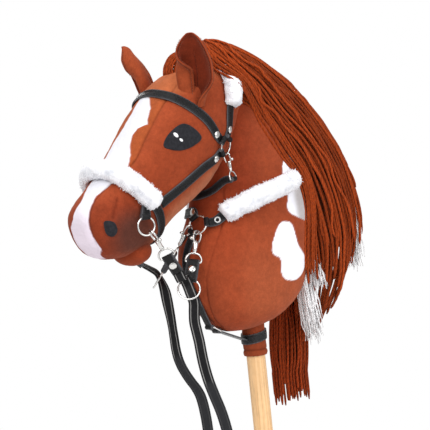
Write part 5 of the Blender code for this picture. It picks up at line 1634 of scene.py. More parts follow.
@dataclass
class LeatherBar:
    """Doubled leather hanging from a swivel eye's bar: two layers, stitched, with a rivet."""

    hook: SnapHook
    node: str
    length: float
    width: float
    thick: float
    round_end: bool
    rivet_share: float
    corner: float = 0.0007

    def build(self) -> None:
        """Makes the leather, its stitches and its rivet."""
        up = np.array(self.hook.place.up)
        bar = unit(np.array(self.hook.place.bar))
        flat = np.cross(up, bar)
        flat = flat if flat @ VIEW_TOWARDS > 0 else -flat
        centre, radius = self.hook.bar_centre(), self.thick / 2
        turn = np.radians(np.array((84, 68, 50, 32, 15, 0)))
        z, size = list(radius * np.sin(turn)), list(np.cos(turn))
        z += list(np.linspace(0, -self.length, 14)[1:])
        size += [1.0] * 13
        if self.round_end:
            z += list(-self.length - radius * np.sin(turn[::-1][1:]))
            size += list(np.cos(turn[::-1][1:]))
        z, size = np.array(z), np.array(size)
        profile, edge = self.section()
        section = np.broadcast_to(profile, (len(z), *profile.shape)).copy()
        section[..., 1] *= size[:, None]
        grid = sweep(centre + up * z[:, None], bar, flat, section)
        made = strap_surface(f"{self.node}_leather", grid, -z, profile, edge=edge)
        place_piece(made, Dress.LEATHER, self.node)
        rows = []
        for sign in (-1, 1):
            for face in (-1, 1):
                start = centre + bar * sign * (self.width / 2 - 0.002) + flat * face * (radius + 0.0001)
                line = start - up * np.linspace(0.001, self.length - 0.001, 20)[:, None]
                rows.append(stitch_row(line, np.broadcast_to(flat * face, line.shape)))
        place_piece(surface(f"{self.node}_stitches", np.concatenate(rows)), Dress.STITCH)
        spot = centre - up * self.length * self.rivet_share + flat * (radius + 0.0002)
        place_piece(dome(f"{self.node}_rivet", spot, flat), Dress.NICKEL)
        back = centre - up * self.length * self.rivet_share - flat * (radius + 0.0001)
        place_piece(dome(f"{self.node}_rivet_back", back, -flat, 0.0032, 0.0007), Dress.DULL_NICKEL)

    def section(self) -> tuple[np.ndarray, np.ndarray]:
        """Profile across the strap: rounded edges with a groove between the two layers."""
        half, deep, c = self.width / 2, self.thick / 2, self.corner
        rim = np.array(((half - 0.0006, 0.0), (half, 0.0005), (half, deep - c)))
        top = np.stack((np.linspace(half - c, c - half, 9), np.full(9, deep)), 1)
        points = doubled_profile(rim, top, c, 4)
        return points, smoothstep(np.abs(points[:, 0]), half - 1.6 * c, half - 0.4 * c)


# ---------------------------------------------------------------- sub-assemblies


@dataclass
class Studio:
    """Camera at the photograph's angle, soft lights, a pale floor and a white surround.

    The camera looks at a target from azimuth and elevation, rolled by a few degrees; the lens
    makes one pixel of the frame span pixel_size at the target.
    """

    azimuth: float = -40.0
    elevation: float = 2.0
    roll: float = 5.88
    distance: float = 2.0
    pixel_size: float = 0.00132
    shift_pixels: float = -26.3
    target_height: float = 0.25
    floor_height: float = -0.5
    lit: Triple = (-0.03, 0.0, 0.24)
    frame_pixels: int = 430
    sensor: float = 36.0

    def camera(self) -> None:
        """Creates the camera and makes it the scene's."""
        a, e, r = (math.radians(v) for v in (self.azimuth, self.elevation, self.roll))
        right = np.array((math.cos(a), math.sin(a), 0.0))
        back = np.array((math.sin(a) * math.cos(e), -math.cos(a) * math.cos(e), math.sin(e)))
        above = unit(np.cross(back, right))
        x_axis = math.cos(r) * right - math.sin(r) * above
        y_axis = math.sin(r) * right + math.cos(r) * above
        target = right * self.shift_pixels * self.pixel_size + UP * self.target_height
        lens = bpy.data.cameras.new("photo_camera")
        lens.sensor_width = self.sensor
        lens.lens = self.sensor * self.distance / (self.frame_pixels * self.pixel_size)
        lens.clip_start = 0.05
        camera = bpy.data.objects.new("photo_camera", lens)
        place = np.eye(4)
        place[:3, :3] = np.stack((x_axis, y_axis, back), 1)
        place[:3, 3] = target + back * self.distance
        camera.matrix_world = Matrix(place.tolist())
        bpy.context.scene.collection.objects.link(camera)
        bpy.context.scene.camera = camera

    def light(
        self, name: str, azimuth: float, elevation: float, size: float, power: float, reach: float = 2.2
    ) -> None:
        """A square soft light that looks at the horse's chest from a direction."""
        a, e = math.radians(azimuth), math.radians(elevation)
        out = Vector((math.sin(a) * math.cos(e), -math.cos(a) * math.cos(e), math.sin(e)))
        lamp = bpy.data.lights.new(name, "AREA")
        lamp.shape, lamp.size, lamp.energy = "SQUARE", size, power
        made = bpy.data.objects.new(name, lamp)
        made.location = Vector(self.lit) + out * reach
        made.rotation_euler = out.to_track_quat("Z", "Y").to_euler()
        bpy.context.scene.collection.objects.link(made)

    def surround(self) -> None:
        """White world and a round pale floor under the stick's end."""
        world = bpy.data.worlds.new("studio")
        world.use_nodes = True
        recipe = Recipe(world.node_tree)
        back = world.node_tree.nodes["Background"]
        back.inputs["Color"].default_value = (1.0, 1.0, 1.0, 1.0)
        back.inputs["Strength"].default_value = 0.5
        seen = recipe.node("Background", {"Color": (1.0, 1.0, 1.0, 1.0), "Strength": 1.0})
        share = recipe.node("LightPath").outputs["Is Camera Ray"]
        both = recipe.node("MixShader", {0: share, 1: back.outputs[0], 2: seen.outputs[0]})
        recipe.link(both.outputs[0], world.node_tree.nodes["World Output"], "Surface")
        bpy.context.scene.world = world
        turn = full_turn(96)
        radius = np.array((0.02, 0.6, 1.2, 1.8, 2.2))[:, None]
        grid = np.stack(
            (radius * np.cos(turn), radius * np.sin(turn), np.full((5, 96), self.floor_height)), -1
        )
        floor = surface("studio_floor", np.concatenate((grid, grid[::-1] - (0, 0, 0.01))))
        Dress.put(floor, Dress.FLOOR)

    def build(self) -> None:
        """Sets the whole studio; the plain view transform keeps white white."""
        bpy.context.scene.view_settings.view_transform = "Standard"
        self.camera()
        self.light("key", -62.0, 36.0, 1.3, 27.0)
        self.light("fill", 5.0, 18.0, 1.6, 20.0)
        self.light("top", -20.0, 82.0, 1.5, 16.0)
        self.light("back", 150.0, 30.0, 1.2, 16.0)
        self.surround()


@dataclass
class Reins:
    """One flat strap from the left rein hook, through both running rings, to the right one."""

    width: float = 0.014
    thickness: float = 0.0024
    piping_at: float = 0.0044
    piping_size: float = 0.00045
    points: int = 78
    route: tuple = (
        (-0.15141, -0.04435, 0.18872), (-0.14844, -0.0438, 0.18474), (-0.14546, -0.04325, 0.18075),
        (-0.144, -0.042, 0.1775), (-0.13355, -0.0332, 0.18143), (-0.13175, -0.03815, 0.16535),
        (-0.12995, -0.0431, 0.14927), (-0.1285, -0.0385, 0.125), (-0.1265, -0.041, 0.1),
        (-0.1245, -0.042, 0.075), (-0.119, -0.042, 0.049), (-0.111, -0.042, 0.026), (-0.102, -0.0415, 0.002),
        (-0.0935, -0.04, -0.03), (-0.086, -0.038, -0.07), (-0.081, -0.036, -0.115), (-0.078, -0.035, -0.16),
        (-0.076, -0.033, -0.2), (-0.0745, -0.024, -0.235), (-0.0735, -0.004, -0.254), (-0.072, 0.016, -0.25),
        (-0.07, 0.031, -0.229), (-0.067, 0.037, -0.195), (-0.064, 0.039, -0.15), (-0.0625, 0.0395, -0.1),
        (-0.063, 0.038, -0.05), (-0.067, 0.035, -0.012), (-0.076, 0.0315, 0.019), (-0.0905, 0.03, 0.04),
        (-0.1015, 0.03, 0.058), (-0.108, 0.03, 0.077), (-0.11, 0.03, 0.099), (-0.112, 0.03, 0.125),
        (-0.11797, 0.02979, 0.16483), (-0.1233, 0.0312, 0.17816), (-0.12863, 0.03261, 0.19149),
        (-0.13509, 0.037, 0.19127), (-0.13865, 0.03797, 0.19464), (-0.14221, 0.03894, 0.19802),
    )
    turns: tuple = (0.0, 0.06, 0.22, 0.34, 0.66, 0.76, 0.9, 1.0)
    leather_share: Pair = (0.165, 0.855)

    def build(self) -> None:
        """Sweeps a piped profile along the route, its width turned from key to key."""
        route = np.array(self.route)
        length = float(np.linalg.norm(np.diff(evenly(route, 0.002), axis=0), axis=1).sum())
        path = evenly(route, length / (self.points - 1))
        fine = evenly(path, 0.0024)
        share = np.linspace(0, 1, len(fine))
        keys = [
            (0.6097, -0.7072, 0.358), VIEW_RIGHT, VIEW_RIGHT, VIEW_RIGHT + VIEW_TOWARDS,
            VIEW_RIGHT + VIEW_TOWARDS,
        ]
        keys += [VIEW_RIGHT, VIEW_RIGHT + 0.8 * VIEW_TOWARDS, (0.5354, 0.772, 0.3427)]
        wide = keyed(share, np.array(self.turns), unit(np.array(keys, float)))
        ahead = unit(slopes(fine))
        wide = unit(wide - ahead * (wide * ahead).sum(1, keepdims=True))
        thin = np.cross(ahead, wide)
        half, deep, c = self.width / 2, self.thickness / 2, 0.0007
        s = np.linspace(half - c, c - half, 41)
        ridge = np.exp(-(((np.abs(s) - self.piping_at) / self.piping_size) ** 2))
        rim = np.array(((half, 0.0), (half, deep - c)))
        top = np.stack((s, deep - 0.00018 + 0.00026 * ridge), 1)
        section = doubled_profile(rim, top, c, 5)
        line = np.tile(np.concatenate((np.zeros(5), ridge, np.zeros(4))), 2)
        grid = sweep(fine, wide, thin, section)
        cloth = smoothstep(share, self.leather_share[0], self.leather_share[0] + 0.01)
        cloth = cloth * (1 - smoothstep(share, self.leather_share[1], self.leather_share[1] + 0.01))
        piping = (1 - 0.85 * cloth)[:, None] * line
        made = strap_surface("rein_strap", grid, run_of(fine), section, edge=piping, cloth=cloth[:, None])
        place_piece(made, Dress.REIN, "reins")


@dataclass
class Stick:
    """Turned dowel, and the plush sleeve that leaves the neck round it."""

    radius: float = STICK_RADIUS
    bottom: float = -0.5
    top: float = 0.299
    edge: float = 0.0015
    sleeve_wall: float = SLEEVE_WALL
    sleeve_bottom: float = 0.06
    sleeve_top: float = 0.125
    sleeve_colour: Triple = (0.26, 0.05, 0.018)

    def build(self) -> None:
        """Lathe forms about the stick's axis."""
        turn = np.linspace(0, np.pi / 2, 6)
        c, s = np.cos(turn) * self.edge, np.sin(turn) * self.edge
        low = np.stack((self.radius - self.edge + s, self.bottom + self.edge - c), 1)
        high = np.stack((self.radius - self.edge + c, self.top - self.edge + s), 1)
        middle = np.stack((np.full(60, self.radius), np.linspace(low[-1, 1], high[0, 1], 62)[1:-1]), 1)
        inner = np.array(((0.004, self.bottom),))
        profile = np.vstack((inner, low, middle, high, ((0.004, self.top),)))
        stick = surface("turned_stick", turned_form(profile, np.eye(4), 56))
        place_piece(stick, Dress.WOOD, "stick")
        inside = self.radius + GAP
        outside = inside + self.sleeve_wall
        z = np.linspace(self.sleeve_top, self.sleeve_bottom + 0.0016, 40)
        hem = 0.0007 * np.exp(-(((z - self.sleeve_bottom - 0.004) / 0.0022) ** 2))
        seam = -0.0008 * np.exp(-(((z - self.sleeve_bottom - 0.0085) / 0.0009) ** 2))
        wall = np.stack((outside + 0.0003 + hem + seam, z), 1)
        lip = np.array((
            (outside + 0.0004, self.sleeve_bottom + 0.0006),
            (outside - 0.0008, self.sleeve_bottom),
            (inside + 0.0002, self.sleeve_bottom + 0.0004),
        ))
        back = np.stack((np.full(8, inside), np.linspace(self.sleeve_bottom + 0.001, self.sleeve_top, 8)), 1)
        profile = np.vstack((wall, lip, back))
        grid = turned_form(profile, np.eye(4), 72)
        puff = value_noise(grid, 0.011, 3) * 0.0005 + value_noise(grid, 0.004, 5) * 0.0003
        out = unit(grid * (1, 1, 0))
        keep = (np.arange(len(profile)) < len(z)).astype(float)[:, None]
        grid = grid + out * (puff * keep)[..., None]
        seam_mark = np.exp(-(((profile[:, 1] - self.sleeve_bottom - 0.0085) / 0.0012) ** 2))[:, None]
        tint = np.broadcast_to(np.array(self.sleeve_colour), grid.shape)
        made = surface("plush_sleeve", grid, along=True, tint=tint, seam=seam_mark * keep)
        place_piece(made, Dress.PLUSH, "sleeve")


def line_distance(points: np.ndarray, line: np.ndarray) -> np.ndarray:
    """Distance of each point to a polyline: the least over its stretches of |p - a - t(b - a)|."""
    best = np.full(points.shape[:-1], np.inf)
    for a, b in zip(line[:-1], line[1:]):
        along = b - a
        t = np.clip(((points - a) @ along) / (along @ along), 0, 1)
        best = np.minimum(best, np.linalg.norm(points - a - t[..., None] * along, axis=-1))
    return best


def smooth_outline(points: np.ndarray | tuple, step: float) -> np.ndarray:
    """A closed plane outline, (n, 2), rounded and evenly spaced."""
    return evenly(np.insert(np.array(points), 1, 0, axis=1), step, closed=True)[:, ::2]


def polygon_depth(x: np.ndarray, y: np.ndarray, outline: np.ndarray) -> np.ndarray:
    """Signed distance to a closed outline in a plane, positive inside it."""
    inside = np.zeros(x.shape, bool)
    best = np.full(x.shape, np.inf)
    for (ax, ay), (bx, by) in zip(outline, np.roll(outline, -1, axis=0)):
        dx, dy = bx - ax, by - ay
        t = np.clip(((x - ax) * dx + (y - ay) * dy) / (dx * dx + dy * dy), 0, 1)
        best = np.minimum(best, np.hypot(x - ax - t * dx, y - ay - t * dy))
        crosses = ((ay > y) != (by > y)) & (x < (bx - ax) * (y - ay) / (by - ay + 1e-15) + ax)
        inside ^= crosses
    return np.where(inside, best, -best)


@dataclass
class PlushBody:
    """Head, lower jaw and neck: sewn velour skins over filling, with seams and pinto marks."""

    head: Skin
    neck: Skin
    pile: float = 0.0007
    chestnut: Triple = (0.32, 0.058, 0.02)
    # Painted light: the forehead lighter, as where light falls on the top of the head.
    forehead: Triple = (0.43, 0.115, 0.042)
    strip: Triple = (0.345, 0.074, 0.022)
    panel: Triple = (0.265, 0.043, 0.014)
    # Painted shade towards the mouth, on the muzzle and the jaw's top.
    muzzle: Triple = (0.08, 0.03, 0.022)
    # The blaze's white; the neck patches use it 1.27 times lighter, as painted light where less light reaches
    # the neck.
    white: Triple = (0.76, 0.76, 0.81)
    nose_white: Triple = (0.8, 0.7, 0.79)
    # Painted light: the lit underside of the head below the cheek strap.
    cheek: Triple = (0.44, 0.15, 0.075)
    # Painted shade under the muzzle, at the chin.
    chin: Triple = (0.2, 0.03, 0.011)
    # Painted light: the lower neck lighter.
    neck_front: Triple = (0.39, 0.088, 0.034)
    neck_side: Triple = (0.3, 0.045, 0.014)
    neck_foot: Triple = (0.26, 0.042, 0.014)
    # Painted shadow that the jaw casts on the neck.
    neck_shade: Triple = (0.13, 0.016, 0.006)
    # Painted shadow on the upper white patch, near the neck fleece.
    dim_white: Triple = (0.42, 0.38, 0.37)
    head_seam: tuple = (
        (-0.066, -0.03, 0.444), (-0.104, -0.032, 0.427), (-0.136, -0.0322, 0.3989),
        (-0.1594, -0.0332, 0.3716), (-0.1733, -0.0329, 0.3541), (-0.1881, -0.0333, 0.3342),
        (-0.1984, -0.0309, 0.3245), (-0.214, -0.0265, 0.312), (-0.2294, -0.0225, 0.3029),
        (-0.2427, -0.0205, 0.2936), (-0.2527, -0.0208, 0.2833), (-0.2594, -0.022, 0.27),
        (-0.2599, -0.0215, 0.2592), (-0.256, -0.021, 0.245), (-0.2517, -0.02, 0.236),
        (-0.2445, -0.012, 0.225),
    )
    neck_seam: tuple = (
        (-0.0539, -0.0326, 0.2828), (-0.0607, -0.0355, 0.2512), (-0.0728, -0.0358, 0.2255),
        (-0.0849, -0.033, 0.2014), (-0.09, -0.0265, 0.18), (-0.0882, -0.0202, 0.1591),
        (-0.0816, -0.014, 0.1369), (-0.069, -0.0087, 0.1169), (-0.056, -0.006, 0.105),
    )
    blaze_near: tuple = (
        (0.215, -0.006), (0.2211, -0.0113), (0.2271, -0.0205), (0.2297, -0.0224), (0.236, -0.0217),
        (0.245, -0.0201), (0.2592, -0.0208), (0.27, -0.022), (0.2833, -0.0203), (0.2936, -0.018),
        (0.3029, -0.0219), (0.3247, -0.0298), (0.3385, -0.0272), (0.351, -0.0194), (0.3633, -0.0155),
        (0.3705, -0.0192), (0.3739, -0.0287), (0.3932, -0.0205), (0.4064, -0.0087), (0.413, 0.0),
    )
    blaze_far: tuple = (
        (0.215, 0.014), (0.2286, 0.015), (0.245, 0.0175), (0.2576, 0.015), (0.2678, 0.005), (0.287, -0.001),
        (0.296, 0.004), (0.3055, 0.0105), (0.3384, 0.016), (0.3562, 0.0162), (0.3738, 0.012),
        (0.3893, 0.0112), (0.4074, 0.0125), (0.413, 0.01),
    )
    lower_patch: tuple = (
        (0.0234, 0.2334), (0.0385, 0.2292), (0.044, 0.2122), (0.0477, 0.1991), (0.0636, 0.1827),
        (0.064, 0.1701), (0.0502, 0.1585), (0.0336, 0.1553), (0.0161, 0.1593), (0.01, 0.1691),
        (0.0091, 0.1854), (-0.0029, 0.1939), (-0.0043, 0.2031), (0.0043, 0.2184), (0.0146, 0.2298),
    )
    upper_patch: tuple = (
        (0.0351, 0.3028), (0.0396, 0.3117), (0.05, 0.3177), (0.07, 0.3116), (0.09, 0.2907), (0.095, 0.2768),
        (0.09, 0.2472), (0.078, 0.2315), (0.0686, 0.2315), (0.0517, 0.2373), (0.0399, 0.243),
        (0.0353, 0.2519), (0.0392, 0.2637), (0.0396, 0.28), (0.0361, 0.2922),
    )

    def puff(
        self, points: np.ndarray, normals: np.ndarray, seams: list[np.ndarray], folds: list
    ) -> tuple[np.ndarray, np.ndarray]:
        """Raises the pile over the skin and draws the seams in.

        Height = pile + filling lumps of two sizes + nap - grooves. At a distance d from a seam
        its groove is 1.2 mm * exp(-(d / 1.4 mm)^2) + 0.8 mm * exp(-(d / 6 mm)^2).

        Args:
            points: Points on the skin.
            normals: Outward normals.
            seams: Polylines of the seams.
            folds: (polyline, depth, reach) of soft creases, which also get painted shade.

        Returns:
            The raised points, and how much each lies in a seam line or in a crease's painted shade.
        """
        height = self.pile + value_noise(points, 0.034, 1) * 0.0007 + value_noise(points, 0.013, 2) * 0.00035
        height += value_noise(points, 0.0042, 4) * 0.00022
        seam = np.zeros(points.shape[:-1])
        for line in seams:
            distance = line_distance(points, line)
            height -= (
                0.0012 * np.exp(-((distance / 0.0014) ** 2)) + 0.0008 * np.exp(-((distance / 0.006) ** 2))
            )
            seam = np.maximum(seam, np.exp(-((distance / 0.0011) ** 2)))
        for line, depth, reach in folds:
            distance = line_distance(points, np.array(line))
            height -= depth * np.exp(-((distance / reach) ** 2))
            # Painted shade in the crease, carried by the seam mask.
            seam = np.maximum(seam, 0.7 * np.exp(-((distance / (reach * 0.5)) ** 2)))
        return points + normals * height[..., None], seam

    @staticmethod
    def both_sides(line: tuple) -> list[np.ndarray]:
        """A left-side polyline and its mirror image."""
        line = np.array(line)
        return [evenly(line, 0.004), evenly(line * MIRROR, 0.004)]

    @staticmethod
    def painted(base: Triple, points: np.ndarray, *coats: tuple[Triple, np.ndarray]) -> np.ndarray:
        """A base colour at each point, with coats of a colour and a share laid over it in order."""
        tint = np.broadcast_to(np.array(base), points.shape)
        for colour, share in coats:
            tint = tint + (np.array(colour) - tint) * share[..., None]
        return tint

    def head_tint(self, points: np.ndarray, v: np.ndarray) -> np.ndarray:
        """Paints the head: gusset strip, side panel and white blaze, with painted light on the forehead and
        on the underside below the cheek strap, and painted shade on the muzzle and chin towards the mouth.
        """
        x, y, z = (points[..., k] for k in range(3))
        uneven = value_noise(points, 0.02, 9) * 0.0008 + value_noise(points, 0.005, 11) * 0.0004
        off = np.minimum(v, Skin.SIDES - v)
        wide = np.abs(y)
        front = smoothstep(off, 3.6, 2.8)
        # The underside below the cheek strap, which gets painted light.
        under = smoothstep(off, 3.7, 4.6) * smoothstep(x, -0.185, -0.15) * smoothstep(z, 0.34, 0.3)
        away = np.linalg.norm((points - (-0.205, 0.0, 0.243)) * (0.8, 0, 1), axis=-1)
        near, far = (np.interp(z, *np.array(edge).T) for edge in (self.blaze_near, self.blaze_far))
        inside = np.minimum(y - near, far - y) + uneven
        nose = np.maximum(front, smoothstep(x, -0.226, -0.234))
        blaze = (
            smoothstep(inside, -0.0006, 0.0006)
            * nose
            * smoothstep(z, 0.2155, 0.2175)
            * smoothstep(z, 0.415, 0.413)
        )
        tint = self.painted(
            self.chestnut,
            points,
            (self.panel, smoothstep(off, 1.5, 2.6) * smoothstep(z, 0.44, 0.38) * 0.75),
            (self.strip, front * smoothstep(wide, 0.036, 0.031) * smoothstep(z, 0.3, 0.33)),
            # painted light on the forehead
            (self.forehead, front * smoothstep(z, 0.398, 0.418) * smoothstep(wide, 0.05, 0.034)),
            # painted light on the underside
            (self.cheek, under * 0.8),
            # painted shade on the chin and on the muzzle towards the mouth
            (self.chin, smoothstep(x, -0.185, -0.215) * smoothstep(z, 0.3, 0.275) * 0.6),
            (self.muzzle, smoothstep(away, 0.042, 0.012) * smoothstep(wide, 0.015, 0.032) * 0.85),
            (self.white, blaze),
        )
        warm = self.painted(self.white, points, (self.nose_white, smoothstep(z, 0.3, 0.25)))
        return tint + (warm - np.array(self.white)) * blaze[..., None]

    def neck_tint(self, points: np.ndarray, v: np.ndarray) -> np.ndarray:
        """Paints the neck: painted light on the lower neck, the jaw's painted shadow high on the front,
        darker towards the foot and down the front, and the white patches.
        """
        x, y, z = (points[..., k] for k in range(3))
        depth = np.maximum(
            *(
                polygon_depth(x, z, smooth_outline(patch, 0.003))
                for patch in (self.lower_patch, self.upper_patch)
            )
        )
        depth = depth + value_noise(points, 0.007, 21) * 0.0006
        share = smoothstep(depth, -0.0006, 0.0006) * smoothstep(np.abs(y), 0.015, 0.025)
        patch_shadow = smoothstep(x, 0.047, 0.062) * smoothstep(z, 0.185, 0.215) * share
        return self.painted(
            self.chestnut,
            points,
            # painted light on the lower neck
            (self.neck_front, smoothstep(z, 0.24, 0.15) * 0.8),
            # the jaw's painted shadow on the upper front of the neck
            (self.neck_shade, smoothstep(z, 0.235, 0.29) * smoothstep(x, 0.02, -0.045) * 0.85),
            (self.neck_foot, smoothstep(z, 0.13, 0.1) * 0.7),
            (self.neck_side, smoothstep(np.minimum(v, Skin.SIDES - v), 2.6, 1.6) * 0.6),
            # the same white fabric painted 1.27 times lighter: painted light where less light reaches the
            # neck
            (tuple(1.27 * part for part in self.white), share),
            # painted shadow on the back of the upper patch
            (self.dim_white, patch_shadow * 0.8),
        )

    def build(self) -> None:
        """Makes the three stuffed pieces."""
        points, normals, v = self.head.mesh_grid(0.00125, 272)
        # Creases beside the muzzle: grooves, with painted shade in them.
        creases = [
            (
                (
                    (-0.2252, s * 0.0347, 0.2885), (-0.2291, s * 0.0366, 0.2803),
                    (-0.2334, s * 0.0371, 0.2735), (-0.2366, s * 0.0379, 0.2653),
                ),
                0.0012,
                0.0035,
            )
            for s in (-1, 1)
        ]
        raised, seam = self.puff(points, normals, self.both_sides(self.head_seam), creases)
        made = surface("plush_head", raised, tint=self.head_tint(points, v), seam=seam)
        place_piece(made, Dress.PLUSH, "head", padded=0.85)
        points, normals, v = self.neck.mesh_grid(0.0016, 300)
        # A fold low on the neck's left side: a groove, with painted shade in it.
        folds = [(((0.03, -0.055, 0.13), (-0.01, -0.054, 0.122), (-0.045, -0.045, 0.118)), 0.001, 0.006)]
        raised, seam = self.puff(points, normals, self.both_sides(self.neck_seam), folds)
        made = surface("plush_neck", raised, tint=self.neck_tint(points, v), seam=seam)
        place_piece(made, Dress.PLUSH, "neck", padded=0.85)
        self.jaw()

    def jaw(self, centre: Triple = (-0.186, 0.0, 0.22), reach: Triple = (0.0195, 0.031, 0.0175)) -> None:
        """The chin lobe: an egg under the mouth fold, with the same pile."""
        latitude = np.linspace(0.04, np.pi - 0.04, 70)[:, None]
        turn = full_turn(110)[None]
        ball = np.stack((
            np.cos(latitude) + 0 * turn, np.sin(latitude) * np.cos(turn), np.sin(latitude) * np.sin(turn)
        ), -1)
        points = ball * np.array(reach) + np.array(centre)
        normals = unit(ball / np.array(reach))
        raised, seam = self.puff(points, normals, [], [])
        # The jaw's top, at the mouth fold, is painted darker as shade.
        tint = self.painted(self.panel, points, (self.muzzle, smoothstep(points[..., 2], 0.218, 0.232) * 0.7))
        made = surface("plush_jaw", raised, tint=tint, seam=seam)
        place_piece(made, Dress.PLUSH, "lower_jaw", padded=0.8)


@dataclass
class Ear:
    """A plush ear: a leaf folded to a cup, open at the front, with a stitched rim."""

    side: Side
    base: Triple = (-0.092, -0.044, 0.394)
    tip: Triple = (-0.111, -0.067, 0.482)
    opens: Triple = (-0.76, -0.64, 0.08)
    wall: float = 0.005
    shell: Triple = (0.32, 0.06, 0.02)
    # The lining is the shell's plush, painted darker as the shade inside the cup.
    lining: Triple = (0.185, 0.026, 0.009)
    outline: tuple = (
        (0.0, 0.0215), (0.2, 0.028), (0.4, 0.0305), (0.62, 0.0305), (0.82, 0.0238), (0.93, 0.015),
        (1.0, 0.005),
    )
    flap: float = 2.35
    fold_base: float = 1.6
    fold_tip: float = 1.3

    def leaf(self, height: np.ndarray, across: np.ndarray) -> np.ndarray:
        """The leaf's middle surface: at each height its tangent turns evenly from -bend to bend.

        On the inner side (across < 0) the lower two thirds turn on by the flap's angle over a
        short stretch, so that the rim folds inwards over the lining.

        Args:
            height: 0 at the base, 1 at the tip.
            across: -1 to 1 over the leaf.

        Returns:
            Points for the left ear.
        """
        base, tip = np.array(self.base), np.array(self.tip)
        up = unit(tip - base)
        opens = np.array(self.opens)
        opens = unit(opens - up * opens.dot(up))
        wide = np.cross(up, opens)
        table = np.array(self.outline)
        fine = np.linspace(0, 1, 200)
        soft = np.interp(fine, *table.T)
        for _ in range(60):
            soft[1:-1] = (soft[:-2] + 2 * soft[1:-1] + soft[2:]) / 4
        half = np.interp(height, fine, soft)
        outer = across > 0
        half = half * (1 + 0.17 * outer * np.exp(-(((height - 0.42) / 0.26) ** 2)))
        bend = (
            self.fold_base
            + (self.fold_tip - self.fold_base) * height
            + 1.25 * outer * smoothstep(height, 0.36, 0.02)
        )
        lean = 0.01 * (1 - height) ** 2 + 0.01 * height**1.5 - 0.0045 * smoothstep(height, 0.8, 1.0)
        middle = base + (tip - base) * height[..., None] + opens * lean[..., None]
        start, full = (0.78, 0.42) if self.side is Side.LEFT else (1.06, 0.3)
        folds = smoothstep(height, start, full) * (0.75 + 0.25 * smoothstep(height, 0.0, 0.25)) * (across < 0)
        reach = np.abs(across)[..., None] * (np.arange(40) + 0.5) / 40
        turned = reach * bend[..., None] + self.flap * folds[..., None] * smoothstep(reach, 0.42, 0.68)
        length = (half * np.abs(across) * (1 + 0.55 * folds))[..., None]
        aside = (np.cos(turned) * length).mean(-1, keepdims=True) * np.sign(across)[..., None]
        ahead = (np.sin(turned) * length).mean(-1, keepdims=True) - 0.5 * half[..., None]
        return middle + aside * wide + ahead * opens

    def build(self) -> None:
        """Walls either side of the leaf, joined by a round rim; the stitch row follows the rim."""
        rows, half = 96, 72
        height = np.linspace(0, 1, rows) ** 0.96
        across = np.linspace(-1, 1, half)
        h, a = np.meshgrid(height, across, indexing="ij")
        middle = self.leaf(h, a)
        by_h, by_a = np.gradient(middle, axis=0), np.gradient(middle, axis=1)
        normal = unit(np.cross(by_a, by_h))
        edge_soft = np.sqrt(np.clip(1 - np.abs(a) ** 9, 0, 1)) * np.sqrt(np.clip(1 - h**14, 0.0, 1))
        thick = self.wall / 2 * (0.16 + 0.84 * edge_soft) * (1.0 - 0.25 * h)
        off_row = ((1 - np.abs(a)) / 0.045 - 2.0) ** 2
        thick = thick - 0.0009 * np.exp(-off_row) * smoothstep(h, 0.02, 0.1)
        outside = middle + normal * (thick + 0.0002)[..., None]
        inside = middle - normal * (thick + 0.0002)[..., None]
        grid = np.concatenate((outside, inside[:, ::-1]), axis=1)
        grid = grid + value_noise(grid, 0.009, 31 + self.side.value)[..., None] * 0.0004
        grid[..., 1] *= -self.side.value
        # The lining face gets painted shade, deepest towards the base; the outer face is a little darker
        # towards the base.
        tint = np.broadcast_to(np.array(self.shell), outside.shape)
        inner = np.broadcast_to(np.array(self.lining), inside.shape)
        shade = 1.0 - 0.5 * smoothstep(h, 0.5, 0.0)
        tints = np.concatenate(
            (inner * shade[..., None], (tint * (0.85 + 0.15 * h)[..., None])[:, ::-1]), axis=1
        )
        stitch = np.exp(-(off_row * 2.0))
        seam = np.concatenate((stitch, stitch[:, ::-1]), axis=1) * 0.7
        word = self.side.word
        made = surface(f"plush_ear_{word}", grid, tint=tints, seam=seam)
        place_piece(made, Dress.EAR, f"ear_{word}", padded=0.5)
        self.stitches(word)

    def stitches(self, word: str) -> None:
        """A row of stitches along the rim, on both faces."""
        height = np.concatenate((np.linspace(0.12, 0.93, 40), np.linspace(0.93, 0.12, 40)))
        across = np.concatenate((np.full(40, -0.9), np.full(40, 0.9)))
        line = self.leaf(height, across)
        step = 0.004
        normal = unit(
            np.cross(
                self.leaf(height, across + step) - line,
                self.leaf(np.clip(height + step, 0, 1), across) - line,
            )
        )
        rows = []
        for sign in (-1, 1):
            for part in (slice(0, 40), slice(40, 80)):
                raised = line[part] + normal[part] * sign * (self.wall / 2 * 0.86)
                rows.append(stitch_row(raised, normal[part] * sign, 0.003, 0.0021))
        grids = np.concatenate(rows)
        grids[..., 1] *= -self.side.value
        place_piece(surface(f"ear_stitches_{word}", grids), Dress.SEAM_THREAD)


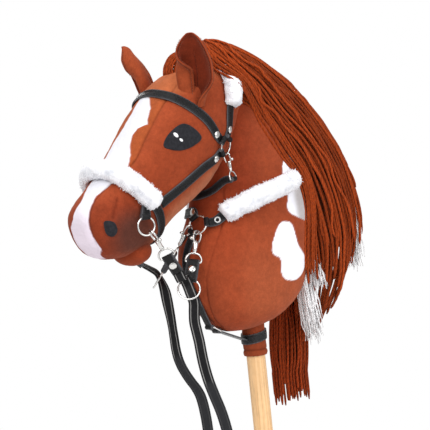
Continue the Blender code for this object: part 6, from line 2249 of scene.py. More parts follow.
@dataclass
class Face:
    """Felt eye and nostril patches on both sides, and the two white glints on each eye."""

    skin: Skin
    felt: float = 0.0016
    gap: float = 0.0009
    eye: tuple = (
        (-0.1565, 0.3457), (-0.146, 0.36), (-0.127, 0.3705), (-0.112, 0.364), (-0.1025, 0.351),
        (-0.116, 0.342), (-0.133, 0.338), (-0.148, 0.34),
    )
    nostril: tuple = (
        (-0.248, 0.262), (-0.237, 0.2602), (-0.2332, 0.25), (-0.2385, 0.2434), (-0.2464, 0.2478)
    )
    glints: tuple = (((-0.1385, 0.3572), 0.0036, 0.0022, 52.0), ((-0.133, 0.3506), 0.0026, 0.0016, 40.0))

    def patch(
        self, name: str, outline: np.ndarray | tuple, side: Side, low: float, thick: float
    ) -> bpy.types.Object:
        """A felt patch: its outline shrunk to its middle, laid on the skin, with a rounded cut edge.

        The rim's share runs 1 to 0 over the face; the height over the skin is low + thick with a
        quarter-round fall at the rim, and the underside closes it.
        """
        loop = smooth_outline(outline, 0.0012)
        middle = loop.mean(0)
        share = np.array((0.93, 0.985, 1.0, 0.992, 0.97, 0.93, 0.85, 0.7, 0.5, 0.3, 0.12))
        rise = np.array((0.0, 0.0, 0.25, 0.62, 0.86, 0.96, 1.0, 1.02, 1.04, 1.05, 1.05))
        flat = middle + (loop - middle) * share[:, None, None]
        foot, normal = self.skin.seen_from_side(flat[..., 0], flat[..., 1], side)
        grid = foot + normal * (low + thick * rise)[:, None, None]
        grid = grid + normal * (value_noise(grid, 0.003, 41) * 0.00012)[..., None]
        return surface(name, grid)

    def build(self) -> None:
        """Makes the patches of both sides."""
        for side in Side:
            word = side.word
            eye = self.patch(f"felt_eye_{word}", self.eye, side, self.gap, self.felt)
            place_piece(eye, Dress.FELT, f"eye_{word}")
            nostril = self.patch(f"felt_nostril_{word}", self.nostril, side, self.gap, self.felt)
            place_piece(nostril, Dress.FELT, f"nostril_{word}")
            for k, (middle, long, short, lean) in enumerate(self.glints):
                turn = full_turn(16)
                c, s = math.cos(math.radians(lean)), math.sin(math.radians(lean))
                x, z = long * np.cos(turn), short * np.sin(turn)
                oval = np.stack((c * x + s * z, -s * x + c * z), 1) + np.array(middle)
                glint = self.patch(f"eye_glint_{word}_{k}", oval, side, self.gap + self.felt, 0.0005)
                place_piece(glint, Dress.SPARK)


@dataclass
class FleeceTube:
    """A fleece tube over a strap: flat below, rounded above, lumpy, with stray tufts at its rims."""

    name: str
    node: str
    skin: Skin
    stations: Stations
    pressed: np.ndarray | None = None
    reach: float = 0.0125
    height: float = 0.013
    tufts: int = 900
    seed: int = 7

    OVER = 33  # points of the profile's rounded top
    UNDER = 9  # and of its flat base

    def sections(self) -> np.ndarray:
        """Profiles per station: a fullish half ellipse over a flat base, drawn in at both ends."""
        run = self.stations.run()
        count = len(run)
        share = np.ones(count) if self.pressed is None else self.pressed
        ends = np.sqrt(
            np.clip(1 - (1 - np.clip(np.minimum(run, run[-1] - run) / 0.006, 0, 1)) ** 2, 0.0, 1.0)
        )
        ends = 0.35 + 0.65 * ends
        turn = np.radians(np.linspace(4, 176, self.OVER))
        base = PILE_GAP + STRAP + GAP
        up = np.stack((self.reach * np.cos(turn), np.zeros(self.OVER)), 1)
        low = np.stack((np.linspace(-0.86, 0.86, self.UNDER) * self.reach, np.zeros(self.UNDER)), 1)
        section = np.broadcast_to(np.vstack((up, low)), (count, len(up) + len(low), 2)).copy()
        bulge = self.height * share * ends
        section[:, : self.OVER, 1] = base - 0.0012 + (0.0024 + bulge[:, None]) * np.sin(turn)[None] ** 0.85
        section[:, self.OVER :, 1] = base - 0.0016
        section[..., 0] *= (0.55 + 0.45 * ends)[:, None]
        return section

    def build(self) -> None:
        """Makes the tube and its tufts."""
        section = self.sections()
        grid = self.stations.on(self.skin, section)
        middle = grid.mean(1, keepdims=True)
        out = unit(grid - middle)
        above = np.clip((section[..., 1] - section[:, self.OVER, None, 1]) / 0.004, 0, 1)
        lumps = (
            value_noise(grid, 0.0085, self.seed) * 0.0011 + value_noise(grid, 0.0042, self.seed + 1) * 0.0009
        )
        lumps += value_noise(grid, 0.0021, self.seed + 2) * 0.0005
        raised = grid + out * ((lumps + 0.0004) * above)[..., None]
        # Painted shade in the hollows between the fleece's lumps.
        hollow = smoothstep(lumps, 0.0003, -0.0014) * 0.9
        made = surface(f"{self.name}_tube", raised, hollow=hollow)
        place_piece(made, Dress.FLEECE, self.node, padded=0.6)
        rows, rim = raised.shape[0], self.OVER - 1
        pick = hashed(self.tufts * 6, self.seed).reshape(6, -1)
        i = (pick[0] * (rows - 1)).astype(int)
        lean = np.where(pick[1] < 0.5, pick[1] * 2, 1.0)
        j = np.where(
            pick[2] < 0.35, pick[3] * 7, np.where(pick[2] < 0.7, rim - pick[3] * 7, pick[3] * rim)
        ).astype(int)
        j = np.clip(j, 0, rim)
        base, direction = raised[i, j], out[i, j]
        sway = vector_noise(base, 0.0006, 51)
        direction = unit(direction + sway * 0.75)
        length = 0.0014 + 0.0024 * pick[4] ** 2
        radius = 0.00042 + 0.0003 * pick[5]
        t = np.array((0.0, 0.4, 0.75, 1.0))
        bend = np.cross(direction, unit(sway)) * (length * 0.5)[:, None]
        line = (
            (base - direction * 0.0006)[:, None]
            + direction[:, None] * (length[:, None] * t)[..., None]
            + bend[:, None] * (t**2)[None, :, None]
        )
        size = radius[:, None] * np.array((1.15, 0.9, 0.5, 0.12)) * (0.7 + 0.3 * lean)[:, None]
        wide = unit(np.cross(direction, sway + (0.01, 0.02, 0.03)))
        thin = np.cross(direction, wide)
        grids = round_strands(line, wide[:, None], thin[:, None], size, 4)
        place_piece(surface(f"{self.name}_tufts", grids), Dress.FLEECE)


def mirrored(points: list | tuple) -> list[np.ndarray]:
    """The same points on the other side, in reverse order."""
    return [np.array(p) * MIRROR for p in reversed(points)]


@dataclass
class Halter:
    """Browband, headpiece, cheek straps and noseband, with the wire rings that join them."""

    skin: Skin
    neck: Skin
    width: float = 0.0128
    end_share: float = 0.86
    fold_width: float = 0.0116
    tab_foot: Triple = (-0.184, -0.0445, 0.282)
    nose_guides: tuple = (
        (-0.214, -0.022, 0.315), (-0.202, -0.037, 0.302), (-0.188, -0.044, 0.287), (-0.173, -0.046, 0.269),
        (-0.164, -0.04, 0.249), (-0.159, -0.022, 0.232),
    )

    def across(self, name: str, degrees: float, guides: tuple, middle: Triple) -> Stations:
        """A strap from the left ring over the middle to the right one, its rolls and rivets."""
        left = [*CHEEK[Side.LEFT].leaving(degrees), *guides]
        stations = Stations.laid(self.skin, [*left, middle, *mirrored(left)])
        made = band_piece(f"{name}_band", self.skin, stations, self.width, narrow=(self.end_share,) * 2)
        parts = [made] + [self.ring_roll(ring, degrees) for ring in CHEEK.values()]
        place_piece(joined(f"{name}_leather", parts), Dress.LEATHER, name)
        stitch_band(f"{name}_stitches", self.skin, stations, self.width)
        for side, ring in CHEEK.items():
            self.rivet_at(f"{name}_rivet_{side.word}", ring, degrees, 0.012)
        return stations

    def ring_roll(self, ring: RingPlace, degrees: float) -> bpy.types.Object:
        """The strap's end rolled round a ring's wire."""
        return roll(ring.spot(degrees), ring.tangent(degrees), self.fold_width, RING_ROLL)

    def rivet_at(self, name: str, ring: RingPlace, degrees: float, reach: float) -> None:
        """A dome rivet on a strap, a reach outside a ring."""
        foot, normal = self.skin.nearest((ring.spot(degrees) + ring.outward(degrees) * reach)[None])
        face = foot[0] + normal[0] * (PILE_GAP + STRAP)
        place_piece(dome(name, face, normal[0]), Dress.NICKEL)

    def build(self) -> None:
        """Makes the whole halter."""
        self.across(
            "browband",
            46.0,
            ((-0.091, -0.055, 0.373), (-0.1185, -0.044, 0.397), (-0.134, -0.024, 0.411)),
            (-0.136, 0.0, 0.415),
        )
        crown = self.across(
            "headpiece_strap",
            124.0,
            ((-0.048, -0.055, 0.377), (-0.044, -0.05, 0.398), (-0.041, -0.037, 0.42), (-0.04, -0.018, 0.438)),
            (-0.04, 0.0, 0.447),
        )
        covered = crown.part(crown.feet[:, 2] > 0.388)
        pressed = 0.2 + 0.8 * smoothstep(covered.feet[:, 2], 0.428, 0.412)
        FleeceTube(
            "crown_fleece", "headpiece_fleece", self.skin, covered, pressed, tufts=800, seed=61
        ).build()
        self.noseband()
        for side in Side:
            self.cheek(side)
            CHEEK[side].piece(f"cheek_ring_{side.word}")
            BIT[side].piece(f"bit_ring_{side.word}", f"{side.word}_bit")
            self.bit_tab(side)
        self.throat()

    def cheek(self, side: Side) -> None:
        """The cheek strap, from its ring down to the noseband."""
        ring, degrees = CHEEK[side], 320.0
        guides = (
            np.array(((-0.1, -0.058, 0.3125), (-0.135, -0.052, 0.293), (-0.1672, -0.046, 0.2752)))
            * (1, -side.value, 1)
        )
        stations = Stations.laid(self.skin, [*ring.leaving(degrees), *guides])
        made = band_piece("cheek", self.skin, stations, self.width, narrow=(self.end_share, 1.0))
        word = side.word
        place_piece(
            joined(f"cheek_strap_{word}_leather", [made, self.ring_roll(ring, degrees)]),
            Dress.LEATHER,
            f"cheek_strap_{word}",
        )
        stitch_band(f"cheek_stitches_{word}", self.skin, stations, self.width)
        self.rivet_at(f"cheek_rivet_{word}", ring, degrees, 0.0115)

    def noseband(self) -> None:
        """The closed noseband and the fleece over its front."""
        guides = self.nose_guides
        route = [(-0.219, 0.0, 0.32), *guides, (-0.157, 0.0, 0.227), *mirrored(guides)]
        stations = Stations.laid(self.skin, route, closed=True)
        made = band_piece("noseband_leather", self.skin, stations, self.width)
        place_piece(made, Dress.LEATHER, "noseband_strap")
        stitch_band("noseband_stitches", self.skin, stations, self.width)
        covered = stations.part(stations.feet[:, 2] > 0.2745)
        FleeceTube("nose_fleece", "noseband_fleece", self.skin, covered, tufts=1100, seed=71).build()

    def bit_tab(self, side: Side) -> None:
        """A doubled leather loop from beside the noseband's edge to the top of the bit ring."""
        ring, word = BIT[side], side.word
        flip = np.array((1, -side.value, 1))
        spot, along = ring.spot(90.0), ring.tangent(90.0)
        foot, normal = (r[0] for r in self.skin.nearest((np.array(self.tab_foot) * flip)[None]))
        run = (np.array(self.nose_guides[3]) - np.array(self.nose_guides[2])) * flip
        run = unit(run - normal * (run @ normal))
        down = np.cross(normal, run)
        down = down if down @ (spot - foot) > 0 else -down
        run = run if run @ along > 0 else -run
        start, normal = (r[0] for r in self.skin.nearest((foot + down * (self.width / 2 + 0.0008))[None]))
        start = start + normal * (PILE_GAP + STRAP / 2)
        share = np.linspace(0, 1, 14)[:, None]
        path = start + (spot - start) * share
        wide = unit(run + (along - run) * share)
        out = np.array(ring.normal)
        out = out if out @ normal > 0 else -out
        thin = unit(normal + (out - normal) * share)
        radius = RING_WIRE / 2 + GAP + SWING_GAP + FOLD_WALL
        deep = STRAP + (radius * 1.84 - STRAP) * share[:, 0]
        profile, edge = flat_profile(self.fold_width, -0.5, 0.5, corner=0.0005, crown=0.0)
        section = np.broadcast_to(profile, (14, *profile.shape)).copy()
        section[..., 1] = np.clip(section[..., 1], -0.5, 0.5) * deep[:, None]
        tab = strap_surface("tab", sweep(path, wide, thin, section), run_of(path), profile, edge=edge)
        parts = [tab, roll(spot, along, self.fold_width * 1.02, radius)]
        place_piece(joined(f"bit_tab_{word}_leather", parts), Dress.LEATHER, f"bit_tab_{word}")
        rows = []
        for sign in (-1, 1):
            line = path + wide * sign * (self.fold_width / 2 - 0.0018) + thin * (deep / 2 + 0.0001)[:, None]
            rows.append(stitch_row(line, thin))
        place_piece(surface(f"bit_tab_{word}_stitches", np.concatenate(rows)), Dress.STITCH)

    def throat(self, width: float = 0.01) -> None:
        """The strap under the throat, between the two small snap hooks."""
        hooks = [SnapHook(HOOKS["throat_left"]), SnapHook(HOOKS["throat_right"])]
        for hook in hooks:
            hook.build()
        left = [hooks[0].bar_centre(), (-0.061, -0.044, 0.295), (-0.071, -0.028, 0.285)]
        stations = Stations.laid(self.neck, [*left, (-0.076, 0.0, 0.278), *mirrored(left)])
        lifts = tuple(
            float((hook.bar_centre() - stations.feet[k]) @ stations.normals[k]) - PILE_GAP - STRAP / 2
            for hook, k in zip(hooks, (0, -1))
        )
        made = band_piece("throat_leather", self.neck, stations, width, lifts)
        rolls = [
            roll(
                hook.bar_centre(), hook.place.bar, width * 1.04,
                EYE_WIRE * hook.place.scale + BAR_GAP + FOLD_WALL,
            )
            for hook in hooks
        ]
        place_piece(joined("throat_leather", [made, *rolls]), Dress.LEATHER, "throat_strap")
        stitch_band("throat_stitches", self.neck, stations, width, lifts, 0.0018)


@dataclass
class Breastplate:
    """Neck strap with its fleeces, chest ring and strap, link, stick strap and the two forks."""

    skin: Skin
    width: float = 0.0128
    chest_width: float = 0.012
    lift: float = 0.0045
    eyelet_reach: float = 0.0125
    rivet_reach: float = 0.0115
    link_centre: Triple = (-0.068, 0.0, 0.1048)
    link_along: Triple = (0.8, 0.0, -0.46)
    link_width: float = 0.0185
    link_length: float = 0.013
    link_wire: float = 0.0022
    keeper_length: float = 0.0235
    keeper_width: float = 0.016

    def build(self) -> None:
        """Makes the whole breastplate."""
        self.neck_strap()
        CHEST.piece("chest_ring")
        self.chest_strap()
        self.stick_strap()
        for side in Side:
            hook = SnapHook(HOOKS[f"fork_{side.word}"])
            hook.build()
            thick = RING_WIRE + 2 * (GAP + SWING_GAP + FOLD_WALL)
            LeatherBar(
                hook, f"fork_keeper_{side.word}", self.keeper_length, self.keeper_width, thick, True, 0.48
            ).build()
            RUNNING[side].piece(f"running_ring_{side.word}", f"{side.word}_running")

    def neck_strap(self) -> None:
        """Round the base of the neck, both ends on the chest ring; fleece on either side."""
        guides = [
            (-0.066, -0.049, 0.2555), (-0.04, -0.054, 0.263), (0.0, -0.055, 0.274), (0.052, -0.052, 0.287),
            (0.088, -0.03, 0.297),
        ]
        route = [*CHEST.leaving(22.0), *guides, (0.104, 0.0, 0.301), *mirrored(guides[1:])]
        route += [(-0.068, 0.046, 0.258), (-0.084, 0.02, 0.259), *CHEST.leaving(135.0)[::-1]]
        stations = Stations.laid(self.skin, route)
        lifts = (self.lift, self.lift)
        band = band_piece("neck_band", self.skin, stations, self.width, lifts, (0.86, 0.86))
        rolls = [roll(CHEST.spot(d), CHEST.tangent(d), 0.0116, RING_ROLL) for d in (22.0, 135.0)]
        place_piece(joined("neck_strap_leather", [band, *rolls]), Dress.LEATHER, "neck_strap")
        stitch_band("neck_strap_stitches", self.skin, stations, self.width, lifts)
        self.eyelet(*self.face_at(stations, self.eyelet_reach))
        face, normal = self.face_at(stations, stations.run()[-1] - self.rivet_reach)
        place_piece(dome("neck_strap_rivet", face, normal), Dress.NICKEL)
        for side in Side:
            x, y = stations.feet[:, 0], stations.feet[:, 1] * side.value
            start = -0.062 if side is Side.LEFT else -0.04
            covered = stations.part((x > start) & (x < 0.056) & (y > 0))
            FleeceTube(
                f"neck_fleece_{side.word}", f"neck_fleece_{side.word}", self.skin, covered, tufts=1000,
                seed=81 + side.value,
            ).build()

    def face_at(self, stations: Stations, spot: float) -> tuple[np.ndarray, np.ndarray]:
        """Point and normal of the neck strap's lifted face at a length along it."""
        run = stations.run()
        normal = unit(keyed(np.array([spot]), run, stations.normals))[0]
        foot = keyed(np.array([spot]), run, stations.feet)[0]
        fall = fall_of(min(spot, run[-1] - spot)) * self.lift
        return foot + normal * (PILE_GAP + STRAP + fall), normal

    def eyelet(self, face: np.ndarray, normal: np.ndarray) -> None:
        """A rolled metal eyelet with its dark hole."""
        profile = np.array((
            (0.0021, -0.0008), (0.0021, 0.0004), (0.0026, 0.0009), (0.0034, 0.001), (0.0042, 0.0007),
            (0.0046, 0.0001), (0.0046, -0.0006),
        ))
        profile = np.vstack((profile, profile[-1:] * (0.7, 1.2)))
        place = placing(face, (1.0, 0.0, 0.0), normal)
        place_piece(
            surface("neck_strap_eyelet", turned_form(profile, place, 32), along=True), Dress.DULL_NICKEL
        )
        hole = np.array(
            ((0.0004, 0.0002), (0.002, 0.0002), (0.0024, 0.0), (0.002, -0.0006), (0.0004, -0.0006))
        )
        place_piece(surface("eyelet_hole", turned_form(hole, place, 20)), Dress.LEATHER)

    def chest_strap(self) -> None:
        """Down the chest from the ring to the wire link, and the link itself."""
        along = unit(np.array(self.link_along))
        upper = np.array(self.link_centre) - along * self.link_length / 2
        guides = [(-0.098, -0.004, 0.212), (-0.104, 0.0, 0.192), (-0.099, 0.0, 0.167), (-0.087, 0.0, 0.14)]
        route = [*CHEST.leaving(245.0), *guides, upper]
        stations = Stations.laid(self.skin, route)
        rise = float((upper - stations.feet[-1]) @ stations.normals[-1]) - PILE_GAP - STRAP / 2
        lifts = (self.lift, rise)
        band = band_piece("chest_band", self.skin, stations, self.chest_width, lifts, (0.86, 1.0))
        rolls = [
            roll(CHEST.spot(245.0), CHEST.tangent(245.0), 0.0116, RING_ROLL),
            self.link_roll(upper),
        ]
        place_piece(joined("chest_strap_leather", [band, *rolls]), Dress.LEATHER, "chest_strap")
        stitch_band("chest_stitches", self.skin, stations, self.chest_width, lifts)
        a, b, cut = self.link_length / 2, self.link_width / 2, 0.0018
        outline = [
            (a, 0.0), (a, b - cut), (a - cut, b), (cut - a, b), (-a, b - cut), (-a, 0.0), (-a, cut - b),
            (cut - a, -b), (a - cut, -b), (a, cut - b),
        ]
        points = np.array([np.array(self.link_centre) + along * x + SIDEWAYS * y for x, y in outline])
        wire = evenly(points, 0.0007, closed=True)
        normal = np.cross(along, SIDEWAYS)
        link = surface("chest_wire_link", tube(wire, self.link_wire / 2, normal, 14, closed=True), along=True)
        place_piece(link, Dress.NICKEL, "chest_link")

    def link_roll(self, spot: np.ndarray) -> bpy.types.Object:
        """A strap's end rolled round one of the link's bars."""
        return roll(spot, SIDEWAYS, self.chest_width * 1.04, self.link_wire / 2 + BAR_GAP + FOLD_WALL)

    def stick_strap(self, height: float = 0.0855, slope: float = 0.2) -> None:
        """A glossy loop round the sleeve, with a doubled tail up to the link's lower bar."""
        near = STICK_RADIUS + GAP + SLEEVE_WALL + GAP
        turn = full_turn(88)
        section, edge = flat_profile(self.width, near, near + STRAP, crown=0.0003)
        out = np.stack((np.cos(turn), np.sin(turn), 0 * turn), 1)
        middle = UP * (height + slope * near * np.cos(turn))[:, None]
        grid = sweep(middle, UP, out, section)
        loop = strap_surface("loop", grid, turn * near, section, True, edge=edge)
        along = unit(np.array(self.link_along))
        bar = np.array(self.link_centre) + along * self.link_length / 2
        side = np.array((-near - STRAP / 2, 0.0, height - slope * near))
        away = unit(side - bar)
        thin = np.cross(away, SIDEWAYS)
        path = bar + (side - bar) * np.linspace(0, 1, 12)[:, None]
        profile, edge = flat_profile(self.chest_width, -STRAP / 2, STRAP / 2, crown=0.0)
        tail = surface("tail", sweep(path, SIDEWAYS, thin, profile), edge=edge)
        end = self.link_roll(bar)
        place_piece(joined("stick_strap_leather", [loop, tail, end]), Dress.GLOSSY, "stick_strap")


@dataclass
class ReinEnds:
    """Snap hooks on the bit rings and the leather ends that they hold."""

    length: float = 0.025
    width: float = 0.014

    def build(self) -> None:
        """Makes both ends."""
        for side in Side:
            hook = SnapHook(HOOKS[f"rein_{side.word}"])
            hook.build()
            thick = 2 * (EYE_WIRE + BAR_GAP + FOLD_WALL * 0.85)
            LeatherBar(hook, f"rein_end_{side.word}", self.length, self.width, thick, False, 0.5).build()


def tapered(share: np.ndarray, least: float, rise: float, start: float, end: float) -> np.ndarray:
    """Thickness along a strand: least + rise * how many times start or end fits in, up to 1."""
    return np.clip(least + rise * np.minimum(share / start, (1 - share) / end), least, 1.0)


def strand_grids(paths: np.ndarray, hints: np.ndarray, radius: np.ndarray, sides: int) -> np.ndarray:
    """Tubes of many strands at once: a circle square to each path.

    Args:
        paths: (k, n, 3).
        hints: A direction off each strand, such as the skin's normal, (k, n, 3).
        radius: (k,) or (k, n).
        sides: Points around.

    Returns:
        Grids, (k, n, sides, 3).
    """
    ahead = unit(np.gradient(paths, axis=1))
    wide = unit(np.cross(ahead, hints))
    thin = np.cross(wide, ahead)
    return round_strands(paths, wide, thin, np.asarray(radius).reshape(len(paths), -1), sides)


def strand_piece(
    name: str, paths: np.ndarray, hints: np.ndarray, radius: np.ndarray, tone: np.ndarray, finish: Finish,
    *nodes: str, sides: int = 7,
) -> None:
    """A piece of yarn strands with UV along and around each, and a tone per strand."""
    grids = strand_grids(paths, hints, radius, sides)
    steps = np.linalg.norm(np.diff(paths, axis=1), axis=-1)
    run = np.concatenate((np.zeros((len(paths), 1)), np.cumsum(steps, axis=1)), axis=1)
    around = np.arange(sides) / sides
    uv = np.stack(np.broadcast_arrays(run[..., None], around), -1)
    tones = np.broadcast_to(tone.reshape(len(paths), -1)[..., None], grids.shape[:3])
    place_piece(surface(name, grids, uv=uv, tone=tones), finish, *nodes)


@dataclass
class Hair:
    """Yarn mane in layers along the crest, its lower hank, the forelock and white tufts."""

    head: Skin
    neck: Skin
    side: float = -0.0013
    hank_side: float = 0.044
    rings: int = 96
    near_rail: tuple = (
        (-0.072, -0.008, 0.46), (-0.064, -0.02, 0.457), (-0.0603, -0.0261, 0.4531), (-0.058, -0.033, 0.4455),
        (-0.055, -0.04, 0.4375), (-0.051, -0.049, 0.431), (-0.045, -0.057, 0.424), (-0.038, -0.062, 0.416),
        (-0.029, -0.06, 0.407), (-0.015, -0.05, 0.3976), (-0.0033, -0.0455, 0.3836),
        (0.0042, -0.0466, 0.3667), (0.0204, -0.0483, 0.342), (0.0383, -0.048, 0.3176),
        (0.057, -0.0455, 0.2986), (0.072, -0.042, 0.2759), (0.0774, -0.0395, 0.2504),
        (0.0711, -0.0432, 0.2241), (0.0637, -0.0462, 0.1982), (0.0627, -0.0434, 0.1716),
        (0.068, -0.038, 0.1433),
    )
    next_rail: tuple = (
        (-0.06, -0.008, 0.47), (-0.053, -0.02, 0.468), (-0.0504, -0.0262, 0.4656), (-0.0472, -0.0334, 0.4595),
        (-0.0401, -0.0396, 0.4508), (-0.0317, -0.0441, 0.4416), (-0.0223, -0.0476, 0.4325),
        (-0.012, -0.0501, 0.4228), (-0.0037, -0.0507, 0.4121), (0.0036, -0.0506, 0.4014),
        (0.0126, -0.0502, 0.388), (0.0275, -0.047, 0.3719), (0.0465, -0.0465, 0.3471),
        (0.0616, -0.047, 0.3225), (0.0775, -0.0465, 0.2995), (0.088, -0.0458, 0.2771),
        (0.093, -0.042, 0.2487), (0.093, -0.039, 0.2216), (0.09, -0.038, 0.1945), (0.088, -0.037, 0.1672),
        (0.09, -0.033, 0.1428),
    )

    def build(self) -> None:
        """Makes every layer."""
        mane = Skin.through(MANE_SECTIONS, 0.86, self.side)
        self.core("mane_core", mane, "mane", 0.0052, 0.185)
        # Lower layers get a lower tone: painted shade.
        self.layer(
            "mane_top_layer", mane, 56, 101, 0.0, ((0.0, 0.25, 0.5, 1.0), (0.274, 0.232, 0.16, 0.147)), 0.044,
            1.0, drift=0.32,
        )
        self.layer(
            "mane_over_layer", mane, 15, 151, 0.0016, ((0.0, 0.25, 0.5, 1.0), (0.286, 0.25, 0.185, 0.17)),
            0.036, 1.08, drift=0.4,
        )
        self.layer(
            "mane_under_layer", mane, 50, 202, -0.0032, ((0.0, 0.3, 0.5, 1.0), (0.258, 0.205, 0.132, 0.12)),
            0.026, 0.86,
        )
        self.layer(
            "mane_lowest_layer", mane, 40, 252, -0.0062, ((0.0, 0.3, 0.5, 1.0), (0.236, 0.16, 0.092, 0.085)),
            0.026, 0.8,
        )
        self.edge()
        hank = Skin.through(HANK_SECTIONS, 0.86, self.hank_side)
        self.core("hank_core", hank, "mane_hank", 0.0048, 0.012)
        self.hank("hank_strands", hank, 30, 301, 0.0, 1.0)
        # The inner hank strands are painted darker, as shade.
        self.hank("hank_inner_strands", hank, 28, 331, -0.0028, 0.75)
        self.forelock()
        self.white_tufts()

    def core(self, name: str, skin: Skin, node: str, inset: float, low: float) -> None:
        """A dark sheet under a layer, painted shade that makes the gaps between strands look deep; it ends at
        a low Z.
        """
        points, normals = skin.mesh_grid(0.004, 90)[:2]
        ripple = value_noise(points, 0.006, 91) * 0.0008
        points = points - normals * (inset + ripple)[..., None]
        keep = points[..., 2].mean(1) > low
        made = surface(name, points[keep], hollow=np.full(points[keep].shape[:2], 0.4))
        place_piece(made, Dress.CORE, node, padded=0.7)

    def layer(
        self, name: str, skin: Skin, count: int, seed: int, lift: float, ends: tuple, ragged: float,
        tone: float, drift: float = 0.5,
    ) -> None:
        """Strands that run from the poll along the arch, each to its own ragged end.

        A strand follows u at a nearly fixed v, which sways by noise. Its radius is a bit over half
        of the pitch to the next strand, between 1.3 and 1.9 mm, so that strands lie close.

        Args:
            name: The piece's name.
            skin: The mane's skin.
            count: Number of strands.
            seed: Chooses the raggedness.
            lift: Height over the skin.
            ends: Shares from the back edge (0) to the neck side (1), and the Z of the ends there.
            ragged: Range of Z about that.
            tone: Lightness; deeper layers get less, as painted shade.
            drift: Sideways sway, in strands.
        """
        rows = skin.cage.shape[0]
        pitch = Skin.SIDES / count
        v = (np.arange(count) + 0.5 * (hashed(count, seed) - 0.5)) * pitch
        inner = np.abs((v / Skin.SIDES) * 2 - 1)
        fine = np.linspace(0.8, rows - 3.8, 240)
        gu, gv = np.meshgrid(fine, v, indexing="ij")
        height = skin.at(gu, gv)[0][..., 2]
        goal = np.interp(inner, *ends) + ragged * (hashed(count, seed + 1) - 0.5) * 2
        start_u = np.array([np.interp(g, height[:, k], fine) for k, g in enumerate(goal)])
        share = np.linspace(0, 1, self.rings)
        u = (
            start_u[:, None]
            + (rows - 4.15 - 0.25 * hashed(count, seed + 2)[:, None] - start_u[:, None]) * share
        )
        which = np.arange(count)[:, None] * 0.83
        sway = mixed_noise(u * 0.8, which, 0 * u + seed, seed)
        cross = mixed_noise(u * 2.1, which * 9, 0 * u, seed + 5)
        vv = v[:, None] + (sway * drift + cross * 0.22) * pitch
        point, by_u, by_v = skin.at(u, vv)
        normal = skin.outward(by_u, by_v)
        wave = mixed_noise(u * 2.6, which * 7, 0 * u + 3, seed + 9)
        over = hashed(count, seed + 3)[:, None]
        loose = smoothstep(1 - share, 0.88, 1.0)[None] * (hashed(count, seed + 4)[:, None] - 0.3) * 0.011
        paths = point + normal * (lift + (over - 0.5) * 0.003 + wave * 0.0011 + loose)[..., None]
        keep = self.over_cloth(paths).mean(1) > 0.1
        gap = np.linalg.norm(by_v, axis=-1) * pitch
        thick = np.clip(gap * 0.54, 0.0013, 0.0019) * (0.9 + 0.2 * hashed(count, seed + 6))[:, None]
        taper = tapered(share, 0.55, 2.6, 0.05, 0.03)
        # Strands lifted less are painted darker, as shade, and the tone also differs at random.
        tones = tone * (0.62 + 0.46 * over + 0.16 * hashed(count, seed + 7)[:, None])
        strand_piece(name, paths[keep], normal[keep], (thick * taper)[keep], tones[keep], Dress.YARN)

    def over_cloth(self, paths: np.ndarray) -> np.ndarray:
        """Which points of strands lie outside head and neck."""
        coarse = paths[:, ::6]
        out = (self.head.height_of(coarse) > -0.001) & (self.neck.height_of(coarse) > -0.001)
        return np.repeat(out, 6, axis=1)[:, : paths.shape[1]]

    def edge(self, count: int = 8) -> None:
        """Strands beside the mane's front border on both sides, between two rails."""
        rails = [evenly(np.array(rail), 0.003) for rail in (self.near_rail, self.next_rail)]
        share = np.linspace(0, 1, self.rings)
        near, far = (keyed(share, run_of(rail) / run_of(rail)[-1], rail) for rail in rails)
        for side in Side:
            seed = 700 + 40 * side.value
            stop = (0.9 + 0.11 * hashed(count, seed))[:, None]
            along = share[None] * stop
            sway = mixed_noise(along * 7, np.arange(count)[:, None] * 3.1, 0 * along, seed + 1)
            spot = (np.arange(count) / (count - 1))[:, None] + sway * 0.13
            a = np.stack([keyed(row, share, near) for row in along])
            b = np.stack([keyed(row, share, far) for row in along])
            normal = np.broadcast_to(unit(np.array((0.25, -1.0, 0.15))), a.shape)
            lift = 0.0016 + 0.0014 * hashed(count, seed + 2)[:, None] * np.ones_like(along)
            paths = (a + (b - a) * spot[..., None] + normal * lift[..., None]) * (1, -side.value, 1)
            taper = tapered(share, 0.55, 2.6, 0.05, 0.03)
            radius = (0.00165 + 0.0003 * hashed(count, seed + 3))[:, None] * taper
            tone = 0.78 + 0.35 * hashed(count, seed + 4)
            strand_piece(
                f"mane_edge_{side.word}", paths, normal * (1, -side.value, 1), radius, tone, Dress.YARN
            )

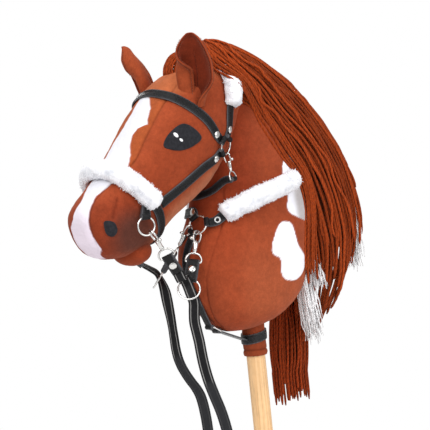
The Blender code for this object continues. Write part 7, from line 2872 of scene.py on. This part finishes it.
    def hank(self, name: str, skin: Skin, count: int, seed: int, lift: float, tone: float) -> None:
        """Straight strands of the lower hank, with stepped ends."""
        rows = skin.cage.shape[0]
        v = (np.arange(count) + 0.4 * (hashed(count, seed) - 0.5)) * Skin.SIDES / count
        share = np.linspace(0, 1, 40)
        least = float(
            np.interp(0.024, skin.at(np.linspace(1, 5, 80), np.zeros(80))[0][:, 2], np.linspace(1, 5, 80))
        )
        u = least + (rows - 4.4 - least) * share[None] + 0 * v[:, None]
        sway = mixed_noise(u * 1.2, np.arange(count)[:, None] * 0.9, 0 * u, seed + 2)
        point, by_u, by_v = skin.at(u, v[:, None] + sway * 0.2)
        normal = skin.outward(by_u, by_v)
        paths = point + normal * (lift + (hashed(count, seed + 3)[:, None] - 0.6) * 0.0022)[..., None]
        tail = 8
        ends = 0.014 + 0.034 * hashed(count, seed + 1)[:, None] ** 0.7
        sag = np.linspace(1, 0, tail, endpoint=False)[None]
        lower = paths[:, :1] - np.stack(np.broadcast_arrays(0.001 + 0 * sag, 0 * sag, ends * sag), -1)
        paths = np.concatenate((lower, paths), axis=1)
        normal = np.concatenate((np.repeat(normal[:, :1], tail, axis=1), normal), axis=1)
        share = np.linspace(0, 1, paths.shape[1])
        taper = tapered(share, 0.5, 3.0, 0.06, 0.05)
        radius = 0.0017 * (0.88 + 0.24 * hashed(count, seed + 4))[:, None] * taper
        tones = tone * (0.78 + 0.4 * hashed(count, seed + 5))
        strand_piece(name, paths, normal, radius, tones, Dress.HANK)

    def forelock(self, centre: Triple = (-0.078, 0.0, 0.433), reach: Triple = (0.025, 0.0185, 0.032)) -> None:
        """Yarn that arches over the poll between the ears, in two layers of parallel strands."""
        size, c = np.array(reach), np.array(centre)
        share = np.linspace(0, 1, 30)
        for k, (count, drop) in enumerate(((15, 0.0), (12, 0.0022))):
            y = np.linspace(-0.93, 0.93, count) + (hashed(count, 401 + k) - 0.5) * 0.07
            bow = np.radians(-4 + (172 + 14 * hashed(count, 411 + k)[:, None]) * share[None])
            slim = np.sqrt(1 - y**2)[:, None]
            flat = np.stack(
                np.broadcast_arrays(
                    np.cos(bow) * slim, y[:, None] + 0.1 * np.sin(3 * bow), np.sin(bow) * slim
                ),
                -1,
            )
            normal = unit(flat / size)
            sway = value_noise(flat * size * (1, 3, 1), 0.01, 421 + k)[..., None] * 0.0007
            points = flat * size + c - normal * (drop + sway + 0.0012)
            radius = (0.00135 + 0.0002 * hashed(count, 431 + k))[:, None] * np.ones(30)
            # The lower forelock layer is painted darker, as shade.
            tone = (0.95 - 0.2 * k) * (0.8 + 0.35 * hashed(count, 441 + k))
            nodes = ("forelock",) if k == 0 else ()
            strand_piece(f"forelock_strands_{k}", points, normal, radius, tone, Dress.YARN, *nodes)

    def white_tufts(self) -> None:
        """Fine white strands that hang out under the brown layers."""
        groups = (
            ((0.1655, -0.031, 0.24), (0.1665, -0.031, 0.156), 120, (0.011, 0.011), 0.0011),
            ((0.103, -0.024, 0.172), (0.099, -0.034, 0.136), 55, (0.009, 0.006), 0.0011),
            ((0.088, -0.012, 0.158), (0.085, -0.027, 0.068), 130, (0.01, 0.009), 0.0011),
            ((0.155, 0.018, 0.2), (0.158, 0.02, 0.14), 60, (0.014, 0.012), 0.0008),
        )
        for k, (start, end, count, spread, radius) in enumerate(groups):
            a, b = np.array(start), np.array(end)
            share = np.linspace(0, 1, 22)
            jitter = (hashed(count * 3, 500 + k).reshape(count, 1, 3) - 0.5) * 2
            fan = (hashed(count * 3, 520 + k).reshape(count, 1, 3) - 0.5) * 2
            length = 0.62 + 0.42 * hashed(count, 540 + k)[:, None, None]
            line = a + (b - a) * share[None, :, None] * length
            curl = vector_noise(line + jitter * 0.03, 0.012, 560 + k * 3) * 0.0026
            paths = (
                line
                + jitter * (spread[0], spread[1], 0.004)
                + fan * (share**1.5)[None, :, None] * (0.005, 0.005, 0.001)
                + curl * share[:, None]
            )
            hints = np.broadcast_to(np.array(VIEW_TOWARDS, float), paths.shape)
            taper = np.clip(1.15 - share**4, 0.35, 1.0)
            # Tones above 1 paint the strands lighter than the white yarn itself: painted light against the
            # shade the fine strands cast on each other.
            tone = 1.02 + 0.1 * hashed(count, 580 + k)
            strand_piece(
                f"white_tuft_{k}", paths, hints, radius * taper * np.ones((count, 1)), tone, Dress.WHITE_YARN,
                sides=5,
            )


def main() -> None:
    logging.basicConfig(level=logging.INFO, format="%(message)s")
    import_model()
    Studio().build()
    Reins().build()
    Stick().build()
    head = Skin.through(HEAD_SECTIONS, 0.8)
    neck = Skin.through(NECK_SECTIONS, 0.86)
    PlushBody(head, neck).build()
    for side in Side:
        Ear(side).build()
    Face(head).build()
    Halter(head, neck).build()
    Breastplate(neck).build()
    ReinEnds().build()
    Hair(head, neck).build()


if __name__ == "__main__":
    main()
